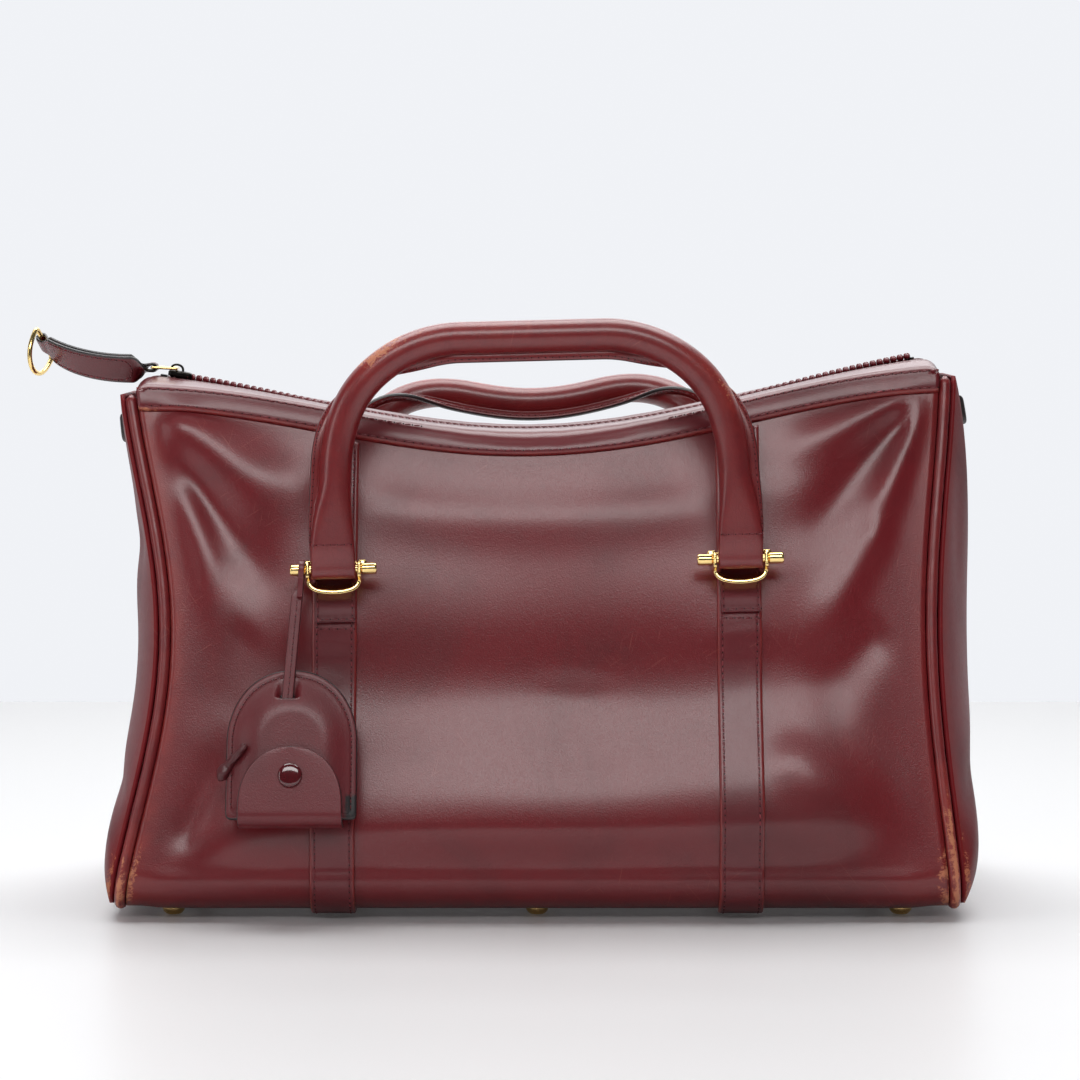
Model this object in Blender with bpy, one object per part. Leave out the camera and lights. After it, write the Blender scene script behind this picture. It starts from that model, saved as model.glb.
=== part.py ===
"""Leather handbag with rolled handles, a zip top and a hanging key holder.

Metres, +X to the right, +Y to the back, +Z up. Every shape is worked out about the bag's middle
plane, and the finished pieces are moved so that the origin is the front middle foot's underside.
"""

import math

import bmesh
import bpy
import numpy as np

# Body of the bag
SEAM_HALF_LENGTH = 0.157
BASE_HALF_DEPTH = 0.075
TOP_HALF_DEPTH = 0.021
TOP_HEIGHT = 0.203
TOP_RISE = 0.007
TOP_SAG = 0.0205
FOOT_HEIGHT = 0.004
CORNER_RADIUS = 0.012
BELLY = 0.004
WAIST_LEFT = 0.016
WAIST_RIGHT = 0.0075
WAIST_FADE = 0.062
LEATHER = 0.0016
GAP = 0.0003
BAND_STRAIGHT_SHARE = 0.12
WAIST_POWER_SHARE = 1.5
FRONT_HEIGHT_SHARES = (1.0, 0.94, 0.82, 0.68, 0.53, 0.38, 0.24, 0.11)
STRAP_THIRD_SHARES = (1.0 / 3.0, 2.0 / 3.0)
END_COLUMN_SHARES = (0.28, 0.56, 0.82, 1.0)
CORNER_STEPS = 3
BOTTOM_STEPS = 2

# End panels and pipings
PIPING_RADIUS = 0.0022
PIPING_INSET = 0.001
PIPING_TOP_DROP = 0.0042
PIPING_SIDES = 8
END_BULGE = 0.0128
END_CENTRE_HEIGHT = 0.092
END_RING_SHARES = (1.0, 0.95, 0.83, 0.65, 0.36)
END_SWELL_SHARE = 2.4
END_TOP_SHARES = (0.25, 0.5, 0.75)
END_TAB_WIDTH = 0.013
END_TAB_HEIGHT = 0.012
END_TAB_THICKNESS = 0.0018
END_TAB_DROP = 0.008
END_TAB_ROW_SHARES = (0.0, 0.5, 1.0)

# Bands along the zip
BAND_HEIGHT = 0.0105
BAND_THICKNESS = 0.0014
BAND_HALF_LENGTH = 0.1545
BAND_LIP_FROM_ZIP = 0.0075
BAND_LIP_SHARE = 0.55
BAND_CROWN_SHARE = 0.35
BAND_INNER_SHARE = 0.85
BAND_STEPS = 20

# Zip
ZIP_HALF_LENGTH = 0.147
ZIP_SAG = 0.026
ZIP_END_LIFT = 0.0035
ZIP_STRAIGHT_SHARE = 0.5
ZIP_PITCH = 0.0027
TOOTH_WIDTH = 0.0011
TOOTH_REACH = 0.0012
BEAD_INNER = 0.0016
BEAD_OUTER = 0.0027
CHAIN_HEIGHT = 0.0016
TAPE_THICKNESS = 0.0006
TAPE_INNER = 0.0006
TAPE_OUTER = 0.0125
STOP_LENGTH = 0.0025
STOP_THICKNESS = 0.0007
SLIDER_LENGTH = 0.0095
SLIDER_HALF_WIDTH = 0.0036
SLIDER_PLATE = 0.0007
SLIDER_FLANGE = 0.0006
SLIDER_FLANGE_DROP = 0.0012
SLIDER_CLEARANCE = 0.0004
SLIDER_PATH_SAG = 0.0145
LUG_LENGTH = 0.0048
LUG_OFFSET = 0.0016
LUG_HEIGHT = 0.0025
LUG_HALF_WIDTH = 0.0011
LUG_EYE_LENGTH = 0.0024
LUG_EYE_HEIGHT = 0.0015
SLIDER_SECTION_SHARES = (0.7, 0.6)
SLIDER_STATION_SHARES = ((-1.0, 0.72), (-0.6, 1.0), (0.4, 1.0), (1.0, 0.94))
LUG_SHARES = ((-0.5, 0.0), (0.5, 0.0), (0.5, 0.7), (0.3, 1.0), (-0.3, 1.0), (-0.5, 0.7))
LUG_EYE_SHARES = ((-0.5, 0.0), (0.5, 0.0), (0.5, 1.0), (-0.5, 1.0))

# Zip strap, its link to the slider and the ring at its end
LINK_LENGTH = 0.0096
LINK_HALF_WIDTH = 0.0047
LINK_ROD = 0.001
LINK_PITCH_DEG = 3.0
STRAP_PULL_LENGTH = 0.0515
STRAP_PULL_WIDTH = 0.0128
STRAP_PULL_THICKNESS = 0.0026
STRAP_PULL_START_PITCH_DEG = -6.0
STRAP_PULL_END_PITCH_DEG = 28.0
STRAP_PULL_YAW_DEG = 52.0
STRAP_PULL_ROLL_DEG = 52.0
STRAP_PULL_FLAT_LENGTH = 0.01
STRAP_PULL_ROLL_LENGTH = 0.013
STRAP_PULL_STEPS = 10
STRAP_PULL_PATH_STEPS = 24
STRAP_PULL_EDGE_SHARE = 0.72
STRAP_PULL_NECK_SHARES = (0.35, 0.7)
STRAP_PULL_TONGUE_SHARE = 0.52
STRAP_PULL_TONGUE_LENGTH = 0.0045
STRAP_PULL_LOOP_RADIUS = 0.0011
LOOP_STATION_SHARES = (-1.0, -0.85, -0.5, 0.0, 0.5, 0.85, 1.0)
LOOP_TIP_SHARE = 0.2
PULL_RING_ROD = 0.00095
PULL_RING_HALF_BAR = 0.0084
PULL_RING_BOW = 0.0138
PULL_RING_CORNER = 0.0012
PULL_RING_CORNER_SHARE = 0.3
PULL_RING_FULLNESS_SHARE = 0.8
PULL_RING_STEPS = 16
PULL_RING_SIDES = 6

# Straps round the bag
STRAP_X = 0.0765
STRAP_WIDTH = 0.0168
STRAP_THICKNESS = 0.0016

# Fittings that carry the handles
FITTING_HEIGHT = 0.129
FITTING_RISE = 0.0039
CHAPE_WIDTH = 0.0148
CHAPE_THICKNESS = 0.0011
CHAPE_GAP = 0.0004
CHAPE_DROP = 0.0185
CHAPE_HOOK_STEPS = 6
BAR_SIZE = 0.0016
BAR_CLEARANCE = 0.0005
BAR_RISE = 0.0034
CHAPE_TAIL = 0.002
RING_THICKNESS = 0.0013
RING_HALF_WIDTH = 0.0097
RING_DROP = 0.0069
RING_SIDE_DROP = 0.0028
RING_CORNER = 0.001
RING_EAR_REACH = 0.0024
RING_SMILE_DEPTH = 0.0068
RING_SMILE_STEPS = 8
RING_FULLNESS_SHARE = 0.8
RING_EAR_CORNER_SHARE = 1.3
CROSS_BAR_RADIUS = 0.0015
CROSS_BAR_CLEARANCE = 0.0003
CROSS_BAR_OUT = 0.0069
KNOB_RADIUS = 0.0022
KNOB_END_RADIUS = 0.0017
KNOB_LENGTH = 0.0056
KNOB_CHAMFER = 0.0006
KNOB_NECK_SHARE = 0.5
ROUND_SIDES = 10

# Handles
HANDLE_RISE = 0.0855
HANDLE_CORNER_RADIUS = 0.05
GRIP_RADIUS = 0.0061
LEG_END_HALF_WIDTH = 0.0084
LEG_END_HALF_THICKNESS = 0.0037
LEG_HALF_THICKNESS = 0.0045
LEG_LOOP_HEIGHT = 0.009
LEG_SQUARE_SHARE = 6.0
LEG_ROUND_SHARE = 2.0
LEG_NARROWING_SHARE = 0.4
LEG_TIP_SHARE = 0.03
LEG_LEVEL_SHARE = 0.2
LEG_BOW = 0.0018
LEG_BOW_END_DEG = 50.0
WELT_REACH = 0.0032
WELT_HALF_THICKNESS = 0.0011
WELT_THICKNESS_SHARE = 0.8
HANDLE_SECTION_POINTS = 12
LEG_LOOP_SHARES = (-0.97, -0.8, -0.45, 0.0)
LEG_STATION_SHARES = (0.08, 0.24, 0.42, 0.62, 0.82, 1.0)
CORNER_ARC_STEPS = 12
GRIP_STEPS = 8
FRONT_HANDLE_LEAN_DEG = 2.0
BACK_HANDLE_LEAN_DEG = -41.0
BACK_GRIP_DIP = 0.013
GRIP_DIP_HALF_LENGTH = 0.068

# Key holder
HOLDER_X = -0.0913
LANYARD_X = -0.0895
LANYARD_CANT_DEG = 4.3
LANYARD_WIDTH = 0.0042
LANYARD_THICKNESS = 0.0014
LANYARD_LOOP_RADIUS = 0.0026
LANYARD_BACK = 0.0027
LANYARD_LENGTH = 0.062
HOLDER_TOP_DROP = 0.0375
HOLDER_HEIGHT = 0.0562
HOLDER_HALF_WIDTH = 0.0243
HOLDER_LEAF = 0.0014
HOLDER_POCKET = 0.0037
HOLDER_RIM_STEPS = 9
HOLDER_RING_SHARES = (1.0, 0.84, 0.64, 0.36)
HOLDER_ARCH_SHARES = (0.92, 1.12)
HOLDER_SIDE_SHARES = (0.3, 0.65, 0.92)
HOLDER_FOOT_SHARE = 0.93
HOLDER_MIDDLE_SHARE = 0.55
HOLDER_DOME_SHARE = 0.42
SLOT_START_SHARE = 0.5
SLOT_CLEARANCE = 0.0004
FLAP_HALF_WIDTH = 0.0194
FLAP_HEIGHT = 0.0295
FLAP_ROW_SHARES = (0.3, 0.55, 0.75, 0.88, 0.96, 1.0)
FLAP_COLUMN_SHARES = (-1.0, -0.5, 0.0, 0.5, 1.0)
FLAP_FULLNESS_SHARE = 2.6
FLAP_TIP_SHARE = 0.18
FLAP_FOLD_SHARES = (0.6, 0.3, 2.0)
FLAP_GAP = 0.0015
FLAP_FOLD_RADIUS = 0.0014
SNAP_RADIUS = 0.0045
SNAP_HEIGHT = 0.0016
SNAP_DROP_FROM_FLAP_TOP = 0.0125
SNAP_PROFILE_SHARES = ((0.0, 1.0), (0.45, 1.0), (0.85, 0.75), (1.0, 0.35))
SOCKET_RADIUS = 0.0035
TAIL_KNOT_RADIUS = 0.0024
TAIL_KNOT_HEIGHT = 0.0185
TAIL_PROFILE_SHARES = ((0.0, 0.35), (0.35, 0.42), (0.55, 0.85), (0.85, 1.0), (1.25, 0.9),
                       (1.6, 0.5), (1.9, 0.42), (2.6, 0.5), (3.1, 0.3))
TAIL_SLOPE_SHARES = (0.75, 0.8)
TAIL_WIDTH_SHARE = 0.7

# Inside and underneath
LINING_INSET = 0.0042
LINING_THICKNESS = 0.0008
LINING_HEIGHT_SHARES = (0.0, 0.16, 0.4, 0.65, 0.9)
LINING_STEPS = 8
BOARD_THICKNESS = 0.002
BOARD_END_CLEARANCE = 0.019
BOARD_SIDE_CLEARANCE = 0.008
BOARD_CORNER_SHARES = ((-1.0, -0.9), (-0.96, -1.0), (0.96, -1.0), (1.0, -0.9), (1.0, 0.9),
                       (0.96, 1.0), (-0.96, 1.0), (-1.0, 0.9))
FOOT_RADIUS = 0.0043
FOOT_FLAT_RADIUS = 0.0027
FOOT_SHOULDER = 0.0022
FOOT_PROFILE_SHARES = (0.4, 0.9, 0.92)
FOOT_END_INSET = 0.0195
FOOT_SIDE_INSET = 0.0165
FOOT_SIDES = 12
NUMERIC_STEP = 0.0002

FRONT, BACK = 1.0, -1.0
FOOT_X = SEAM_HALF_LENGTH - FOOT_END_INSET
FOOT_Y = BASE_HALF_DEPTH - FOOT_SIDE_INSET
FRAME_SHIFT = (0.0, FOOT_Y, 0.0)

LEATHER_COLOUR = (0.17, 0.011, 0.016, 1.0)
STRAP_COLOUR = (0.15, 0.012, 0.017, 1.0)
EDGE_COLOUR = (0.012, 0.01, 0.01, 1.0)
GOLD_COLOUR = (0.83, 0.58, 0.2, 1.0)
BRASS_COLOUR = (0.62, 0.44, 0.18, 1.0)
TAPE_COLOUR = (0.13, 0.01, 0.015, 1.0)
LINING_COLOUR = (0.1, 0.012, 0.014, 1.0)
BOARD_COLOUR = (0.3, 0.24, 0.17, 1.0)
ENAMEL_COLOUR = (0.09, 0.006, 0.01, 1.0)


def clear_scene():
    """Remove the objects that a new file holds."""
    for item in list(bpy.data.objects):
        bpy.data.objects.remove(item)


def make_material(name, colour, roughness, metallic=0.0):
    """One Principled BSDF finish."""
    material = bpy.data.materials.new(name)
    material.use_nodes = True
    shader = material.node_tree.nodes["Principled BSDF"]
    shader.inputs["Base Color"].default_value = colour
    shader.inputs["Roughness"].default_value = roughness
    shader.inputs["Metallic"].default_value = metallic
    material.diffuse_color = colour
    return material


def make_materials():
    """Every finish of the bag, by name."""
    return {
        "leather": make_material("burgundy_leather", LEATHER_COLOUR, 0.38),
        "strap": make_material("strap_leather", STRAP_COLOUR, 0.42),
        "black": make_material("black_edge", EDGE_COLOUR, 0.5),
        "gold": make_material("gold_plate", GOLD_COLOUR, 0.18, 1.0),
        "brass": make_material("foot_brass", BRASS_COLOUR, 0.3, 1.0),
        "tape": make_material("zip_tape", TAPE_COLOUR, 0.8),
        "teeth": make_material("zip_teeth", TAPE_COLOUR, 0.35),
        "lining": make_material("lining_cloth", LINING_COLOUR, 0.85),
        "board": make_material("base_board", BOARD_COLOUR, 0.9),
        "enamel": make_material("cap_enamel", ENAMEL_COLOUR, 0.2),
    }


def unit(vector):
    """The vector at length one."""
    return np.asarray(vector, float) / np.linalg.norm(vector)


def blend(start, end, share):
    """The value a share of the way from start to end."""
    return start + (end - start) * share


def smooth(share):
    """A share eased at both ends."""
    share = min(max(share, 0.0), 1.0)
    return share * share * (3.0 - 2.0 * share)


def add_piece(name, points, faces, material, origin=(0.0, 0.0, 0.0), crease_deg=40.0):
    """A closed body from world points, with its origin where its joint is."""
    mesh = bpy.data.meshes.new(name)
    placed = np.asarray(points, float) - np.asarray(origin, float)
    mesh.from_pydata([tuple(point) for point in placed], [], [tuple(face) for face in faces])
    body = bmesh.new()
    body.from_mesh(mesh)
    bmesh.ops.recalc_face_normals(body, faces=body.faces)
    body.to_mesh(mesh)
    body.free()
    mesh.shade_smooth()
    mesh.set_sharp_from_angle(angle=math.radians(crease_deg))
    mesh.materials.append(material)
    piece = bpy.data.objects.new(name, mesh)
    piece.location = tuple(np.asarray(origin, float) + np.asarray(FRAME_SHIFT))
    bpy.context.scene.collection.objects.link(piece)
    return piece


def grid_faces(rows, columns, first=0, wrap_columns=False):
    """Quads over a grid of points laid out row by row."""
    faces = []
    across = columns if wrap_columns else columns - 1
    for row in range(rows - 1):
        for column in range(across):
            following = (column + 1) % columns
            a = first + row * columns + column
            b = first + row * columns + following
            faces.append((a, b, b + columns, a + columns))
    return faces


def sheet_body(outer, inner):
    """Points and faces of a sheet with two skins and a rim, from two grids of points."""
    rows, columns = len(outer), len(outer[0])
    count = rows * columns
    points = [p for row in outer for p in row] + [p for row in inner for p in row]
    faces = grid_faces(rows, columns)
    faces += [tuple(reversed(face)) for face in grid_faces(rows, columns, count)]
    for column in range(columns - 1):
        for start in (0, (rows - 1) * columns):
            a, b = start + column, start + column + 1
            faces.append((a, b, b + count, a + count))
    for row in range(rows - 1):
        for start in (0, columns - 1):
            a, b = row * columns + start, (row + 1) * columns + start
            faces.append((a, b, b + count, a + count))
    return points, faces


def tube_body(rings):
    """Points and faces of a tube through closed rings of points, with a flat cap at each end."""
    sides = len(rings[0])
    points = [point for ring in rings for point in ring]
    faces = grid_faces(len(rings), sides, wrap_columns=True)
    last = (len(rings) - 1) * sides
    faces.append(tuple(range(sides)))
    faces.append(tuple(last + index for index in range(sides)))
    return points, faces


def closed_tube_body(rings):
    """Points and faces of a tube that runs back into itself."""
    sides, count = len(rings[0]), len(rings)
    points = [point for ring in rings for point in ring]
    faces = []
    for ring in range(count):
        for side in range(sides):
            following = (side + 1) % sides
            ahead = (ring + 1) % count
            faces.append((ring * sides + side, ring * sides + following,
                          ahead * sides + following, ahead * sides + side))
    return points, faces


def prism_body(outline, start, end):
    """Points and faces of a flat outline of world points, carried from one offset to another."""
    count = len(outline)
    points = [point + start for point in outline] + [point + end for point in outline]
    faces = [tuple(range(count)), tuple(range(count, 2 * count))]
    for index in range(count):
        following = (index + 1) % count
        faces.append((index, following, following + count, index + count))
    return points, faces


def turned_body(profile, centre, axis, across, sides):
    """Points and faces of a turned piece: (along, radius) pairs about an axis through centre."""
    axis, across = unit(axis), unit(across)
    other = np.cross(axis, across)
    rings = []
    for along, radius in profile:
        ring = []
        for side in range(sides):
            angle = 2.0 * math.pi * side / sides
            spoke = across * math.cos(angle) + other * math.sin(angle)
            ring.append(centre + axis * along + spoke * radius)
        rings.append(ring)
    return tube_body(rings)


def cut_with(piece, cutter):
    """Take a hidden cutter's shape out of a piece."""
    cutter.hide_render = True
    cutter.display_type = "WIRE"
    modifier = piece.modifiers.new("cut_" + cutter.name, "BOOLEAN")
    modifier.operation = "DIFFERENCE"
    modifier.object = cutter


def sag_share(share, straight):
    """How far a line hung from both ends dips at a share of its half length."""
    share = min(abs(share), 1.0)
    parabola = 1.0 - share * share
    wave = 0.5 * (1.0 + math.cos(math.pi * share))
    return blend(wave, parabola, straight)


def corner_line(x):
    """Height of the straight line through the bag's two top corners."""
    return TOP_HEIGHT + TOP_RISE * x / (2.0 * BAND_HALF_LENGTH)


def band_top(x):
    """Height of the bands' upper edge."""
    return corner_line(x) - TOP_SAG * sag_share(x / BAND_HALF_LENGTH, BAND_STRAIGHT_SHARE)


def zip_top(x):
    """Height of the upper side of the zip's teeth."""
    dip = ZIP_SAG * sag_share(x / ZIP_HALF_LENGTH, ZIP_STRAIGHT_SHARE)
    return corner_line(x) + ZIP_END_LIFT - dip


def wrap_top(x):
    """Height of the wrap's upper edge, inside the fold of the band."""
    return band_top(x) - BAND_THICKNESS - GAP


def lip_height(x):
    """Height of the band's upper side at its inner edge, beside the zip."""
    return blend(band_top(x), zip_top(x), BAND_LIP_SHARE)


def lean_angle():
    """Angle of the front from the vertical, tangent to the bottom corner's arc."""
    inward = BASE_HALF_DEPTH - CORNER_RADIUS - TOP_HALF_DEPTH
    upward = TOP_HEIGHT - FOOT_HEIGHT - CORNER_RADIUS
    distance = math.hypot(inward, upward)
    return math.atan2(inward, upward) + math.asin(CORNER_RADIUS / distance)


LEAN = lean_angle()
FACE_START_Z = FOOT_HEIGHT + CORNER_RADIUS + CORNER_RADIUS * math.sin(LEAN)
FACE_START_Y = BASE_HALF_DEPTH - CORNER_RADIUS + CORNER_RADIUS * math.cos(LEAN)


def waist_shift(x, z):
    """How far the end of the bag is drawn in towards its middle at a height."""
    share = min(max(z / TOP_HEIGHT, 0.0), 1.0)
    drawn = math.sin(math.pi * share) ** WAIST_POWER_SHARE
    near_end = smooth((abs(x) - SEAM_HALF_LENGTH + WAIST_FADE) / WAIST_FADE)
    if x < 0:
        return WAIST_LEFT * drawn * near_end
    return -WAIST_RIGHT * drawn * near_end


def face_depth(x, z):
    """Distance of the front face from the middle plane at a height above the corner arc."""
    share = (z - FACE_START_Z) / (wrap_top(x) - FACE_START_Z)
    swell = BELLY * math.sin(math.pi * min(max(share, 0.0), 1.0))
    swell *= 1.0 - smooth((abs(x) - SEAM_HALF_LENGTH + WAIST_FADE) / WAIST_FADE)
    return FACE_START_Y - (z - FACE_START_Z) * math.tan(LEAN) + swell


def wrap_point(x, v):
    """A point on the outside of the wrap. v runs 0 to 1 down the front, to 2 round the corner,
    to 3 across the bottom, to 4 round the back corner and to 5 up the back."""
    if v > 2.5:
        mirrored = wrap_point(x, 5.0 - v)
        return mirrored * np.array((1.0, -1.0, 1.0))
    if v <= 1.0:
        z = blend(wrap_top(x), FACE_START_Z, v)
        y = -face_depth(x, z)
    elif v <= 2.0:
        angle = blend(LEAN, -0.5 * math.pi, v - 1.0)
        y = -(BASE_HALF_DEPTH - CORNER_RADIUS) - CORNER_RADIUS * math.cos(angle)
        z = FOOT_HEIGHT + CORNER_RADIUS + CORNER_RADIUS * math.sin(angle)
    else:
        y = blend(-(BASE_HALF_DEPTH - CORNER_RADIUS), BASE_HALF_DEPTH - CORNER_RADIUS, v - 2.0)
        z = FOOT_HEIGHT
    return np.array((x + waist_shift(x, z), y, z))


def wrap_normal(x, v):
    """The direction out of the wrap at a point."""
    share_step = NUMERIC_STEP / TOP_HEIGHT
    along_x = wrap_point(x + NUMERIC_STEP, v) - wrap_point(x - NUMERIC_STEP, v)
    along_v = wrap_point(x, min(v + share_step, 5.0)) - wrap_point(x, max(v - share_step, 0.0))
    return unit(np.cross(along_v, along_x))


def wrap_offset(x, v, distance):
    """A point at a distance outside the wrap, or inside it where the distance is negative."""
    return wrap_point(x, v) + wrap_normal(x, v) * distance


def wrap_stations():
    """Shares down the front, round the corners, across the bottom and up the back."""
    front = [1.0 - share for share in FRONT_HEIGHT_SHARES] + [1.0]
    corner = [1.0 + (step + 1) / CORNER_STEPS for step in range(CORNER_STEPS)]
    bottom = [2.0 + (step + 1) / BOTTOM_STEPS for step in range(BOTTOM_STEPS)]
    far = [5.0 - v for v in reversed(front + corner[:-1])]
    return front + corner + bottom + far


def v_at_height(x, z):
    """The share down the front at which the wrap has a height."""
    return (wrap_top(x) - z) / (wrap_top(x) - FACE_START_Z)


def wrap_columns():
    """Places along the bag's length, with one at each strap's edge."""
    half = SEAM_HALF_LENGTH - PIPING_RADIUS - GAP
    inner = STRAP_X - 0.5 * STRAP_WIDTH
    outer = STRAP_X + 0.5 * STRAP_WIDTH
    places = [0.0] + [inner * share for share in STRAP_THIRD_SHARES] + [inner, outer]
    places += [blend(outer, half, share) for share in END_COLUMN_SHARES]
    return [-place for place in reversed(places[1:])] + places


def build_wrap(materials):
    """The one piece of leather that makes the front, the bottom and the back."""
    columns, stations = wrap_columns(), wrap_stations()
    outer = [[wrap_offset(x, v, 0.0) for v in stations] for x in columns]
    inner = [[wrap_offset(x, v, -LEATHER) for v in stations] for x in columns]
    points, faces = sheet_body(outer, inner)
    add_piece("body_wrap", points, faces, materials["leather"])


def seam_stations(side):
    """Shares along the end seam, which stops a little below the wrap's upper edge."""
    x = side * SEAM_HALF_LENGTH
    start = v_at_height(x, band_top(x) - PIPING_TOP_DROP)
    inner = [v for v in wrap_stations() if start + PIPING_RADIUS < v < 5.0 - start - PIPING_RADIUS]
    return [start] + inner + [5.0 - start]


def seam_point(side, v):
    """A point on the middle line of the end seam."""
    x = side * SEAM_HALF_LENGTH
    return wrap_point(x, v) - wrap_normal(x, v) * PIPING_INSET


def build_piping(side, name, materials):
    """The rolled welt in the seam between the wrap and an end panel."""
    centres = [seam_point(side, v) for v in seam_stations(side)]
    rings = []
    for index, centre in enumerate(centres):
        before = centres[max(index - 1, 0)]
        after = centres[min(index + 1, len(centres) - 1)]
        ahead = unit(after - before)
        out = unit(np.cross(ahead, (side, 0.0, 0.0)))
        across = np.cross(out, ahead)
        ring = []
        for step in range(PIPING_SIDES):
            angle = 2.0 * math.pi * step / PIPING_SIDES
            spoke = out * math.cos(angle) + across * math.sin(angle)
            ring.append(centre + spoke * PIPING_RADIUS)
        rings.append(ring)
    points, faces = tube_body(rings)
    add_piece(name, points, faces, materials["leather"])


def end_outline(side):
    """The end panel's rim, down the front, under and up the back, then over its top."""
    rim = [seam_point(side, v) for v in seam_stations(side)]
    front, back = rim[0], rim[-1]
    return rim + [blend(back, front, share) for share in END_TOP_SHARES]


def end_swell(share):
    """How far the end panel stands out at a share of the way from its middle to its rim."""
    return END_BULGE * (1.0 - share ** END_SWELL_SHARE)


def build_end_panel(side, name, materials):
    """One end of the bag, swelling outwards past its piping."""
    rim = end_outline(side)
    base = PIPING_RADIUS + GAP
    skins = []
    for depth in (LEATHER, 0.0):
        rings = []
        for share in END_RING_SHARES + (0.0,):
            ring = []
            for point in rim:
                y = point[1] * share
                z = blend(END_CENTRE_HEIGHT, point[2], share)
                x = side * SEAM_HALF_LENGTH
                place = x + waist_shift(x, z) + side * (base + depth + end_swell(share))
                ring.append(np.array((place, y, z)))
            rings.append(ring)
        skins.append(rings)
    count = len(rim)
    points, faces = [], []
    for rings in skins:
        first = len(points)
        points += [point for ring in rings[:-1] for point in ring] + [rings[-1][0]]
        faces += grid_faces(len(rings) - 1, count, first, wrap_columns=True)
        last, centre = first + (len(rings) - 2) * count, first + (len(rings) - 1) * count
        faces += [(last + i, last + (i + 1) % count, centre) for i in range(count)]
    second = (len(END_RING_SHARES)) * count + 1
    faces += [(i, (i + 1) % count, second + (i + 1) % count, second + i) for i in range(count)]
    add_piece(name, points, faces, materials["leather"])


def end_panel_face(side, y, z):
    """A point on the outside of the end panel, near its top."""
    x = side * SEAM_HALF_LENGTH
    top = band_top(x) - PIPING_TOP_DROP
    share = (z - END_CENTRE_HEIGHT) / (top - END_CENTRE_HEIGHT)
    out = PIPING_RADIUS + GAP + LEATHER + end_swell(share)
    return np.array((x + waist_shift(x, z) + side * out, y, z))


def build_end_tab(side, name, materials):
    """The small black tab sewn to the end just below its top."""
    top = band_top(side * SEAM_HALF_LENGTH) - PIPING_TOP_DROP - END_TAB_DROP
    skins = []
    for depth in (GAP + END_TAB_THICKNESS, GAP):
        grid = []
        for share in END_TAB_ROW_SHARES:
            z = top - END_TAB_HEIGHT * share
            row = [end_panel_face(side, y, z) + np.array((side * depth, 0.0, 0.0))
                   for y in (-0.5 * END_TAB_WIDTH, 0.5 * END_TAB_WIDTH)]
            grid.append(row)
        skins.append(grid)
    points, faces = sheet_body(*skins)
    add_piece(name, points, faces, materials["black"])


def build_band(side, name, materials):
    """The stitched facing that covers the wrap's upper edge and turns in towards the zip."""
    outer, inner = [], []
    for step in range(BAND_STEPS + 1):
        x = blend(-BAND_HALF_LENGTH, BAND_HALF_LENGTH, step / BAND_STEPS)
        top = band_top(x)
        lip = np.array((x + waist_shift(x, top), -BAND_LIP_FROM_ZIP, lip_height(x)))
        down = (BAND_HEIGHT - BAND_THICKNESS) / (wrap_top(x) - FACE_START_Z)
        low_out = wrap_offset(x, down, GAP + BAND_THICKNESS)
        low_in = wrap_offset(x, down, GAP)
        high_in = wrap_offset(x, 0.0, GAP) + np.array((0.0, 0.0, GAP))
        high_out = wrap_offset(x, 0.0, GAP + BAND_THICKNESS)
        crown = high_in + np.array((0.0, -BAND_CROWN_SHARE * BAND_THICKNESS, BAND_THICKNESS))
        lip_low = lip - np.array((0.0, 0.0, BAND_THICKNESS))
        outer.append([low_out, high_out, crown, lip])
        inner.append([low_in, blend(low_in, high_in, BAND_INNER_SHARE), high_in, lip_low])
    points, faces = sheet_body(outer, inner)
    mirror = np.array((1.0, side, 1.0))
    add_piece(name, [point * mirror for point in points], faces, materials["strap"])


def build_tape(side, name, materials):
    """The woven tape that runs under the band's lip and carries a row of teeth."""
    outer, inner = [], []
    for step in range(BAND_STEPS + 1):
        x = blend(-ZIP_HALF_LENGTH, ZIP_HALF_LENGTH, step / BAND_STEPS)
        chain_under = zip_top(x) - CHAIN_HEIGHT - GAP
        lip_under = lip_height(x) - BAND_THICKNESS - 2.0 * GAP
        share = (TAPE_OUTER - BAND_LIP_FROM_ZIP) / (TOP_HALF_DEPTH - BAND_LIP_FROM_ZIP)
        edge_under = blend(lip_under, band_top(x) - BAND_THICKNESS - 2.0 * GAP, share)
        rows = [(-TAPE_INNER, chain_under), (-BEAD_OUTER, chain_under),
                (-BAND_LIP_FROM_ZIP, min(lip_under, chain_under)),
                (-TAPE_OUTER, min(edge_under, chain_under) - GAP)]
        outer.append([np.array((x, y, z)) for y, z in rows])
        inner.append([np.array((x, y, z - TAPE_THICKNESS)) for y, z in rows])
    points, faces = sheet_body(outer, inner)
    mirror = np.array((1.0, side, 1.0))
    add_piece(name, [point * mirror for point in points], faces, materials["tape"])


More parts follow.
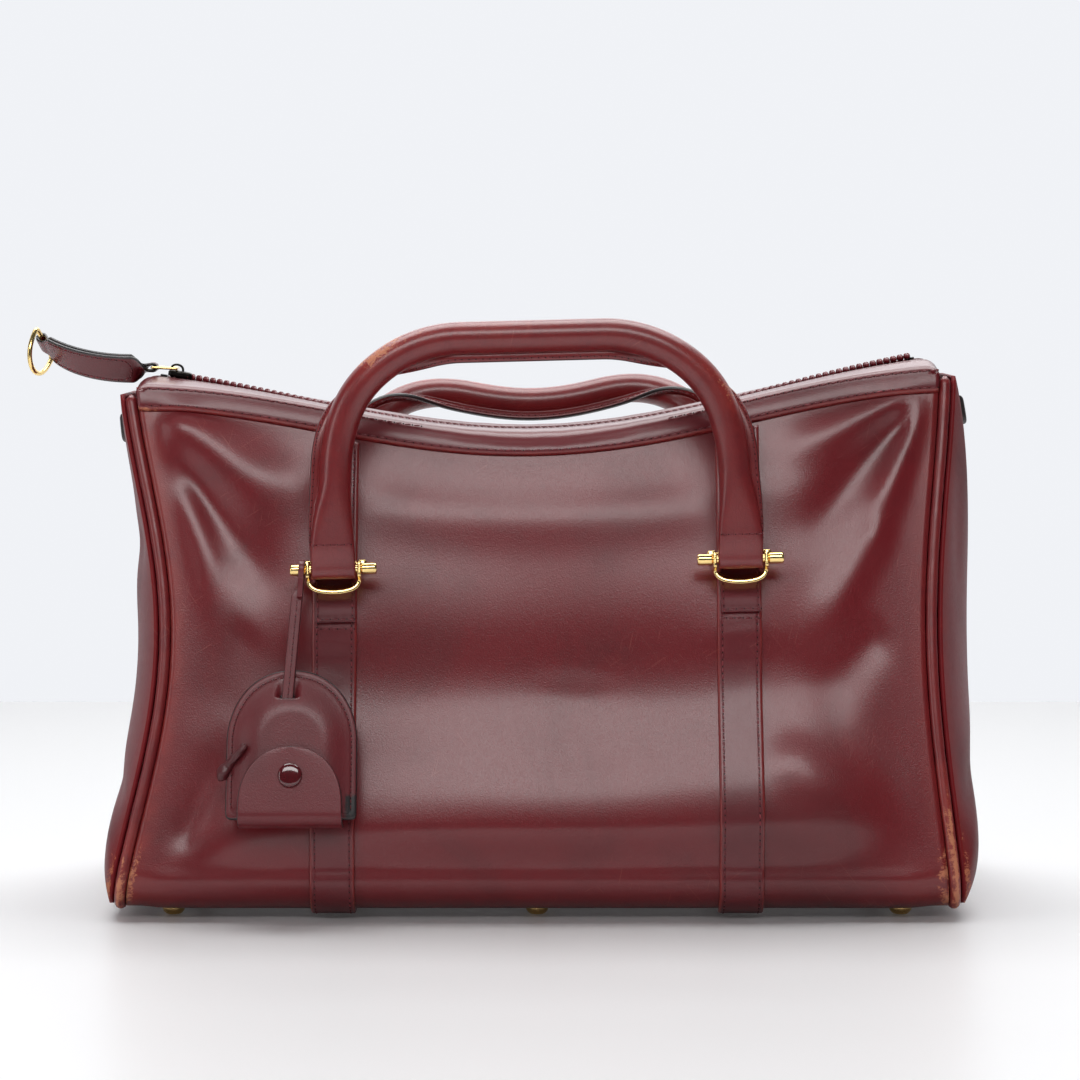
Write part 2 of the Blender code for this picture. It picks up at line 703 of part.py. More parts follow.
def build_teeth(side, name, materials):
    """A comb of teeth on their bead, set half a pitch from the facing row."""
    start = -ZIP_HALF_LENGTH + SLIDER_LENGTH
    offset = 0.0 if side > 0 else 0.5 * ZIP_PITCH
    count = int((2.0 * ZIP_HALF_LENGTH - SLIDER_LENGTH - STOP_LENGTH) / ZIP_PITCH) - 1
    points, faces = [], []

    def pillar(x, y):
        """Two points, one on the chain's upper side and one on its lower side."""
        top = zip_top(x)
        points.append(np.array((x, y * side, top)))
        points.append(np.array((x, y * side, top - CHAIN_HEIGHT)))
        return len(points) - 2

    edges = []
    for index in range(count + 1):
        centre = start + offset + index * ZIP_PITCH
        near, far = centre - 0.5 * TOOTH_WIDTH, centre + 0.5 * TOOTH_WIDTH
        edges.append((pillar(near, -BEAD_OUTER), pillar(near, -BEAD_INNER),
                      pillar(far, -BEAD_INNER), pillar(near, TOOTH_REACH),
                      pillar(far, TOOTH_REACH)))
    for index in range(count):
        out, near, far, tip_near, tip_far = edges[index]
        next_out, next_near = edges[index + 1][0], edges[index + 1][1]
        for level in (0, 1):
            faces.append((out + level, near + level, far + level, next_near + level, next_out + level))
            faces.append((near + level, far + level, tip_far + level, tip_near + level))
        faces.append((out, next_out, next_out + 1, out + 1))
        faces.append((far, next_near, next_near + 1, far + 1))
        faces.append((near, tip_near, tip_near + 1, near + 1))
        faces.append((far, tip_far, tip_far + 1, far + 1))
        faces.append((tip_near, tip_far, tip_far + 1, tip_near + 1))
    out, near = edges[0][0], edges[0][1]
    faces.append((out, near, near + 1, out + 1))
    out, near = edges[count][0], edges[count][1]
    faces.append((out, near, near + 1, out + 1))
    used = sorted({corner for face in faces for corner in face})
    place = {corner: index for index, corner in enumerate(used)}
    faces = [tuple(place[corner] for corner in face) for face in faces]
    add_piece(name, [points[corner] for corner in used], faces, materials["teeth"], crease_deg=20.0)


def chain_point(x, y, lift):
    """A point over the zip's teeth, lifted off their upper side."""
    return np.array((x, y, zip_top(x) + lift))


def build_stop(side, name, materials):
    """The metal stop at one end of the teeth."""
    far = side * ZIP_HALF_LENGTH
    near = far - side * STOP_LENGTH
    if side < 0:
        near, far = far, far - side * STOP_LENGTH
    rows = (-BEAD_OUTER, BEAD_OUTER)
    low, high = -CHAIN_HEIGHT, STOP_THICKNESS - CHAIN_HEIGHT
    outer = [[chain_point(x, y, high) for y in rows] for x in (near, far)]
    inner = [[chain_point(x, y, low) for y in rows] for x in (near, far)]
    points, faces = sheet_body(outer, inner)
    add_piece(name, points, faces, materials["gold"])


def slider_place():
    """The slider's middle on the teeth, and the direction of the zip there."""
    x = -ZIP_HALF_LENGTH + STOP_LENGTH + GAP + 0.5 * SLIDER_LENGTH
    here = chain_point(x, 0.0, SLIDER_CLEARANCE)
    ahead = unit(chain_point(x + SLIDER_LENGTH, 0.0, 0.0) - chain_point(x, 0.0, 0.0))
    up = np.array((-ahead[2], 0.0, ahead[0]))
    return here, ahead, up


def slider_arc_centre():
    """The point about which the slider's path along the sagging zip turns."""
    near = chain_point(-ZIP_HALF_LENGTH + STOP_LENGTH + GAP + 0.5 * SLIDER_LENGTH, 0.0, 0.0)
    far = chain_point(ZIP_HALF_LENGTH - STOP_LENGTH - GAP - 0.5 * SLIDER_LENGTH, 0.0, 0.0)
    half = 0.5 * np.linalg.norm(far - near)
    radius = (half * half + SLIDER_PATH_SAG * SLIDER_PATH_SAG) / (2.0 * SLIDER_PATH_SAG)
    ahead = unit(far - near)
    up = np.array((-ahead[2], 0.0, ahead[0]))
    return 0.5 * (near + far) + up * (radius - SLIDER_PATH_SAG), math.asin(half / radius)


def build_slider(materials):
    """The zip slider: a plate over the teeth, a flange on each side and an eyed lug on top."""
    here, ahead, up = slider_place()
    side_way = np.array((0.0, 1.0, 0.0))
    half = 0.5 * SLIDER_LENGTH
    flat, edge = SLIDER_SECTION_SHARES
    drop = SLIDER_CLEARANCE + SLIDER_FLANGE_DROP
    wide, inner = SLIDER_HALF_WIDTH, SLIDER_HALF_WIDTH - SLIDER_FLANGE
    section = ((-wide, -drop), (-inner, -drop), (-inner, 0.0), (inner, 0.0), (inner, -drop),
               (wide, -drop), (wide, edge * SLIDER_PLATE), (flat * wide, SLIDER_PLATE),
               (-flat * wide, SLIDER_PLATE), (-wide, edge * SLIDER_PLATE))
    rings = []
    for reach, share in SLIDER_STATION_SHARES:
        along = reach * half
        width = max(share, (BEAD_OUTER + GAP + SLIDER_FLANGE) / wide)
        rings.append([here + ahead * along + side_way * y * width + up * z for y, z in section])
    points, faces = tube_body(rings)
    body = add_piece("zip_slider", points, faces, materials["gold"], origin=tuple(here))
    lug = []
    for along, high in LUG_SHARES:
        rise = SLIDER_PLATE * 0.5 + LUG_HEIGHT * high
        lug.append(here + ahead * (along * LUG_LENGTH - LUG_OFFSET) + up * rise)
    points, faces = prism_body(lug, -side_way * LUG_HALF_WIDTH, side_way * LUG_HALF_WIDTH)
    lug_block = add_piece("slider_lug_block", points, faces, materials["gold"], origin=tuple(here))
    lug_block.hide_render = True
    lug_block.display_type = "WIRE"
    join = body.modifiers.new("join_lug", "BOOLEAN")
    join.operation = "UNION"
    join.object = lug_block
    eye = []
    for along, high in LUG_EYE_SHARES:
        rise = SLIDER_PLATE + GAP + LUG_EYE_HEIGHT * high
        eye.append(here + ahead * (along * LUG_EYE_LENGTH - LUG_OFFSET) + up * rise)
    points, faces = prism_body(eye, -side_way * wide, side_way * wide)
    cut_with(body, add_piece("lug_eye_cutter", points, faces, materials["gold"]))
    return body


def link_pivot():
    """The middle of the link's near rod, in the lug's eye."""
    here, ahead, up = slider_place()
    return here - ahead * LUG_OFFSET + up * (SLIDER_PLATE + GAP + 0.5 * LUG_EYE_HEIGHT)


def heading(pitch_deg, yaw_deg):
    """Directions along, over and across a pull that points left, pitched up and yawed back."""
    pitch, yaw = math.radians(pitch_deg), math.radians(yaw_deg)
    along = np.array((-math.cos(yaw) * math.cos(pitch), math.sin(yaw) * math.cos(pitch),
                      math.sin(pitch)))
    across = np.array((-math.sin(yaw), -math.cos(yaw), 0.0))
    over = np.cross(along, across)
    return along, over, across


def link_bar():
    """The middle of the link's far rod, which the leather pull loops."""
    along, _, _ = heading(LINK_PITCH_DEG, 0.0)
    return link_pivot() + along * LINK_LENGTH


def build_link(materials):
    """The small flat link between the slider's lug and the leather pull."""
    pivot = link_pivot()
    along, over, across = heading(LINK_PITCH_DEG, 0.0)
    half, wide, rod = 0.5 * LINK_ROD, LINK_HALF_WIDTH, LINK_LENGTH
    ring = ((0.0, wide), (rod, wide), (rod, -wide), (0.0, -wide))
    signs = ((-1.0, 1.0), (1.0, 1.0), (1.0, -1.0), (-1.0, -1.0))
    rings = []
    for (reach, y), (out_a, out_y) in zip(ring, signs):
        corners = []
        for grow, level in ((-half, -half), (half, -half), (half, half), (-half, half)):
            corners.append(pivot + along * (reach + out_a * grow)
                           + across * (y - out_y * half + out_y * grow) + over * level)
        rings.append(corners)
    points, faces = closed_tube_body(rings)
    add_piece("slider_ring", points, faces, materials["gold"], origin=tuple(pivot))


def pull_pin():
    """How far along the leather pull the ring's bar sits."""
    return STRAP_PULL_LENGTH - PULL_RING_ROD - STRAP_PULL_LOOP_RADIUS


def pull_frame(reach):
    """The pull's middle at a distance along it, with its along, thick and flat directions."""
    steps = STRAP_PULL_PATH_STEPS
    pin = pull_pin()
    place = link_bar()
    share = 0.0
    for step in range(steps):
        share = (step + 0.5) / steps * reach / pin
        bend = min(max(share, 0.0), 1.0)
        pitch = blend(STRAP_PULL_START_PITCH_DEG, STRAP_PULL_END_PITCH_DEG, bend)
        along, _, _ = heading(pitch, STRAP_PULL_YAW_DEG * bend * bend)
        place = place + along * (reach / steps)
    bend = min(max(reach / pin, 0.0), 1.0)
    pitch = blend(STRAP_PULL_START_PITCH_DEG, STRAP_PULL_END_PITCH_DEG, bend)
    along, over, across = heading(pitch, STRAP_PULL_YAW_DEG * bend * bend)
    turned = smooth((reach - STRAP_PULL_FLAT_LENGTH) / STRAP_PULL_ROLL_LENGTH)
    roll = math.radians(STRAP_PULL_ROLL_DEG) * turned
    flat = across * math.cos(roll) + over * math.sin(roll)
    thick = over * math.cos(roll) - across * math.sin(roll)
    return place, along, thick, flat


def build_zip_strap(materials):
    """The leather pull: flat where it loops the link, rolled towards its edge further out."""
    pin = pull_pin()
    loop = STRAP_PULL_LOOP_RADIUS + 0.5 * LINK_ROD
    end_loop = PULL_RING_ROD + STRAP_PULL_LOOP_RADIUS
    tongue = pin - end_loop - STRAP_PULL_TONGUE_LENGTH
    reaches = [share * loop for share in LOOP_STATION_SHARES]
    reaches += [blend(loop, tongue, (step + 1) / STRAP_PULL_STEPS)
                for step in range(STRAP_PULL_STEPS)]
    reaches += [blend(tongue, pin - end_loop, share) for share in STRAP_PULL_NECK_SHARES]
    reaches += [pin + share * end_loop for share in LOOP_STATION_SHARES]
    narrow = LINK_HALF_WIDTH - LINK_ROD - GAP
    full = 0.5 * STRAP_PULL_WIDTH
    edge = STRAP_PULL_EDGE_SHARE
    section = ((-1, -edge), (-edge, -1), (edge, -1), (1, -edge), (1, edge), (edge, 1), (-edge, 1),
               (-1, edge))
    rings = []
    for reach in reaches:
        half_width = blend(narrow, full, smooth((reach - loop) / STRAP_PULL_FLAT_LENGTH))
        tip = smooth((reach - tongue) / STRAP_PULL_TONGUE_LENGTH)
        half_width *= blend(1.0, STRAP_PULL_TONGUE_SHARE, tip)
        half_thick = 0.5 * STRAP_PULL_THICKNESS if 0.0 < reach < pin else 0.0
        for radius, place in ((loop, 0.0), (end_loop, pin)):
            square = radius * radius - (reach - place) ** 2
            if square > -(GAP * GAP):
                half_thick = max(half_thick, math.sqrt(max(square, (LOOP_TIP_SHARE * radius) ** 2)))
        centre, _, thick, flat = pull_frame(reach)
        rings.append([centre + flat * half_width * a + thick * half_thick * b for a, b in section])
    points, faces = tube_body(rings)
    strap = add_piece("zip_strap", points, faces, materials["strap"], origin=tuple(link_pivot()))
    bar = link_bar()
    _, over, across = heading(LINK_PITCH_DEG, 0.0)
    bore = 0.5 * LINK_ROD * math.sqrt(2.0) + GAP
    wide = LINK_HALF_WIDTH
    points, faces = turned_body(((-wide, bore), (wide, bore)), bar, across, over, ROUND_SIDES)
    cut_with(strap, add_piece("link_bar_cutter", points, faces, materials["strap"]))
    place, _, thick, flat = pull_frame(pin)
    bore = PULL_RING_ROD + GAP
    points, faces = turned_body(((-full, bore), (full, bore)), place, flat, thick, ROUND_SIDES)
    cut_with(strap, add_piece("strap_end_cutter", points, faces, materials["strap"]))


def build_pull_ring(materials):
    """The gold D ring whose straight bar passes through the tongue of the zip strap."""
    pivot, _, _, flat = pull_frame(pull_pin())
    bow = np.array((0.0, 0.0, -1.0))
    bow = unit(bow - flat * np.dot(bow, flat))
    normal = np.cross(flat, bow)
    half, corner = PULL_RING_HALF_BAR, PULL_RING_CORNER
    cut = PULL_RING_CORNER_SHARE * corner
    line = [(half - corner, 0.0), (half - cut, cut), (half, corner)]
    for step in range(1, PULL_RING_STEPS):
        angle = math.pi * step / PULL_RING_STEPS
        line.append((half * math.cos(angle),
                     blend(corner, PULL_RING_BOW, math.sin(angle) ** PULL_RING_FULLNESS_SHARE)))
    line += [(-half, corner), (cut - half, cut), (corner - half, 0.0)]
    rings = []
    for index, (run, drop) in enumerate(line):
        before, after = line[index - 1], line[(index + 1) % len(line)]
        ahead = unit((after[0] - before[0], after[1] - before[1]))
        away = flat * ahead[1] - bow * ahead[0]
        ring = []
        for side in range(PULL_RING_SIDES):
            turn = 2.0 * math.pi * side / PULL_RING_SIDES
            ring.append(pivot + flat * run + bow * drop
                        + (away * math.cos(turn) + normal * math.sin(turn)) * PULL_RING_ROD)
        rings.append(ring)
    points, faces = closed_tube_body(rings)
    add_piece("zip_strap_ring", points, faces, materials["gold"], origin=tuple(pivot))


def build_strap(side, name, materials):
    """A strap sewn down the front, under the bottom and up the back."""
    middle = side * STRAP_X
    edges = (middle - 0.5 * STRAP_WIDTH, middle + 0.5 * STRAP_WIDTH)
    start = (BAND_HEIGHT + GAP) / (wrap_top(middle) - FACE_START_Z)
    clear = start + GAP / TOP_HEIGHT
    stations = [start] + [v for v in wrap_stations() if clear < v < 5.0 - clear]
    stations.append(5.0 - start)
    outer = [[wrap_offset(x, v, GAP + STRAP_THICKNESS) for v in stations] for x in edges]
    inner = [[wrap_offset(x, v, GAP) for v in stations] for x in edges]
    points, faces = sheet_body(outer, inner)
    add_piece(name, points, faces, materials["strap"])


class PanelFrame:
    """Directions on the front or the back where the fittings sit: along, down and out."""

    def __init__(self, face):
        self.face = face
        places = []
        for side in (-1.0, 1.0):
            height = FITTING_HEIGHT + 0.5 * side * FITTING_RISE
            v = v_at_height(side * STRAP_X, height)
            places.append(wrap_point(side * STRAP_X, v))
        left, right = places
        v = v_at_height(STRAP_X, FITTING_HEIGHT)
        self.along = unit(right - left)
        out = wrap_normal(STRAP_X, v)
        self.out = unit(out - self.along * np.dot(out, self.along))
        self.down = unit(np.cross(self.along, self.out))
        if self.down[2] > 0:
            self.down = -self.down
        fall = np.array((0.0, 0.0, -1.0))
        self.plumb = unit(fall - self.out * np.dot(fall, self.out))
        self.level = np.cross(self.out, self.plumb)
        self.middle = 0.5 * (left + right)
        self.half_span = 0.5 * np.linalg.norm(right - left)
        self.mirror = np.array((1.0, face, 1.0))

    def place(self, along, down, out):
        """The world point at distances along, down and out from the panel's middle point."""
        point = self.middle + self.along * along + self.down * down + self.out * out
        return point * self.mirror

    def way(self, direction):
        """A direction of this frame in the world."""
        return direction * self.mirror

    @property
    def bar_out(self):
        """How far the stirrup's upper bar stands from the panel."""
        return (GAP + STRAP_THICKNESS + CHAPE_GAP + CHAPE_THICKNESS
                + BAR_CLEARANCE + 0.5 * BAR_SIZE)

    @property
    def cross_out(self):
        """How far the cross bar stands from the panel."""
        return self.bar_out + CROSS_BAR_OUT


def build_chape(frame, side, name, materials):
    """The sewn loop that hooks round the stirrup's upper bar."""
    middle = side * frame.half_span
    bar_out = frame.bar_out
    low = bar_out - 0.5 * BAR_SIZE - BAR_CLEARANCE
    reach = 0.5 * BAR_SIZE + BAR_CLEARANCE
    inner_path, outer_path = [], []
    for down in (CHAPE_DROP, 0.5 * CHAPE_DROP):
        inner_path.append((down, low))
        outer_path.append((down, low - CHAPE_THICKNESS))
    for step in range(CHAPE_HOOK_STEPS + 1):
        angle = math.pi * step / CHAPE_HOOK_STEPS
        for path, radius in ((inner_path, reach), (outer_path, reach + CHAPE_THICKNESS)):
            path.append((-BAR_RISE - radius * math.sin(angle), bar_out - radius * math.cos(angle)))
    inner_path.append((-BAR_RISE + CHAPE_TAIL, bar_out + reach))
    outer_path.append((-BAR_RISE + CHAPE_TAIL, bar_out + reach + CHAPE_THICKNESS))
    grids = []
    for path in (outer_path, inner_path):
        grids.append([[frame.place(middle + edge * 0.5 * CHAPE_WIDTH, down, out)
                       for down, out in path] for edge in (-1.0, 1.0)])
    points, faces = sheet_body(*grids)
    add_piece(name, points, faces, materials["strap"])


def stirrup_path():
    """The stirrup's middle line: (along, down, depth) with its depth out from the bar's back."""
    ear = CROSS_BAR_OUT + RING_EAR_REACH + 0.5 * BAR_SIZE
    wide = RING_HALF_WIDTH
    top = -BAR_RISE
    half = [(0.0, top, BAR_SIZE), (wide - RING_CORNER, top, BAR_SIZE),
            (wide, top + RING_CORNER, BAR_SIZE),
            (wide, top + RING_EAR_CORNER_SHARE * RING_CORNER, ear),
            (wide, 0.0, ear), (wide, RING_SIDE_DROP, ear)]
    steps = RING_SMILE_STEPS // 2
    for step in range(1, steps + 1):
        angle = 0.5 * math.pi * step / steps
        sag = blend(RING_SIDE_DROP, RING_DROP, math.sin(angle) ** RING_FULLNESS_SHARE)
        half.append((wide * math.cos(angle), sag, RING_SMILE_DEPTH))
    other = [(-along, down, depth) for along, down, depth in reversed(half[1:-1])]
    return half + other


def build_stirrup(frame, side, name, origin, materials):
    """The gold stirrup: a bar at the back, two ears for the cross bar and a curved tread."""
    middle = side * frame.half_span
    back = frame.bar_out - 0.5 * BAR_SIZE
    path = stirrup_path()
    rings = []
    for index, (along, down, depth) in enumerate(path):
        before, after = path[index - 1], path[(index + 1) % len(path)]
        ahead = unit((after[0] - before[0], after[1] - before[1]))
        away = np.array((ahead[1], -ahead[0]))
        half = 0.5 * (BAR_SIZE if depth == BAR_SIZE else RING_THICKNESS)
        corners = []
        for grow, out in ((-half, 0.0), (half, 0.0), (half, depth), (-half, depth)):
            a, d = along + away[0] * grow, down + away[1] * grow
            corners.append(frame.place(middle + a, d, back + out))
        rings.append(corners)
    points, faces = closed_tube_body(rings)
    piece = add_piece(name, points, faces, materials["gold"], origin=tuple(origin))
    centre = frame.place(middle, 0.0, frame.cross_out)
    bore = CROSS_BAR_RADIUS + CROSS_BAR_CLEARANCE
    reach = RING_HALF_WIDTH + 2.0 * RING_THICKNESS
    points, faces = turned_body(((-reach, bore), (reach, bore)), centre,
                                frame.way(frame.along), frame.way(frame.out), ROUND_SIDES)
    cut_with(piece, add_piece(name + "_bore_cutter", points, faces, materials["gold"]))


def build_cross_bar(frame, side, name, origin, materials):
    """The bar through the stirrup's ears, with a knob on each end."""
    start = RING_HALF_WIDTH + 0.5 * RING_THICKNESS + GAP
    end = start + KNOB_LENGTH
    half = ((KNOB_NECK_SHARE * start, CROSS_BAR_RADIUS), (start, CROSS_BAR_RADIUS), (start, KNOB_RADIUS),
            (end - KNOB_CHAMFER, KNOB_RADIUS), (end, KNOB_END_RADIUS))
    profile = [(-along, radius) for along, radius in reversed(half)] + list(half)
    centre = frame.place(side * frame.half_span, 0.0, frame.cross_out)
    points, faces = turned_body(profile, centre, frame.way(frame.along), frame.way(frame.out),
                                ROUND_SIDES)
    add_piece(name, points, faces, materials["gold"], origin=tuple(origin))


def handle_path(half_span, dip):
    """Stations from the left leg's end to the right's: (along, up, leg share, welt turn)."""
    straight = HANDLE_RISE - HANDLE_CORNER_RADIUS
    left = []
    end = LEG_END_HALF_THICKNESS
    for share in LEG_LOOP_SHARES:
        left.append((-half_span, end * share, 0.0, 0.0))
    for share in LEG_STATION_SHARES:
        left.append((-half_span, straight * share, share, 0.0))
    for step in range(1, CORNER_ARC_STEPS + 1):
        angle = 0.5 * math.pi * step / CORNER_ARC_STEPS
        along = -half_span + HANDLE_CORNER_RADIUS * (1.0 - math.cos(angle))
        up = straight + HANDLE_CORNER_RADIUS * math.sin(angle)
        left.append((along, up, 1.0, smooth((step - 1) / (CORNER_ARC_STEPS - 1))))
    inner = half_span - HANDLE_CORNER_RADIUS
    grip = [(blend(-inner, inner, (step + 1) / GRIP_STEPS), HANDLE_RISE, 1.0, 1.0)
            for step in range(GRIP_STEPS - 1)]
    right = [(-along, up, leg, turn) for along, up, leg, turn in reversed(left)]
    bow_top = straight + HANDLE_CORNER_RADIUS * math.sin(math.radians(LEG_BOW_END_DEG))
    path = []
    for along, up, leg, turn in left + grip + right:
        share = min(abs(along) / GRIP_DIP_HALF_LENGTH, 1.0)
        lowered = dip * 0.5 * (1.0 + math.cos(math.pi * share))
        climb = min(max((up - LEG_LOOP_HEIGHT) / (bow_top - LEG_LOOP_HEIGHT), 0.0), 1.0)
        bow = LEG_BOW * math.sin(math.pi * climb) ** 2
        path.append((along - math.copysign(bow, along), up - lowered, leg, turn))
    return path


def handle_section(leg, turn, up, side):
    """One cross-section in (outward, forward) distances, with its sewn welt."""
    loop = smooth(max(up, 0.0) / LEG_LOOP_HEIGHT)
    below = min(up / LEG_END_HALF_THICKNESS, 0.0)
    flat = LEG_END_HALF_THICKNESS * math.sqrt(max(1.0 - below * below, LEG_TIP_SHARE))
    thick = blend(blend(flat, LEG_HALF_THICKNESS, loop), GRIP_RADIUS, smooth(leg))
    narrowed = smooth((leg - LEG_NARROWING_SHARE) / (1.0 - LEG_NARROWING_SHARE))
    wide = blend(LEG_END_HALF_WIDTH, GRIP_RADIUS, narrowed)
    power = blend(LEG_SQUARE_SHARE, LEG_ROUND_SHARE, smooth(leg))
    welt = WELT_REACH * smooth(leg)
    welt_angle = -side * math.pi * turn
    section = []
    for step in range(1, HANDLE_SECTION_POINTS):
        angle = welt_angle + 2.0 * math.pi * step / HANDLE_SECTION_POINTS
        cosine, sine = math.cos(angle), math.sin(angle)
        section.append((wide * math.copysign(abs(cosine) ** (2.0 / power), cosine),
                        thick * math.copysign(abs(sine) ** (2.0 / power), sine)))
    cosine, sine = math.cos(welt_angle), math.sin(welt_angle)
    reach = math.hypot(wide * cosine, thick * sine) + welt
    seam = min(WELT_HALF_THICKNESS, WELT_THICKNESS_SHARE * thick)
    for grow in (-seam, seam):
        section.append((reach * cosine - grow * sine, reach * sine + grow * cosine))
    return section


def build_handle(frame, name, lean_deg, dip, materials):
    """A rolled handle whose flat legs loop the cross bars."""
    lean = math.radians(lean_deg)
    up = np.array((0.0, math.sin(lean), math.cos(lean)))
    up = unit(up - frame.along * np.dot(up, frame.along))
    forward = np.cross(frame.along, up)
    if forward[1] > 0:
        forward = -forward
    base = frame.middle + frame.out * frame.cross_out
    path = handle_path(frame.half_span, dip)
    rings = []
    for index, (along, rise, leg, turn) in enumerate(path):
        before, after = path[max(index - 1, 0)], path[min(index + 1, len(path) - 1)]
        ahead = unit((after[0] - before[0], after[1] - before[1]))
        if rise <= LEG_LEVEL_SHARE * HANDLE_RISE:
            ahead = np.array((0.0, 1.0 if along < 0 else -1.0))
        outward = np.array((-ahead[1], ahead[0]))
        side = 1.0
        ring = []
        for out, fore in handle_section(leg, turn, rise, side):
            point = base + frame.along * (along + outward[0] * out)
            point = point + up * (rise + outward[1] * out) + forward * fore
            ring.append(point * frame.mirror)
        rings.append(ring)
    points, faces = tube_body(rings)
    pivot = base * frame.mirror
    piece = add_piece(name, points, faces, materials["leather"], origin=tuple(pivot))
    bore = CROSS_BAR_RADIUS + CROSS_BAR_CLEARANCE
    reach = frame.half_span + 2.0 * LEG_END_HALF_WIDTH
    points, faces = turned_body(((-reach, bore), (reach, bore)), pivot,
                                frame.way(frame.along), frame.way(frame.out), ROUND_SIDES)
    cut_with(piece, add_piece(name + "_bore_cutter", points, faces, materials["leather"]))
    return pivot


def holder_point(frame, along, down, out):
    """A point of the key holder: along the bag, plumb down from the knob and out from the panel."""
    knob = frame.middle + frame.along * (LANYARD_X + STRAP_X - frame.half_span)
    point = knob + frame.level * (along - LANYARD_X) + frame.plumb * down + frame.out * out
    return point * frame.mirror


def lanyard_ways(frame):
    """The directions down and across the lanyard, which hangs a little off the plumb line."""
    cant = math.radians(LANYARD_CANT_DEG)
    down = frame.plumb * math.cos(cant) - frame.level * math.sin(cant)
    across = frame.level * math.cos(cant) + frame.plumb * math.sin(cant)
    return frame.way(down), frame.way(across)


def lanyard_point(frame, down, out):
    """A point on the lanyard's middle line, down from the knob and out from the panel."""
    return holder_point(frame, LANYARD_X, 0.0, out) + lanyard_ways(frame)[0] * down


def build_lanyard(frame, origin, materials):
    """The narrow strip that loops the left knob and hangs down into the key holder."""
    out = frame.cross_out
    inner = LANYARD_LOOP_RADIUS
    outer = inner + LANYARD_THICKNESS
    hang = out - LANYARD_BACK
    half = 0.5 * LANYARD_THICKNESS
    behind, before = LANYARD_BACK + half, LANYARD_BACK - half
    start = math.atan2(-behind, math.sqrt(outer * outer - behind * behind))
    end = math.atan2(-before, math.sqrt(outer * outer - before * before)) - 2.0 * math.pi
    outline = [(LANYARD_LENGTH, hang - half)]
    for step in range(ROUND_SIDES + 1):
        angle = blend(start, end, step / ROUND_SIDES)
        outline.append((outer * math.cos(angle), out + outer * math.sin(angle)))
    outline.append((LANYARD_LENGTH, hang + half))
    world = [lanyard_point(frame, down, depth) for down, depth in outline]
    _, across = lanyard_ways(frame)
    half_width = across * 0.5 * LANYARD_WIDTH
    points, faces = prism_body(world, -half_width, half_width)
    piece = add_piece("key_lanyard", points, faces, materials["strap"], origin=tuple(origin))
    centre = lanyard_point(frame, 0.0, out)
    points, faces = turned_body(((-LANYARD_WIDTH, inner), (LANYARD_WIDTH, inner)), centre,
                                across, frame.way(frame.out), ROUND_SIDES)
    cut_with(piece, add_piece("lanyard_bore_cutter", points, faces, materials["strap"]))


def holder_outline():
    """The leaf's outline as (along, down) from the middle of its top: an arch on straight sides."""
    half = []
    fullness, arch = HOLDER_ARCH_SHARES
    for step in range(HOLDER_RIM_STEPS + 1):
        angle = 0.5 * math.pi * step / HOLDER_RIM_STEPS
        half.append((HOLDER_HALF_WIDTH * math.sin(angle) ** fullness,
                     HOLDER_HALF_WIDTH * arch * (1.0 - math.cos(angle))))
    shoulder = half[-1][1]
    for share in HOLDER_SIDE_SHARES:
        half.append((HOLDER_HALF_WIDTH, blend(shoulder, HOLDER_HEIGHT, share)))
    half.append((HOLDER_HALF_WIDTH * HOLDER_FOOT_SHARE, HOLDER_HEIGHT))
    return half + [(-along, down) for along, down in reversed(half[1:])]


def build_leaf(frame, name, low, dome, origin, materials):
    """A leaf of the key holder, swollen in its middle. Its skins keep the leather's thickness."""
    outline = holder_outline()
    middle_down = HOLDER_MIDDLE_SHARE * HOLDER_HEIGHT
    count = len(outline)
    points, faces = [], []
    for depth in (0.0, HOLDER_LEAF):
        first = len(points)
        for share in HOLDER_RING_SHARES + (0.0,):
            swell = dome * smooth((1.0 - share) / HOLDER_DOME_SHARE)
            ring = outline if share else outline[:1]
            for along, down in ring:
                place = holder_point(frame, HOLDER_X + along * share,
                                     HOLDER_TOP_DROP + blend(middle_down, down, share),
                                     low + depth + swell)
                points.append(place)
        rows = len(HOLDER_RING_SHARES)
        faces += grid_faces(rows, count, first, wrap_columns=True)
        last, centre = first + (rows - 1) * count, first + rows * count
        faces += [(last + i, last + (i + 1) % count, centre) for i in range(count)]
    second = len(HOLDER_RING_SHARES) * count + 1
    faces += [(i, (i + 1) % count, second + (i + 1) % count, second + i) for i in range(count)]
    return add_piece(name, points, faces, materials["strap"], origin=tuple(origin))


def holder_levels(frame):
    """Heights out from the panel: back leaf, front leaf, flap."""
    strip_low = frame.cross_out - LANYARD_BACK - 0.5 * LANYARD_THICKNESS
    back = strip_low - HOLDER_LEAF - GAP - HOLDER_LEAF - GAP
    front = back + HOLDER_LEAF + GAP
    flap = front + HOLDER_POCKET + HOLDER_LEAF + FLAP_GAP
    return back, front, flap


def build_key_holder(frame, origin, materials):
    """The two leaves, with a slot in the front one where the lanyard goes in."""
    back, front, _ = holder_levels(frame)
    build_leaf(frame, "key_holder_back", back, 0.0, origin, materials)
    leaf = build_leaf(frame, "key_holder_front", front, HOLDER_POCKET, origin, materials)
    half = 0.5 * LANYARD_WIDTH + SLOT_CLEARANCE
    low = frame.cross_out - LANYARD_BACK - 0.5 * LANYARD_THICKNESS - SLOT_CLEARANCE
    high = low + LANYARD_THICKNESS + 2.0 * SLOT_CLEARANCE
    start, end = SLOT_START_SHARE * HOLDER_TOP_DROP, LANYARD_LENGTH + HOLDER_LEAF
    outline = ((start, low), (end, low), (end, high), (start, high))
    world = [lanyard_point(frame, down, out) for down, out in outline]
    across = lanyard_ways(frame)[1] * half
    points, faces = prism_body(world, -across, across)
    cut_with(leaf, add_piece("lanyard_slot_cutter", points, faces, materials["strap"]))


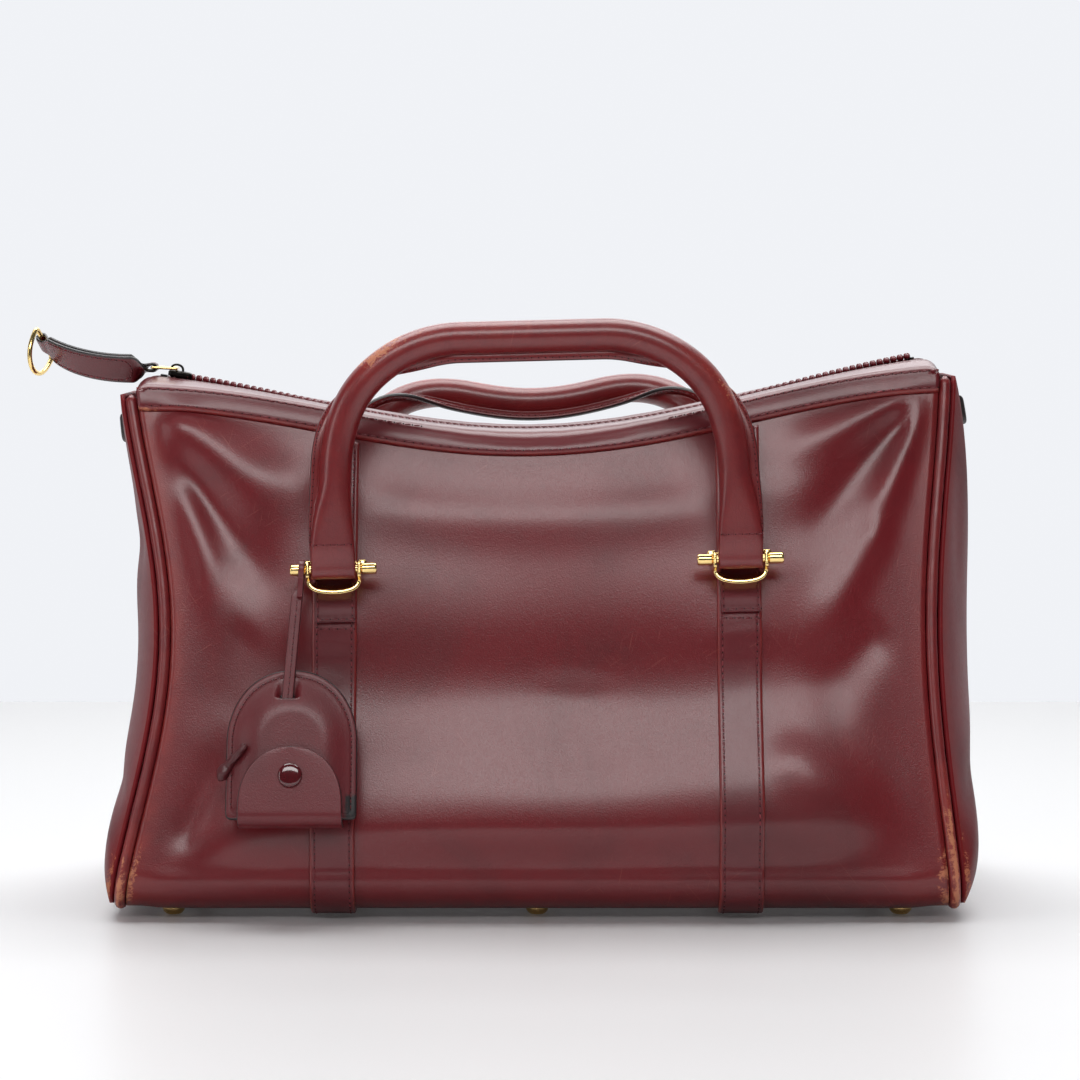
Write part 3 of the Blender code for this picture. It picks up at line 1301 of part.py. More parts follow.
def flap_fold(frame):
    """The middle of the flap's fold: down and out."""
    back, _, flap = holder_levels(frame)
    down = HOLDER_TOP_DROP + HOLDER_HEIGHT + FLAP_FOLD_RADIUS + GAP
    return down, back + 0.5 * HOLDER_LEAF


def build_flap(frame, origin, materials):
    """The flap that folds up from the back leaf's lower edge over the front leaf."""
    _, _, level = holder_levels(frame)
    fold_down, fold_out = flap_fold(frame)
    straight, turn, end = FLAP_FOLD_SHARES
    rows = [(fold_down, fold_out, 1.0), (fold_down, blend(fold_out, level, straight), 1.0),
            (fold_down - turn * FLAP_FOLD_RADIUS, level - HOLDER_LEAF, 1.0),
            (fold_down - end * FLAP_FOLD_RADIUS, level, 1.0)]
    bottom = rows[-1][0]
    top = fold_down - FLAP_HEIGHT
    for share in FLAP_ROW_SHARES:
        width = math.sqrt(max(1.0 - share ** FLAP_FULLNESS_SHARE, 0.0))
        rows.append((blend(bottom, top, share), level, max(width, FLAP_TIP_SHARE)))
    outer, inner = [], []
    count = len(rows)
    for index, (down, out, width) in enumerate(rows):
        before, after = rows[max(index - 1, 0)], rows[min(index + 1, count - 1)]
        ahead = unit((after[0] - before[0], after[1] - before[1]))
        away = np.array((-ahead[1], ahead[0]))
        if away[1] < 0 or (index < 2 and away[0] < 0):
            away = -away
        for grid, offset in ((outer, HOLDER_LEAF), (inner, 0.0)):
            row = []
            for edge in FLAP_COLUMN_SHARES:
                place = holder_point(frame, HOLDER_X + edge * FLAP_HALF_WIDTH * width,
                                     down + away[0] * offset, out + away[1] * offset)
                row.append(place)
            grid.append(row)
    points, faces = sheet_body(outer, inner)
    add_piece("key_holder_flap", points, faces, materials["strap"], origin=tuple(origin))


def build_snap(frame, flap_origin, holder_origin, materials):
    """The enamelled cap on the flap and the socket behind it."""
    _, front, level = holder_levels(frame)
    fold_down, _ = flap_fold(frame)
    down = fold_down - FLAP_HEIGHT + SNAP_DROP_FROM_FLAP_TOP
    out_way, across = frame.way(frame.out), frame.way(frame.level)
    centre = holder_point(frame, HOLDER_X, down, level + HOLDER_LEAF + GAP)
    profile = [(high * SNAP_HEIGHT, wide * SNAP_RADIUS) for high, wide in SNAP_PROFILE_SHARES]
    points, faces = turned_body(profile, centre, out_way, across, FOOT_SIDES)
    add_piece("snap_cap", points, faces, materials["enamel"], origin=tuple(flap_origin))
    low = front + HOLDER_POCKET + HOLDER_LEAF + GAP
    centre = holder_point(frame, HOLDER_X, down, low)
    high = FLAP_GAP - 2.0 * GAP
    points, faces = turned_body(((0.0, SOCKET_RADIUS), (high, SOCKET_RADIUS)), centre, out_way,
                                across, ROUND_SIDES)
    add_piece("snap_socket", points, faces, materials["gold"], origin=tuple(holder_origin))


def build_tail_knot(frame, origin, materials):
    """The knotted end of the thong at the key holder's left edge."""
    back, _, _ = holder_levels(frame)
    down = HOLDER_TOP_DROP + HOLDER_HEIGHT - TAIL_KNOT_HEIGHT
    left = HOLDER_X - HOLDER_HALF_WIDTH - GAP
    r, wide = TAIL_KNOT_RADIUS, TAIL_WIDTH_SHARE * TAIL_KNOT_RADIUS
    rings = []
    for reach, share in TAIL_PROFILE_SHARES:
        centre_along = left - r * reach * TAIL_SLOPE_SHARES[0]
        centre_down = down + r * reach * TAIL_SLOPE_SHARES[1]
        ring = []
        for step in range(PIPING_SIDES):
            angle = 2.0 * math.pi * step / PIPING_SIDES
            ring.append(holder_point(frame, centre_along + wide * share * math.cos(angle),
                                     centre_down - wide * share * math.cos(angle),
                                     back + r + r * share * math.sin(angle)))
        rings.append(ring)
    points, faces = tube_body(rings)
    add_piece("tail_knot", points, faces, materials["strap"], origin=tuple(origin))


def build_foot(x, y, name, materials):
    """A brass dome foot with a flat underside."""
    top = FOOT_HEIGHT - GAP
    low, swell, neck = FOOT_PROFILE_SHARES
    profile = ((0.0, FOOT_FLAT_RADIUS), (low * FOOT_SHOULDER, swell * FOOT_RADIUS),
               (FOOT_SHOULDER, FOOT_RADIUS), (top, neck * FOOT_RADIUS))
    points, faces = turned_body(profile, np.array((x, y, 0.0)), (0.0, 0.0, 1.0), (1.0, 0.0, 0.0),
                                FOOT_SIDES)
    add_piece(name, points, faces, materials["brass"])


def build_board(materials):
    """The stiff board on the bottom of the bag, under the lining."""
    low = FOOT_HEIGHT + LEATHER + GAP
    half_length = SEAM_HALF_LENGTH - BOARD_END_CLEARANCE
    half_depth = BASE_HALF_DEPTH - CORNER_RADIUS - BOARD_SIDE_CLEARANCE
    outline = [np.array((a * half_length, b * half_depth, low)) for a, b in BOARD_CORNER_SHARES]
    points, faces = prism_body(outline, np.zeros(3), np.array((0.0, 0.0, BOARD_THICKNESS)))
    add_piece("base_board", points, faces, materials["board"])


def lining_loop(z_share, inset):
    """One closed loop of the lining tub at a share of the bag's height."""
    floor = FOOT_HEIGHT + LEATHER + BOARD_THICKNESS + 2.0 * GAP
    half = SEAM_HALF_LENGTH - LINING_INSET - PIPING_RADIUS - inset
    loop = []
    places = [blend(-half, half, step / LINING_STEPS) for step in range(LINING_STEPS + 1)]
    for side, ordered in ((-1.0, places), (1.0, places[::-1])):
        for x in ordered:
            top = wrap_top(x)
            z = blend(floor + inset, top, z_share)
            if z_share == 0.0:
                depth = BASE_HALF_DEPTH - CORNER_RADIUS
            else:
                depth = face_depth(x, max(z, FACE_START_Z)) - LINING_INSET
            pull = waist_shift(x, z)
            loop.append(np.array((x + pull, side * (depth - inset), z)))
    return loop


def build_lining(materials):
    """The cloth tub inside the bag, open under the zip."""
    shares = LINING_HEIGHT_SHARES
    outer = [lining_loop(share, 0.0) for share in shares]
    inner = [lining_loop(share, LINING_THICKNESS) for share in shares]
    count = len(outer[0])
    points = [p for loop in outer for p in loop] + [p for loop in inner for p in loop]
    second = len(shares) * count
    faces = grid_faces(len(shares), count, 0, wrap_columns=True)
    faces += grid_faces(len(shares), count, second, wrap_columns=True)
    top = (len(shares) - 1) * count
    for i in range(count):
        a, b = top + i, top + (i + 1) % count
        faces.append((a, b, b + second, a + second))
    half = count // 2
    for first in (0, second):
        for i in range(half - 1):
            far = first + count - 1 - i
            faces.append((first + i, first + i + 1, far - 1, far))
    add_piece("lining", points, faces, materials["lining"])


def build_top(materials):
    """The bands, the zip and its pull."""
    for side, word in ((FRONT, "front"), (BACK, "back")):
        build_band(side, word + "_top_band", materials)
        build_tape(side, word + "_zip_tape", materials)
        build_teeth(side, word + "_zip_teeth", materials)
    build_stop(-1.0, "left_zip_stop", materials)
    build_stop(1.0, "right_zip_stop", materials)
    build_slider(materials)
    build_link(materials)
    build_zip_strap(materials)
    build_pull_ring(materials)


def build_side(face, word, lean_deg, dip, materials):
    """The chapes, stirrups, cross bars and handle of the front or the back."""
    frame = PanelFrame(face)
    hinge = frame.place(0.0, -BAR_RISE, frame.bar_out)
    for side, hand in ((-1.0, "left"), (1.0, "right")):
        label = word + "_" + hand
        build_chape(frame, side, label + "_strap_loop", materials)
        build_stirrup(frame, side, label + "_stirrup", hinge, materials)
        build_cross_bar(frame, side, label + "_cross_bar", hinge, materials)
    build_handle(frame, word + "_handle", lean_deg, dip, materials)
    return frame


def build_holder(frame, materials):
    """The key holder on the front left fitting."""
    knob = holder_point(frame, LANYARD_X, 0.0, frame.cross_out)
    fold_down, fold_out = flap_fold(frame)
    fold = holder_point(frame, HOLDER_X, fold_down, fold_out)
    build_lanyard(frame, knob, materials)
    build_key_holder(frame, knob, materials)
    build_flap(frame, fold, materials)
    build_snap(frame, fold, knob, materials)
    build_tail_knot(frame, knob, materials)


def main():
    """Build the whole bag."""
    clear_scene()
    materials = make_materials()
    build_wrap(materials)
    for side, word in ((-1.0, "left"), (1.0, "right")):
        build_piping(side, word + "_piping", materials)
        build_end_panel(side, word + "_end_panel", materials)
        build_end_tab(side, word + "_end_tab", materials)
        build_strap(side, word + "_strap", materials)
    build_top(materials)
    front = build_side(FRONT, "front", FRONT_HANDLE_LEAN_DEG, 0.0, materials)
    build_side(BACK, "back", BACK_HANDLE_LEAN_DEG, BACK_GRIP_DIP, materials)
    build_holder(front, materials)
    build_lining(materials)
    build_board(materials)
    for y, row in ((-FOOT_Y, "front"), (FOOT_Y, "back")):
        for x, word in ((-FOOT_X, "left"), (0.0, "middle"), (FOOT_X, "right")):
            build_foot(x, y, row + "_" + word + "_foot", materials)


main()
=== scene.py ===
"""Leather handbag, dressed: burgundy calf, gold fittings, stitching and a studio stage.

Metres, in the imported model's frame. Shapes are worked out about the bag's middle plane, as the
solids are, and moved by FRAME_SHIFT when they become meshes.
"""

import math

import bmesh
import bpy
import numpy as np
from bpy.props import FloatProperty, FloatVectorProperty, IntProperty, PointerProperty
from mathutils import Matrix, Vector


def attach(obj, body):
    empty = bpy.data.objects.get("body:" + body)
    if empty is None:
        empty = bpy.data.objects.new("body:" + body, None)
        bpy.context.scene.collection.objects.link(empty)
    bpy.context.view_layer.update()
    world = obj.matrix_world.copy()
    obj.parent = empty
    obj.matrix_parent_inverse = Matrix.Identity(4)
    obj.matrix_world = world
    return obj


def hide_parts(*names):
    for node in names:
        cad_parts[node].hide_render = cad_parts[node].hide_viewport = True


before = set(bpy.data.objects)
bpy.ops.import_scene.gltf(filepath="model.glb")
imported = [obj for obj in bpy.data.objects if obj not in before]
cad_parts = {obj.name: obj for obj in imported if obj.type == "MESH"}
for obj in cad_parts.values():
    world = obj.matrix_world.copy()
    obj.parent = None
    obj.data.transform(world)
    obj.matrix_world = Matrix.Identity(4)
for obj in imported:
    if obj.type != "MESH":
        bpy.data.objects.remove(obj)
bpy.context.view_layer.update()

bl_info = {
    "name": "Leather handbag",
    "version": (1, 0, 0),
    "blender": (4, 5, 0),
    "location": "3D View > Sidebar > Handbag",
    "description": "Builds a dressed leather handbag around its fixed frame",
    "category": "Object",
}

FOOT_Y = 0.0585
FRAME_SHIFT = np.array((0.0, FOOT_Y, 0.0))

# Body of the bag
SEAM_HALF_LENGTH, BASE_HALF_DEPTH, TOP_HALF_DEPTH = 0.157, 0.075, 0.021
TOP_HEIGHT, TOP_RISE, TOP_SAG = 0.203, 0.007, 0.0205
FOOT_HEIGHT, CORNER_RADIUS, BELLY = 0.004, 0.012, 0.004
WAIST_LEFT, WAIST_RIGHT, WAIST_FADE, WAIST_POWER = 0.016, 0.0075, 0.062, 1.5
LEATHER, GAP = 0.0016, 0.0003
BAND_HALF_LENGTH, BAND_STRAIGHT = 0.1545, 0.12
BAND_HEIGHT, BAND_THICKNESS, BAND_LIP_FROM_ZIP, BAND_LIP_SHARE = 0.0105, 0.0014, 0.0075, 0.55
PIPING_RADIUS, PIPING_INSET, PIPING_TOP_DROP = 0.0022, 0.001, 0.0042
END_BULGE, END_CENTRE_HEIGHT, END_SWELL = 0.0128, 0.092, 2.4
END_TAB_WIDTH, END_TAB_HEIGHT, END_TAB_THICKNESS, END_TAB_DROP = 0.013, 0.012, 0.0018, 0.008

# Zip and its pull
ZIP_HALF_LENGTH, ZIP_SAG, ZIP_END_LIFT, ZIP_STRAIGHT = 0.147, 0.026, 0.0035, 0.5
ZIP_PITCH, CHAIN_HEIGHT, BEAD_OUTER, TAPE_OUTER = 0.0027, 0.0016, 0.0027, 0.0125
STOP_LENGTH, SLIDER_LENGTH, SLIDER_HALF_WIDTH = 0.0025, 0.0095, 0.0036
SLIDER_PLATE, SLIDER_CLEARANCE = 0.0007, 0.0004
LUG_OFFSET, LUG_EYE_HEIGHT, LUG_LENGTH = 0.0016, 0.0015, 0.0048
LINK_LENGTH, LINK_HALF_WIDTH, LINK_ROD, LINK_PITCH = 0.0096, 0.0047, 0.001, 3.0
PULL_LENGTH, PULL_WIDTH, PULL_THICKNESS = 0.0515, 0.0128, 0.0026
PULL_START_PITCH, PULL_END_PITCH, PULL_YAW, PULL_ROLL = -6.0, 28.0, 52.0, 52.0
PULL_FLAT, PULL_TURN, PULL_WIDEN, PULL_TONGUE, PULL_LOOP = 0.0008, 0.0075, 0.0045, 0.0045, 0.0011
RING_ROD, RING_HALF_BAR, RING_BOW, RING_BEND = 0.00095, 0.0084, 0.0138, 0.0012

# Straps, fittings and handles
STRAP_X, STRAP_WIDTH, STRAP_THICKNESS = 0.0765, 0.0168, 0.0016
FITTING_HEIGHT, FITTING_RISE = 0.129, 0.0039
CHAPE_WIDTH, CHAPE_THICKNESS, CHAPE_GAP, CHAPE_DROP = 0.0148, 0.0011, 0.0004, 0.0185
BAR_SIZE, BAR_CLEARANCE, BAR_RISE, CHAPE_TAIL = 0.0016, 0.0005, 0.0034, 0.002
STIRRUP_ROD, STIRRUP_HALF, STIRRUP_DROP, STIRRUP_SIDE = 0.0013, 0.0097, 0.0069, 0.0028
STIRRUP_BEND, STIRRUP_EAR, STIRRUP_SMILE = 0.001, 0.0024, 0.0068
CROSS_BAR_RADIUS, CROSS_BAR_OUT = 0.0015, 0.0069
KNOB_RADIUS, KNOB_LENGTH = 0.0022, 0.0056
HANDLE_RISE, HANDLE_CORNER, GRIP_RADIUS = 0.0855, 0.05, 0.0061
LEG_HALF_WIDTH, LEG_END_THICKNESS, LEG_THICKNESS, LEG_LOOP = 0.0084, 0.0037, 0.0045, 0.009
LEG_BOW, LEG_BOW_END, WELT_REACH, WELT_HALF = 0.0018, 50.0, 0.0032, 0.0011
FRONT_LEAN, BACK_LEAN, BACK_DIP, DIP_HALF = 2.0, -41.0, 0.013, 0.068

# Key holder
HOLDER_X, LANYARD_X, LANYARD_CANT = -0.0913, -0.0895, 4.3
LANYARD_WIDTH, LANYARD_THICKNESS, LANYARD_LOOP = 0.0042, 0.0014, 0.0026
LANYARD_BACK, LANYARD_LENGTH = 0.0027, 0.062
HOLDER_DROP, HOLDER_HEIGHT, HOLDER_HALF, HOLDER_LEAF, HOLDER_POCKET = (
    0.0375, 0.0562, 0.0243, 0.0014, 0.0037)
FLAP_HALF, FLAP_HEIGHT, FLAP_GAP, FLAP_FOLD = 0.0194, 0.0295, 0.0015, 0.0014
SNAP_RADIUS, SNAP_HEIGHT, SNAP_DROP = 0.0045, 0.0016, 0.0125
KNOT_RADIUS, KNOT_HEIGHT = 0.0024, 0.0185
FOOT_RADIUS, FOOT_X = 0.0043, 0.1375

# Sewing: a welt's points in a section, and the height of a thread over its leather
WELT_POINTS, THREAD_LIFT = 9, 0.00003

# Stage: name, place, aim, size and watts of each lamp, and the camera
LAMPS = (
    ("key", (-0.1, -1.22, 1.18), (0.0, 0.0, 0.08), (1.4, 0.45), 12.5),
    ("overhead", (0.0, 0.45, 1.5), (0.0, 0.2, 0.1), (1.8, 0.9), 27.0),
    ("side_left", (-1.5, -0.7, 0.55), (0.0, 0.0, 0.1), (0.5, 0.9), 3.5),
    ("rear", (0.0, 1.7, 1.1), (0.0, 0.0, 0.15), (1.8, 0.7), 7.0),
)
FILL_COLOUR, FILL_STRENGTH = (0.93, 0.95, 1.0, 1.0), 0.09
CAMERA_DISTANCE, CAMERA_PITCH, FRAME_WIDTH, SENSOR_MM = 1.25, 4.5, 0.4, 36.0
AIM_X, AIM_HEIGHT = 0.0011, 0.143
TABLE_HALF_WIDTH, TABLE_FRONT, TABLE_THICKNESS = 3.0, -3.0, 0.03
WALL_Y, WALL_HALF_WIDTH, WALL_LOW, WALL_HIGH = 2.6, 6.0, -3.0, 5.0


class LeatherSizes(bpy.types.PropertyGroup):
    """Colours and depths of the leather."""

    calf: FloatVectorProperty(name="Calf", description="Colour of the burgundy leather",
                              subtype="COLOR", size=4, default=(0.15, 0.0072, 0.0112, 1.0))
    strap: FloatVectorProperty(name="Strap leather", description="Colour of the trimmings",
                               subtype="COLOR", size=4, default=(0.125, 0.0068, 0.0115, 1.0))
    # Dye and pit shade: darker dye clouds, and painted shade in the grain's pits and creases.
    deep: FloatVectorProperty(name="Deep tone", description="Darker tone in the hollows",
                              subtype="COLOR", size=4, default=(0.045, 0.0018, 0.0035, 1.0))
    # Burnish and sheen: a brighter red for real rubbing, which the wrap's strips along its end
    # seams also use as a painted highlight.
    burnish: FloatVectorProperty(name="Burnish", description="Brighter red where hands rub",
                                 subtype="COLOR", size=4, default=(0.25, 0.02, 0.016, 1.0))
    worn: FloatVectorProperty(name="Worn", description="Bare leather where the finish has gone",
                              subtype="COLOR", size=4, default=(0.56, 0.21, 0.115, 1.0))
    # Also the black of the painted shade in the key holder's slot and open pocket side.
    edge: FloatVectorProperty(name="Edge paint", description="Black paint on cut edges",
                              subtype="COLOR", size=4, default=(0.012, 0.009, 0.01, 1.0))
    grain: FloatProperty(name="Grain depth", description="Depth of the calf's fine grain",
                         unit="LENGTH", default=0.00009)
    fold: FloatProperty(name="Fold scale", description="Strength of the body's soft folds",
                        default=1.0)


class StitchSizes(bpy.types.PropertyGroup):
    """Sizes of the sewing."""

    band_pitch: FloatProperty(name="Band pitch", description="From stitch to stitch on the bands",
                              unit="LENGTH", default=0.0035)
    strap_pitch: FloatProperty(name="Strap pitch", description="From stitch to stitch on straps",
                               unit="LENGTH", default=0.0026)
    fine_pitch: FloatProperty(name="Fine pitch", description="Stitches of the key holder",
                              unit="LENGTH", default=0.0021)
    width: FloatProperty(name="Thread width", description="Thickness of the thread",
                         unit="LENGTH", default=0.00062)
    fill: FloatProperty(name="Fill", description="Share of the pitch that a stitch fills",
                        default=0.74)
    thread: FloatVectorProperty(name="Thread", description="Colour of the thread",
                                subtype="COLOR", size=4, default=(0.13, 0.008, 0.014, 1.0))
    seed: IntProperty(name="Seed", description="Seed of the stitches' small unevenness", default=4)


class MetalSizes(bpy.types.PropertyGroup):
    """Colours of the metal."""

    gold: FloatVectorProperty(name="Gold", description="Colour of the gold plate",
                              subtype="COLOR", size=4, default=(0.98, 0.72, 0.3, 1.0))
    brass: FloatVectorProperty(name="Brass", description="Colour of the feet",
                               subtype="COLOR", size=4, default=(0.7, 0.49, 0.2, 1.0))
    sides: IntProperty(name="Sides", description="Facets round a turned piece", default=32)


class StageSizes(bpy.types.PropertyGroup):
    """The table, the backdrop and the light."""

    floor: FloatVectorProperty(name="Table", description="Colour of the table top",
                               subtype="COLOR", size=4, default=(0.9, 0.9, 0.905, 1.0))
    backdrop: FloatVectorProperty(name="Backdrop", description="Colour of the backdrop",
                                  subtype="COLOR", size=4, default=(0.875, 0.89, 0.925, 1.0))
    level: FloatProperty(name="Light level", description="Scale of every lamp", default=1.0)
    table_back: FloatProperty(name="Table edge", description="Where the table ends behind the bag",
                              unit="LENGTH", default=0.634)


def blend(start, end, share):
    """The value a share of the way from start to end."""
    return start + (end - start) * share


def smooth(share):
    """Shares eased at both ends."""
    share = np.clip(share, 0.0, 1.0)
    return share * share * (3.0 - 2.0 * share)


def unit(vectors):
    """Vectors at length one."""
    vectors = np.asarray(vectors, float)
    return vectors / np.linalg.norm(vectors, axis=-1, keepdims=True)


def bell(value, centre, width):
    """A smooth bump that is 1 at its centre."""
    return np.exp(-((value - centre) / width) ** 2)


def sag_share(share, straight):
    """How far a line hung from both ends dips at a share of its half length."""
    share = np.clip(np.abs(share), 0.0, 1.0)
    return blend(0.5 * (1.0 + np.cos(np.pi * share)), 1.0 - share * share, straight)


def corner_line(x):
    """Height of the line through the bag's two top corners."""
    return TOP_HEIGHT + TOP_RISE * x / (2.0 * BAND_HALF_LENGTH)


def band_top(x):
    """Height of the bands' upper edge."""
    return corner_line(x) - TOP_SAG * sag_share(x / BAND_HALF_LENGTH, BAND_STRAIGHT)


def zip_top(x):
    """Height of the upper side of the zip's teeth."""
    return corner_line(x) + ZIP_END_LIFT - ZIP_SAG * sag_share(x / ZIP_HALF_LENGTH, ZIP_STRAIGHT)


def wrap_top(x):
    """Height of the wrap's upper edge, inside the fold of the band."""
    return band_top(x) - BAND_THICKNESS - GAP


def lip_height(x):
    """Height of the band's upper side beside the zip."""
    return blend(band_top(x), zip_top(x), BAND_LIP_SHARE)


def lean_angle():
    """Angle of the front from the vertical."""
    inward = BASE_HALF_DEPTH - CORNER_RADIUS - TOP_HALF_DEPTH
    upward = TOP_HEIGHT - FOOT_HEIGHT - CORNER_RADIUS
    return math.atan2(inward, upward) + math.asin(CORNER_RADIUS / math.hypot(inward, upward))


LEAN = lean_angle()
FACE_START_Z = FOOT_HEIGHT + CORNER_RADIUS + CORNER_RADIUS * math.sin(LEAN)
FACE_START_Y = BASE_HALF_DEPTH - CORNER_RADIUS + CORNER_RADIUS * math.cos(LEAN)


def near_end(x):
    """How near the end of the bag a place is, from 0 to 1."""
    return smooth((np.abs(x) - SEAM_HALF_LENGTH + WAIST_FADE) / WAIST_FADE)


def waist_shift(x, z):
    """How far the end of the bag is drawn in at a height."""
    drawn = np.sin(np.pi * np.clip(z / TOP_HEIGHT, 0.0, 1.0)) ** WAIST_POWER * near_end(x)
    return np.where(x < 0, WAIST_LEFT, -WAIST_RIGHT) * drawn


def face_depth(x, z):
    """Distance of the front face from the middle plane."""
    share = (z - FACE_START_Z) / (wrap_top(x) - FACE_START_Z)
    swell = BELLY * np.sin(np.pi * np.clip(share, 0.0, 1.0)) * (1.0 - near_end(x))
    return FACE_START_Y - (z - FACE_START_Z) * math.tan(LEAN) + swell


def wrap_point(x, v):
    """Points on the outside of the wrap, 0 to 1 down the front, then round, under and up to 5."""
    x, v = np.broadcast_arrays(np.asarray(x, float), np.asarray(v, float))
    sign = np.where(v > 2.5, 1.0, -1.0)
    v = np.where(v > 2.5, 5.0 - v, v)
    top = wrap_top(x)
    z_face = blend(top, FACE_START_Z, np.clip(v, 0.0, 1.0))
    angle = blend(LEAN, -0.5 * math.pi, np.clip(v - 1.0, 0.0, 1.0))
    centre = BASE_HALF_DEPTH - CORNER_RADIUS
    y_arc = centre + CORNER_RADIUS * np.cos(angle)
    z_arc = FOOT_HEIGHT + CORNER_RADIUS + CORNER_RADIUS * np.sin(angle)
    y_low = centre - 2.0 * centre * np.clip(v - 2.0, 0.0, 1.0)
    y = np.where(v <= 1.0, face_depth(x, z_face), np.where(v <= 2.0, y_arc, y_low))
    z = np.where(v <= 1.0, z_face, np.where(v <= 2.0, z_arc, FOOT_HEIGHT))
    return np.stack((x + waist_shift(x, z), sign * y, z), axis=-1)


def surface_way(surface, x, v):
    """The direction out of a surface at places on it."""
    step, rise = 0.0002, 0.001
    along_x = surface(x + step, v) - surface(x - step, v)
    along_v = surface(x, np.minimum(v + rise, 5.0)) - surface(x, np.maximum(v - rise, 0.0))
    return unit(np.cross(along_v, along_x))


def fold(x, z, start, end, width, height):
    """A soft ridge or valley along a line on the face, in millimetres, fading at its ends."""
    ax, az = start
    bx, bz = end
    length = math.hypot(bx - ax, bz - az)
    ux, uz = (bx - ax) / length, (bz - az) / length
    along = (x - ax) * ux + (z - az) * uz
    off = (x - ax) * -uz + (z - az) * ux
    share = along / length
    wide = width * blend(0.55, 1.25, np.clip(share, 0.0, 1.0))
    ends = smooth(share * 5.0) * smooth((1.0 - share) * 2.2)
    return height * ends * np.exp(-(off / wide) ** 2)


# Folds: start and end as (along, up), then width and height, all in millimetres
FRONT_FOLDS = (
    ((-150, 190), (-84, 146), 14.0, 3.6),
    ((-150, 176), (-88, 108), 12.0, -2.8),
    ((-146, 182), (-128, 96), 8.0, 1.8),
    ((-112, 112), (-132, 62), 16.0, -1.2),
    ((-142, 14), (-66, 34), 13.0, 2.6),
    ((-139, 22), (-120, 74), 9.0, -1.6),
    ((151, 198), (126, 128), 6.0, 2.6),
    ((149, 197), (84, 166), 8.0, 2.2),
    ((148, 194), (95, 132), 9.0, -2.4),
    ((139, 150), (96, 92), 9.0, 1.6),
    ((84, 66), (150, 28), 15.0, 1.5),
    ((140, 110), (98, 76), 12.0, -1.6),
)
BACK_FOLDS = (
    ((-150, 194), (-95, 140), 9.0, 2.2),
    ((-146, 192), (-110, 150), 6.0, -1.6),
    ((150, 197), (92, 138), 9.0, 2.4),
    ((146, 193), (112, 150), 6.0, -1.6),
    ((-120, 30), (-90, 70), 12.0, 1.6),
    ((115, 28), (88, 64), 12.0, 1.4),
)


def drape(x, v):
    """How far the soft leather stands off its plain shape."""
    back = v > 2.5
    v = np.where(back, 5.0 - v, v)
    top = wrap_top(x)
    z = 1000.0 * blend(top, FACE_START_Z, np.clip(v, 0.0, 1.0))
    mm = 1000.0 * x
    middle = 1.0 - smooth((np.abs(mm) - 78.0) / 55.0)
    hang = 0.0016 * mm * mm
    lifted = 1.2 * bell(z, 148.0 + 0.7 * hang, 9.5) * middle
    lifted = lifted - 2.5 * bell(z, 88.0 + 0.2 * hang, 18.0) * middle
    lower = 6.2 * bell(z, 36.0 + 0.05 * mm, 24.0) * (1.0 - smooth((np.abs(mm) - 92.0) / 50.0))
    lifted = lifted + lower * (1.0 - 0.6 * bell(mm, -91.0, 30.0) * ~back)
    creases_front = sum(fold(mm, z, *line) for line in FRONT_FOLDS)
    creases_back = sum(fold(mm, z, *line) for line in BACK_FOLDS)
    lifted = lifted + np.where(back, creases_back, creases_front)
    lifted = lifted + 0.35 * np.sin(mm / 17.0 + z / 23.0) * middle
    fitting = bell(np.abs(mm), 76.5, 15.0) * smooth((z - 96.0) / 14.0) * smooth((172.0 - z) / 20.0)
    calm = 1.0 - 0.92 * fitting
    calm = calm * smooth(v / 0.085) * (1.0 - smooth((v - 0.9) / 0.12))
    calm = calm * (1.0 - smooth((np.abs(mm) - 143.0) / 12.0))
    scale = bpy.context.scene.bag_leather.fold
    sunk = smooth((v - 0.93) / 0.3) * (1.0 - smooth((np.abs(mm) - 138.0) / 14.0))
    return 0.001 * scale * (np.clip(lifted * calm, -2.6, 6.5) + sunk)


def soft_wrap(x, v):
    """The wrap's outside with its folds."""
    return wrap_point(x, v) + surface_way(wrap_point, x, v) * drape(x, v)[..., None]


def skin(x, v, lift=0.0):
    """Points lifted off the folded wrap."""
    x, v = np.broadcast_arrays(np.asarray(x, float), np.asarray(v, float))
    lift = np.broadcast_to(np.asarray(lift, float), x.shape)
    return soft_wrap(x, v) + surface_way(soft_wrap, x, v) * lift[..., None]


def v_at_height(x, z):
    """The share down the front at which the wrap has a height."""
    return (wrap_top(x) - z) / (wrap_top(x) - FACE_START_Z)


def even_stations(start, face=84, corner=11, bottom=26):
    """Shares from the front's top round to the back's top, evenly spread along the leather."""
    half = np.concatenate((np.linspace(start, 1.0, face, endpoint=False),
                           np.linspace(1.0, 2.0, corner, endpoint=False),
                           np.linspace(2.0, 2.5, bottom)))
    return np.concatenate((half, (5.0 - half[:-1])[::-1]))


def grid_faces(rows, columns, first=0, round_rows=False, round_columns=False):
    """Quads over a grid of points laid out row by row."""
    row = np.arange(rows if round_rows else rows - 1)
    column = np.arange(columns if round_columns else columns - 1)
    r, c = [part.ravel() for part in np.meshgrid(row, column, indexing="ij")]
    ahead, beside = (r + 1) % rows, (c + 1) % columns
    quads = np.stack((r * columns + c, r * columns + beside, ahead * columns + beside,
                      ahead * columns + c), axis=1) + first
    return [tuple(quad) for quad in quads.tolist()]


def sheet_parts(outer, inner):
    """Points and faces of a sheet with two skins and a rim."""
    rows, columns = outer.shape[:2]
    count = rows * columns
    faces = grid_faces(rows, columns)
    faces += [tuple(reversed(face)) for face in grid_faces(rows, columns, count)]
    for start in (0, (rows - 1) * columns):
        faces += [(start + c, start + c + 1, start + c + 1 + count, start + c + count)
                  for c in range(columns - 1)]
    for start in (0, columns - 1):
        faces += [(r * columns + start, (r + 1) * columns + start,
                   (r + 1) * columns + start + count, r * columns + start + count)
                  for r in range(rows - 1)]
    return np.concatenate((outer.reshape(-1, 3), inner.reshape(-1, 3))), faces


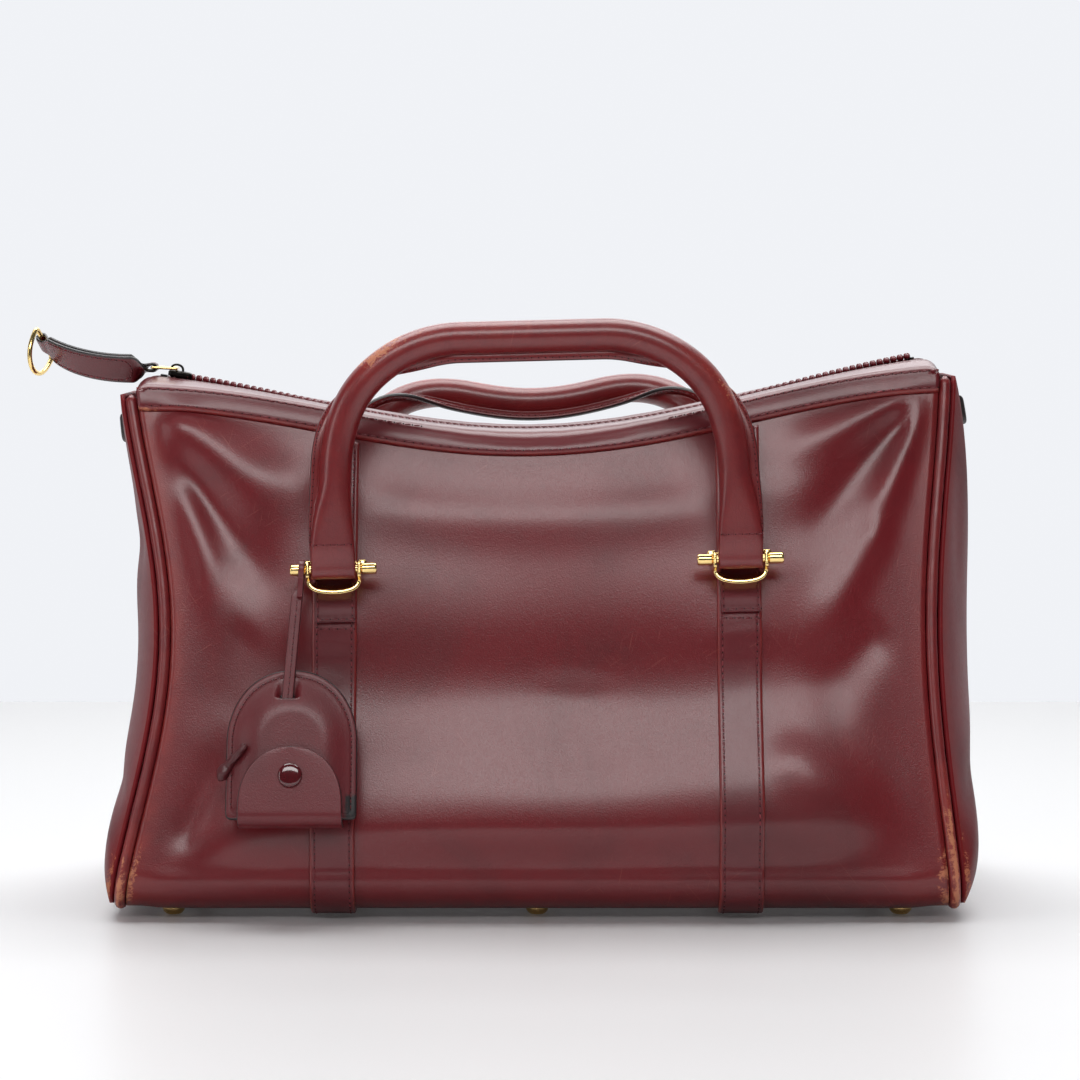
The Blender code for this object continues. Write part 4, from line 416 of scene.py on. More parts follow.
def disc_parts(outer, inner):
    """Points and faces of a sheet drawn in rings about a middle, with two skins and a rim."""
    rows, count = outer.shape[:2]
    total, last = rows * count, (rows - 1) * count
    points = np.concatenate((outer.reshape(-1, 3), inner.reshape(-1, 3),
                             outer[-1].mean(axis=0)[None], inner[-1].mean(axis=0)[None]))
    faces = grid_faces(rows, count, 0, round_columns=True)
    faces += grid_faces(rows, count, total, round_columns=True)
    for first, centre in ((0, 2 * total), (total, 2 * total + 1)):
        faces += [(first + last + i, first + last + (i + 1) % count, centre) for i in range(count)]
    faces += [(i, (i + 1) % count, total + (i + 1) % count, total + i) for i in range(count)]
    return points, faces


def tube_parts(rings, closed=False):
    """Points and faces of a tube through closed rings, capped unless it runs into itself."""
    rings = np.asarray(rings, float)
    rows, sides = rings.shape[:2]
    faces = grid_faces(rows, sides, round_rows=closed, round_columns=True)
    points = rings.reshape(-1, 3)
    if not closed:
        ends = np.stack((rings[0].mean(axis=0), rings[-1].mean(axis=0)))
        points = np.concatenate((points, ends))
        last, low, high = (rows - 1) * sides, rows * sides, rows * sides + 1
        faces += [((s + 1) % sides, s, low) for s in range(sides)]
        faces += [(last + s, last + (s + 1) % sides, high) for s in range(sides)]
    return points, faces


def put_in_scene(name, data):
    """A new object, linked to the scene."""
    thing = bpy.data.objects.new(name, data)
    bpy.context.scene.collection.objects.link(thing)
    return thing


def make_piece(name, points, faces, material, values=None, crease=None, uv=None):
    """A finished mesh piece whose place is in its mesh."""
    points = np.asarray(points, float) + FRAME_SHIFT
    mesh = bpy.data.meshes.new(name)
    mesh.from_pydata(points.tolist(), [], faces)
    body = bmesh.new()
    body.from_mesh(mesh)
    bmesh.ops.recalc_face_normals(body, faces=body.faces)
    body.to_mesh(mesh)
    body.free()
    mesh.shade_smooth()
    if crease is not None:
        mesh.set_sharp_from_angle(angle=math.radians(crease))
    for key, numbers in (values or {}).items():
        layer = mesh.attributes.new(key, "FLOAT", "POINT")
        layer.data.foreach_set("value", np.asarray(numbers, np.float32).ravel())
    if uv is not None:
        loops = np.empty(len(mesh.loops), dtype=np.int64)
        mesh.loops.foreach_get("vertex_index", loops)
        layer = mesh.uv_layers.new(name="UVMap")
        layer.data.foreach_set("uv", np.asarray(uv, np.float32)[loops].ravel())
    mesh.materials.append(material)
    piece = put_in_scene(name, mesh)
    return piece


def on_outside(bare, **painted):
    """Painted values for the outer points, and none for the bare points after them."""
    return {key: np.append(values.ravel(), np.zeros(bare)) for key, values in painted.items()}


def settle(piece, body, nodes=()):
    """A piece rides on its body and stands for its solids."""
    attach(piece, body)
    if nodes:
        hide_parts(*nodes)
    return piece


def path_frames(points, ups, closed=False):
    """Directions ahead, up and across at each point of a path, open or run into itself."""
    points = np.asarray(points, float)
    ahead = unit(np.roll(points, -1, axis=0) - np.roll(points, 1, axis=0) if closed
                 else np.gradient(points, axis=0))
    ups = np.broadcast_to(np.asarray(ups, float), points.shape)
    ups = unit(ups - ahead * np.sum(ups * ahead, axis=1, keepdims=True))
    return ahead, ups, np.cross(ahead, ups)


def circle(sides):
    """Points once round a circle of radius one."""
    turns = np.linspace(0.0, 2.0 * math.pi, sides, endpoint=False)
    return np.stack((np.cos(turns), np.sin(turns)), axis=1)


def soft_box(half_width, half_height, corner, steps=4):
    """A rounded rectangle as (across, up) points, once round."""
    points = []
    for cx, cy, start in ((1, 1, 0.0), (-1, 1, 0.5), (-1, -1, 1.0), (1, -1, 1.5)):
        for step in range(steps + 1):
            angle = math.pi * (start + 0.5 * step / steps)
            points.append((cx * (half_width - corner) + corner * math.cos(angle),
                           cy * (half_height - corner) + corner * math.sin(angle)))
    return np.array(points)


def sweep(points, ups, across, section):
    """Rings of a section carried along a path. The section may differ from ring to ring."""
    section = np.asarray(section, float)
    if section.ndim == 2:
        section = np.broadcast_to(section, (len(points),) + section.shape)
    return (np.asarray(points, float)[:, None] + across[:, None] * section[..., 0:1]
            + ups[:, None] * section[..., 1:2])


def resample(points, count, closed=False):
    """A path drawn again with evenly spaced points."""
    points = np.asarray(points, float)
    if closed:
        points = np.concatenate((points, points[:1]))
    steps = np.linalg.norm(np.diff(points, axis=0), axis=1)
    reach = np.concatenate(((0.0,), np.cumsum(steps)))
    at = np.linspace(0.0, reach[-1], count + 1 if closed else count)
    drawn = np.stack([np.interp(at, reach, points[:, i]) for i in range(points.shape[1])], axis=1)
    return drawn[:-1] if closed else drawn


def soften(points, rounds, closed=False):
    """A path with its corners cut round by round."""
    points = np.asarray(points, float)
    for _ in range(rounds):
        after = np.roll(points, -1, axis=0)
        pairs = np.stack((blend(points, after, 0.25), blend(points, after, 0.75)), axis=1)
        if closed:
            points = pairs.reshape(-1, points.shape[1])
        else:
            inner = pairs[:-1].reshape(-1, points.shape[1])
            points = np.concatenate((points[:1], inner, points[-1:]))
    return points


class NodeBook:
    """Adds nodes to a tree by their kind, with inputs given by number or name."""

    def __init__(self, tree):
        self.tree = tree
        self.column = 0

    def add(self, kind, inputs=None, **settings):
        """A node with its settings and its inputs, where a socket as a value makes a link."""
        node = self.tree.nodes.new(kind)
        node.location = (self.column * 180.0, 0.0)
        self.column += 1
        for key, value in settings.items():
            setattr(node, key, value)
        for key, value in (inputs or {}).items():
            if isinstance(value, bpy.types.NodeSocket):
                self.link(value, node.inputs[key])
            else:
                node.inputs[key].default_value = value
        return node

    def times(self, first, second):
        """A product."""
        return self.sum("MULTIPLY", first, second)

    def plus(self, first, second):
        """An addition."""
        return self.sum("ADD", first, second)

    def minus(self, first, second):
        """A difference."""
        return self.sum("SUBTRACT", first, second)

    def link(self, value, socket):
        """A link from a value to a node's input."""
        self.tree.links.new(value, socket)

    def sum(self, operation, first, second=0.0, clamp=False):
        """A Math node's result."""
        return self.add("ShaderNodeMath", {0: first, 1: second}, operation=operation,
                        use_clamp=clamp).outputs[0]

    def mix(self, share, first, second):
        """Two colours mixed."""
        node = self.add("ShaderNodeMix", {0: share, 6: first, 7: second}, data_type="RGBA")
        return node.outputs[2]

    def span(self, value, low, high, to_low=0.0, to_high=1.0):
        """A value eased from one range into another."""
        node = self.add("ShaderNodeMapRange", {0: value, 1: low, 2: high, 3: to_low, 4: to_high},
                        interpolation_type="SMOOTHSTEP")
        return node.outputs[0]

    def noise(self, vector, scale, detail=2.0, roughness=0.5, distortion=0.0):
        """A Noise Texture's value."""
        node = self.add("ShaderNodeTexNoise", {"Vector": vector, "Scale": scale, "Detail": detail,
                                               "Roughness": roughness, "Distortion": distortion})
        return node.outputs[0]

    def cells(self, vector, scale, feature="F1", randomness=1.0):
        """A Voronoi Texture's distance."""
        node = self.add("ShaderNodeTexVoronoi", {"Vector": vector, "Scale": scale,
                                                 "Randomness": randomness}, feature=feature)
        return node.outputs["Distance"]

    def stretch(self, vector, scale, turn=(0.0, 0.0, 0.0)):
        """A vector scaled and turned."""
        return self.add("ShaderNodeMapping", {"Vector": vector, "Scale": scale,
                                              "Rotation": turn}).outputs[0]


def new_group(name, inputs, outputs):
    """An empty shader node group with its sockets, and its book, inputs and output node."""
    tree = bpy.data.node_groups.new(name, "ShaderNodeTree")
    for label, kind, default in inputs:
        socket = tree.interface.new_socket(name=label, in_out="INPUT", socket_type=kind)
        if default is not None:
            socket.default_value = default
    for label, kind in outputs:
        tree.interface.new_socket(name=label, in_out="OUTPUT", socket_type=kind)
    book = NodeBook(tree)
    start = book.add("NodeGroupInput")
    end = book.add("NodeGroupOutput")
    return tree, book, start.outputs, end


FLOAT, COLOUR, VECTOR = "NodeSocketFloat", "NodeSocketColor", "NodeSocketVector"


def build_grain_group():
    """Fine calf grain: pebbles, pores and hair lines, as a height."""
    tree, book, given, end = new_group(
        "calf_grain", (("Vector", VECTOR, None), ("Grain", FLOAT, 1500.0), ("Crease", FLOAT, 0.35),
                       ("Pores", FLOAT, 0.4)), (("Height", FLOAT), ("Pits", FLOAT)))
    vector, grain = given["Vector"], given["Grain"]
    warp = book.noise(vector, 260.0, 2.0)
    shifted = book.add("ShaderNodeVectorMath", {0: vector, 1: book.add(
        "ShaderNodeCombineXYZ", {0: book.times(warp, 0.0009),
                                 2: book.times(warp, 0.0007)}).outputs[0]},
        operation="ADD").outputs[0]
    pebble = book.cells(shifted, grain, "SMOOTH_F1")
    fine = book.noise(vector, book.times(grain, 1.7), 3.0, 0.6)
    lines = book.cells(book.stretch(shifted, (1.0, 1.0, 0.42), (0.3, 0.2, 0.1)),
                       book.times(grain, 0.3), "DISTANCE_TO_EDGE")
    crease = book.times(book.span(lines, 0.0, 0.09, 1.0, 0.0), given["Crease"])
    pore = book.cells(vector, book.times(grain, 0.45))
    pits = book.times(book.span(pore, 0.03, 0.16, 1.0, 0.0), given["Pores"])
    height = book.plus(book.times(pebble, 0.7), book.times(fine, 0.6))
    height = book.minus(height, crease)
    height = book.minus(height, pits)
    book.link(height, end.inputs["Height"])
    book.link(book.plus(crease, pits), end.inputs["Pits"])
    return tree


def build_tone_group():
    """Leather's uneven colour: cloudy dye, painted shade in the grain's pits and creases, and a
    warmer burnished red, which is wear in some places and painted highlight in others.
    """
    tree, book, given, end = new_group(
        "aged_tone", (("Vector", VECTOR, None), ("Colour", COLOUR, (0.17, 0.01, 0.014, 1.0)),
                      ("Deep", COLOUR, (0.07, 0.004, 0.006, 1.0)),
                      ("Burnish", COLOUR, (0.3, 0.03, 0.02, 1.0)), ("Rubbed", FLOAT, 0.0),
                      ("Pits", FLOAT, 0.0), ("Roughness", FLOAT, 0.36)),
        (("Colour", COLOUR), ("Roughness", FLOAT)))
    vector = given["Vector"]
    cloud = book.span(book.noise(vector, 14.0, 5.0, 0.62, 0.6), 0.42, 0.72)
    flecks = book.span(book.noise(vector, 420.0, 4.0, 0.7), 0.45, 0.78)
    colour = book.mix(book.times(cloud, 0.42), given["Colour"], given["Deep"])
    # Painted shade: the grain's pits and crease lines are darkened in the colour.
    colour = book.mix(book.times(given["Pits"], 0.55), colour, given["Deep"])
    # A brighter red mixed in by the painted rub mask: real rubbing on most pieces, and partly a
    # painted highlight along the wrap's end seams.
    broken = book.times(given["Rubbed"], book.span(
        book.noise(vector, 95.0, 6.0, 0.7), 0.3, 0.62, 0.35, 1.0))
    colour = book.mix(book.sum("MINIMUM", broken, 1.0), colour, given["Burnish"])
    rough = book.plus(given["Roughness"], book.times(cloud, 0.05))
    rough = book.plus(rough, book.times(flecks, 0.06))
    rough = book.plus(rough, book.times(broken, 0.05))
    book.link(colour, end.inputs["Colour"])
    book.link(rough, end.inputs["Roughness"])
    return tree


def build_wear_group():
    """Wear along edges: the finish flakes off to bare leather, with a dark broken rim."""
    tree, book, given, end = new_group(
        "edge_wear", (("Vector", VECTOR, None), ("Colour", COLOUR, None),
                      ("Worn", COLOUR, (0.6, 0.25, 0.12, 1.0)), ("Amount", FLOAT, 0.0),
                      ("Size", FLOAT, 700.0)),
        (("Colour", COLOUR), ("Mask", FLOAT)))
    vector, amount = given["Vector"], given["Amount"]
    coarse = book.noise(vector, book.times(given["Size"], 0.35), 6.0, 0.72, 0.4)
    fine = book.noise(book.stretch(vector, (1.0, 1.0, 2.2)), given["Size"], 4.0, 0.7, 1.2)
    field = book.plus(book.times(coarse, 0.6), book.times(fine, 0.4))
    limit = book.minus(0.86, book.times(amount, 0.46))
    mask = book.span(book.minus(field, limit), -0.012, 0.035)
    rim = book.span(book.minus(field, limit), -0.06, -0.005)
    rim = book.times(rim, book.span(amount, 0.05, 0.4, 0.0, 0.5))
    warm = book.mix(fine, given["Worn"], (0.42, 0.12, 0.05, 1.0))
    colour = book.mix(rim, given["Colour"], (0.3, 0.045, 0.025, 1.0))
    colour = book.mix(mask, colour, warm)
    book.link(colour, end.inputs["Colour"])
    book.link(mask, end.inputs["Mask"])
    return tree


def build_scratch_group():
    """Scattered hair scratches: thin pale dashes at many angles, as a mask."""
    tree, book, given, end = new_group(
        "hair_scratches", (("Vector", VECTOR, None), ("Scale", FLOAT, 60.0),
                           ("Amount", FLOAT, 0.5)), (("Mask", FLOAT),))
    vector, total = given["Vector"], None
    for turn, reach in (((0.0, 0.55, 0.0), 30.0), ((0.0, -0.9, 0.0), 42.0),
                        ((0.0, 1.35, 0.0), 36.0)):
        drawn = book.stretch(book.stretch(vector, (1.0, 1.0, 1.0), turn), (1.0, 1.0, reach))
        lines = book.span(book.noise(drawn, given["Scale"], 1.0, 0.4), 0.715, 0.74)
        patch = book.span(book.noise(vector, 26.0, 2.0, 0.5), 0.52, 0.66)
        found = book.times(lines, patch)
        total = found if total is None else book.sum("MAXIMUM", total, found)
    book.link(book.times(total, given["Amount"]), end.inputs["Mask"])
    return tree


def new_material(name, colour, roughness=0.5, metallic=0.0, **constants):
    """A material with its Principled shader, a book and the Object coordinates."""
    material = bpy.data.materials.new(name)
    material.use_nodes = True
    material.diffuse_color = colour
    shader = material.node_tree.nodes["Principled BSDF"]
    shader.inputs["Base Color"].default_value = colour
    shader.inputs["Roughness"].default_value = roughness
    shader.inputs["Metallic"].default_value = metallic
    for label, value in constants.items():
        shader.inputs[label.replace("_", " ")].default_value = value
    book = NodeBook(material.node_tree)
    place = book.add("ShaderNodeTexCoord").outputs["Object"]
    return material, shader, book, place


def attribute(book, name):
    """A number painted on the mesh."""
    return book.add("ShaderNodeAttribute", attribute_name=name).outputs["Fac"]


def emboss(book, shader, height, strength, distance):
    """A height shown as a bump."""
    bump = book.add("ShaderNodeBump", {"Height": height, "Strength": strength,
                                       "Distance": distance})
    book.link(bump.outputs[0], shader.inputs["Normal"])


def use_group(book, tree, **inputs):
    """A group placed in a material, with its inputs by name."""
    node = book.add("ShaderNodeGroup", node_tree=tree)
    for label, value in inputs.items():
        if isinstance(value, bpy.types.NodeSocket):
            book.link(value, node.inputs[label])
        else:
            node.inputs[label].default_value = value
    return node.outputs


def leather_material(name, colour, groups, grain=2100.0, roughness=0.31, coat=0.3,
                     depth_share=1.0, scratches=0.22, crease=0.12, shine=0.5):
    """Glazed calf with grain, uneven dye, burnish, wear and painted edges."""
    sizes = bpy.context.scene.bag_leather
    material, shader, book, place = new_material(
        name, colour, roughness, Coat_Weight=coat, Coat_Roughness=0.2, IOR=1.5,
        Specular_IOR_Level=shine)
    grained = use_group(book, groups["grain"], Vector=place, Grain=grain, Crease=crease)
    toned = use_group(book, groups["tone"], Vector=place, Colour=colour, Deep=tuple(sizes.deep),
                      Burnish=tuple(sizes.burnish), Rubbed=attribute(book, "rubbed"),
                      Pits=grained["Pits"], Roughness=roughness)
    worn = use_group(book, groups["wear"], Vector=place, Colour=toned["Colour"],
                     Worn=tuple(sizes.worn), Amount=attribute(book, "worn"))
    scratched = use_group(book, groups["scratch"], Vector=place, Amount=scratches)
    pale = book.mix(scratched["Mask"], worn["Colour"], (0.42, 0.13, 0.1, 1.0))
    # Black from the mesh: edge colour on cut edges, and painted shade where a leaf marks its slot
    # and open side.
    paint = attribute(book, "paint")
    chipped = book.span(book.noise(place, 900.0, 4.0, 0.7), 0.60, 0.66, 1.0, 0.35)
    painted = book.sum("MULTIPLY", paint, chipped, clamp=True)
    final = book.mix(painted, pale, tuple(sizes.edge))
    book.link(final, shader.inputs["Base Color"])
    rough = book.plus(toned["Roughness"], book.times(worn["Mask"], 0.25))
    book.link(rough, shader.inputs["Roughness"])
    flaked = book.minus(grained["Height"], book.times(worn["Mask"], 0.8))
    emboss(book, shader, flaked, 0.75, sizes.grain * depth_share)
    return material


def metal_material(name, colour, roughness):
    """Plated metal with smudges and fine rubbing marks."""
    material, shader, book, place = new_material(name, colour, roughness, 1.0)
    smudge = book.span(book.noise(place, 160.0, 4.0, 0.6), 0.4, 0.75, 0.0, 0.12)
    rubbed = book.noise(book.stretch(place, (1.0, 1.0, 14.0), (0.4, 0.7, 0.0)), 900.0, 2.0)
    rough = book.plus(roughness, smudge)
    book.link(rough, shader.inputs["Roughness"])
    dull = tuple(channel * 0.72 for channel in colour[:3]) + (1.0,)
    tinted = book.mix(book.times(smudge, 3.0), colour, dull)
    book.link(tinted, shader.inputs["Base Color"])
    emboss(book, shader, rubbed, 0.06, 0.00001)
    return material


def cloth_material(name, colour, pitch):
    """A plain woven cloth or tape."""
    material, shader, book, place = new_material(name, colour, 0.85)
    warp, weft = [book.add("ShaderNodeTexWave", {
        "Vector": place, "Scale": 1.0 / pitch * 0.16, "Distortion": 0.4, "Detail": 1.0},
        bands_direction=direction).outputs["Fac"] for direction in ("X", "Y")]
    weave = book.times(warp, weft)
    dark = tuple(channel * 0.45 for channel in colour[:3]) + (1.0,)
    book.link(book.mix(weave, dark, colour), shader.inputs["Base Color"])
    emboss(book, shader, weave, 0.6, 0.0001)
    return material


def thread_material(name, colour):
    """Waxed thread, twisted."""
    material, shader, book, place = new_material(name, colour, 0.42)
    twist = book.noise(book.stretch(place, (1.0, 1.0, 1.0), (0.0, 0.8, 0.4)), 2400.0, 1.0)
    shade = book.noise(place, 120.0, 2.0)
    pale = tuple(min(channel * 2.4 + 0.03, 1.0) for channel in colour[:3]) + (1.0,)
    book.link(book.mix(book.span(shade, 0.55, 0.75, 0.0, 0.6), colour, pale),
              shader.inputs["Base Color"])
    emboss(book, shader, twist, 0.5, 0.0001)
    return material


def mottled_material(name, roughness, scale, detail, colour, pale, dark, **constants):
    """A plain finish whose colour varies a little."""
    material, shader, book, place = new_material(name, colour, roughness, **constants)
    book.link(book.mix(book.noise(place, scale, detail), pale, dark), shader.inputs["Base Color"])
    return material


MATERIALS = {}


def make_materials():
    """Every finish of the bag, once."""
    if MATERIALS:
        return MATERIALS
    scene = bpy.context.scene
    leather, metal = scene.bag_leather, scene.bag_metal
    groups = {"grain": build_grain_group(), "tone": build_tone_group(),
              "wear": build_wear_group(), "scratch": build_scratch_group()}
    calf, trim, edge = tuple(leather.calf), tuple(leather.strap), tuple(leather.edge)
    MATERIALS.update({
        "calf": leather_material("burgundy_calf", calf, groups),
        "ends": leather_material("end_leather", calf, groups, roughness=0.42, coat=0.0,
                                 depth_share=0.8, shine=0.16),
        "trim": leather_material("trim_leather", trim, groups, grain=2300.0, roughness=0.34,
                                 depth_share=0.7, scratches=0.2),
        "handle": leather_material("handle_leather", calf, groups, grain=2000.0, roughness=0.3,
                                   depth_share=0.8, coat=0.4, scratches=0.3, crease=0.4),
        "holder": leather_material("holder_leather", trim, groups, grain=1900.0, roughness=0.4,
                                   coat=0.18, scratches=0.1),
        "edge": leather_material("edge_leather", edge, groups, roughness=0.5, scratches=0.0),
        "gold": metal_material("gold_plate", tuple(metal.gold), 0.13),
        "brass": metal_material("brass", tuple(metal.brass), 0.22),
        "dark": metal_material("dark_metal", (0.03, 0.027, 0.025, 1.0), 0.3),
        "thread": thread_material("waxed_thread", tuple(scene.bag_stitch.thread)),
        "tape": cloth_material("zip_tape_cloth", (0.11, 0.008, 0.013, 1.0), 0.0006),
        "lining": cloth_material("lining_twill", (0.1, 0.012, 0.014, 1.0), 0.0009),
        "board": cloth_material("board_cloth", (0.3, 0.24, 0.17, 1.0), 0.0012),
        "teeth": mottled_material("moulded_teeth", 0.32, 600.0, 3.0, (0.17, 0.008, 0.014, 1.0),
                                  (0.2, 0.01, 0.017, 1.0), (0.08, 0.004, 0.008, 1.0)),
        "enamel": mottled_material("cap_enamel", 0.12, 300.0, 3.0, (0.075, 0.003, 0.006, 1.0),
                                   (0.1, 0.004, 0.008, 1.0), (0.05, 0.002, 0.004, 1.0),
                                   Coat_Weight=0.8, Coat_Roughness=0.05),
        # Painted shade: a near-black finish for the small balls set in the needle holes.
        "hole": mottled_material("needle_hole", 0.9, 900.0, 2.0, (0.012, 0.001, 0.002, 1.0),
                                 (0.016, 0.001, 0.002, 1.0), (0.006, 0.001, 0.001, 1.0)),
    })
    return MATERIALS


def finish(name):
    """One of the bag's finishes."""
    return make_materials()[name]


def row_tree(name, numbers, materials):
    """A tree that starts with a row of points a pitch apart, with the ways at each of them."""
    tree = bpy.data.node_groups.new(name, "GeometryNodeTree")
    face = tree.interface
    face.new_socket(name="Geometry", in_out="INPUT", socket_type="NodeSocketGeometry")
    for label, default in numbers:
        kind = "NodeSocketInt" if isinstance(default, int) else FLOAT
        face.new_socket(name=label, in_out="INPUT", socket_type=kind).default_value = default
    for label in materials:
        face.new_socket(name=label, in_out="INPUT", socket_type="NodeSocketMaterial")
    face.new_socket(name="Geometry", in_out="OUTPUT", socket_type="NodeSocketGeometry")
    book = NodeBook(tree)
    given = book.add("NodeGroupInput").outputs
    curve = book.add("GeometryNodeMeshToCurve", {0: given["Geometry"]}).outputs[0]
    curve = book.add("GeometryNodeResampleCurve", {"Curve": curve, "Length": given["Pitch"]},
                     mode="LENGTH").outputs[0]
    tangent = book.add("GeometryNodeInputTangent").outputs[0]
    up = book.add("GeometryNodeInputNamedAttribute", {"Name": "up"},
                  data_type="FLOAT_VECTOR").outputs[0]
    turn = book.add("FunctionNodeAxesToRotation", {0: up, 1: tangent}, primary_axis="Z",
                    secondary_axis="X").outputs[0]
    return book, given, curve, tangent, turn


def slanted(book, turn, slant):
    """A rotation with a further twist about its own upright axis."""
    twist = book.add("ShaderNodeCombineXYZ", {2: slant}).outputs[0]
    twist = book.add("FunctionNodeEulerToRotation", {0: twist}).outputs[0]
    return book.add("FunctionNodeRotateRotation", {0: turn, 1: twist},
                    rotation_space="LOCAL").outputs[0]


def stretched_ball(book, segments, rings, half_sizes, **place):
    """A ball with three half sizes."""
    ball = book.add("GeometryNodeMeshUVSphere", {"Segments": segments, "Rings": rings,
                                                 "Radius": 1.0}).outputs[0]
    shape = book.add("ShaderNodeCombineXYZ", dict(enumerate(half_sizes))).outputs[0]
    return book.add("GeometryNodeTransform", {"Geometry": ball, "Scale": shape,
                                              **place}).outputs[0]


def repeated(book, points, shape, turn, material):
    """A shape set on every point, made real, with its material."""
    rows = book.add("GeometryNodeInstanceOnPoints", {"Points": points, "Instance": shape,
                                                     "Rotation": turn}).outputs[0]
    rows = book.add("GeometryNodeRealizeInstances", {0: rows}).outputs[0]
    return book.add("GeometryNodeSetMaterial", {"Geometry": rows, "Material": material}).outputs[0]


def join(book, *parts):
    """Several geometries as one."""
    joined = book.add("GeometryNodeJoinGeometry")
    for part in parts:
        book.link(part, joined.inputs[0])
    return joined.outputs[0]


def stitch_tree():
    """The Geometry Nodes tree that sews a row: a sunk thread and, at every pitch, a near-black
    ball of painted shade where the needle went through.
    """
    known = bpy.data.node_groups.get("sewn_row")
    if known:
        return known
    book, given, curve, tangent, turn = row_tree("sewn_row", (
        ("Pitch", 0.003), ("Thread Width", 0.0006), ("Fill", 0.74), ("Slant", 0.1),
        ("Seed", 4)), ("Thread", "Hole"))
    jitter = book.add("FunctionNodeRandomValue", {2: -0.09, 3: 0.09, "Seed": given["Seed"]},
                      data_type="FLOAT").outputs[1]
    half = book.times(book.times(given["Pitch"], given["Fill"]), 0.5)
    width = book.times(given["Thread Width"], 0.5)
    thread = stretched_ball(book, 6, 5, (half, width, width))
    thread = book.add("GeometryNodeSetShadeSmooth", {0: thread}).outputs[0]
    sewn = repeated(book, curve, thread,
                    slanted(book, turn, book.plus(given["Slant"], jitter)), given["Thread"])
    ahead = book.add("ShaderNodeVectorMath", {
        0: tangent, "Scale": book.times(given["Pitch"], 0.5)}, operation="SCALE").outputs[0]
    moved = book.add("GeometryNodeSetPosition", {"Geometry": curve, "Offset": ahead}).outputs[0]
    # Painted shade: a dark flat ball at every needle's way through, half a pitch on.
    pit = stretched_ball(book, 6, 4, (book.times(width, 0.95), width, book.times(width, 0.55)))
    pierced = repeated(book, moved, pit, turn, given["Hole"])
    book.link(join(book, sewn, pierced), book.add("NodeGroupOutput").inputs[0])
    return book.tree


def tooth_tree():
    """The Geometry Nodes tree of the zip: a ribbed coil tooth with its head at every pitch."""
    known = bpy.data.node_groups.get("zip_row")
    if known:
        return known
    book, given, curve, _, turn = row_tree("zip_row", (
        ("Pitch", ZIP_PITCH), ("Reach", 0.0038), ("Rib", 0.00055), ("Slant", 0.3)), ("Tooth",))
    half = book.times(given["Reach"], 0.5)
    rib = stretched_ball(book, 8, 6, (given["Rib"], half, book.times(given["Rib"], 1.5)))
    tip = book.add("ShaderNodeCombineXYZ", {1: book.times(half, 0.72)}).outputs[0]
    head = stretched_ball(book, 8, 5, [book.times(given["Rib"], share)
                                       for share in (1.35, 1.2, 1.9)], Translation=tip)
    tooth = book.add("GeometryNodeSetShadeSmooth", {0: join(book, rib, head)}).outputs[0]
    rows = repeated(book, curve, tooth, slanted(book, turn, given["Slant"]), given["Tooth"])
    book.link(rows, book.add("NodeGroupOutput").inputs[0])
    return book.tree


def along_rows(name, rows, tree, inputs):
    """A tree run over rows of (points, ups), as a plain mesh piece."""
    points, ups, edges = [], [], []
    for row_points, row_ups in rows:
        start = len(points)
        row_points = np.asarray(row_points, float)
        row_ups = np.broadcast_to(np.asarray(row_ups, float), row_points.shape)
        points += (row_points + FRAME_SHIFT).tolist()
        ups += row_ups.tolist()
        edges += [(start + i, start + i + 1) for i in range(len(row_points) - 1)]
    mesh = bpy.data.meshes.new(name + "_path")
    mesh.from_pydata(points, edges, [])
    layer = mesh.attributes.new("up", "FLOAT_VECTOR", "POINT")
    layer.data.foreach_set("vector", np.asarray(ups, np.float32).ravel())
    guide = put_in_scene(name + "_path", mesh)
    modifier = guide.modifiers.new("rows", "NODES")
    modifier.node_group = tree
    for item in tree.interface.items_tree:
        if item.item_type == "SOCKET" and item.in_out == "INPUT" and item.name in inputs:
            modifier[item.identifier] = inputs[item.name]
    evaluated = guide.evaluated_get(bpy.context.evaluated_depsgraph_get())
    made = bpy.data.meshes.new_from_object(evaluated)
    guide.modifiers.clear()
    bpy.data.objects.remove(guide)
    if len(made.polygons) == 0:
        raise RuntimeError(name + " came out empty")
    if "up" in made.attributes:
        made.attributes.remove(made.attributes["up"])
    made.name = name
    piece = put_in_scene(name, made)
    return piece


def sew(name, body, rows, pitch, width_share=1.0, slant=0.1):
    """Stitches along rows, riding on a body."""
    sizes = bpy.context.scene.bag_stitch
    piece = along_rows(name, rows, stitch_tree(), {
        "Pitch": pitch, "Thread Width": sizes.width * width_share, "Fill": sizes.fill,
        "Slant": slant, "Seed": sizes.seed, "Thread": finish("thread"), "Hole": finish("hole")})
    return settle(piece, body)


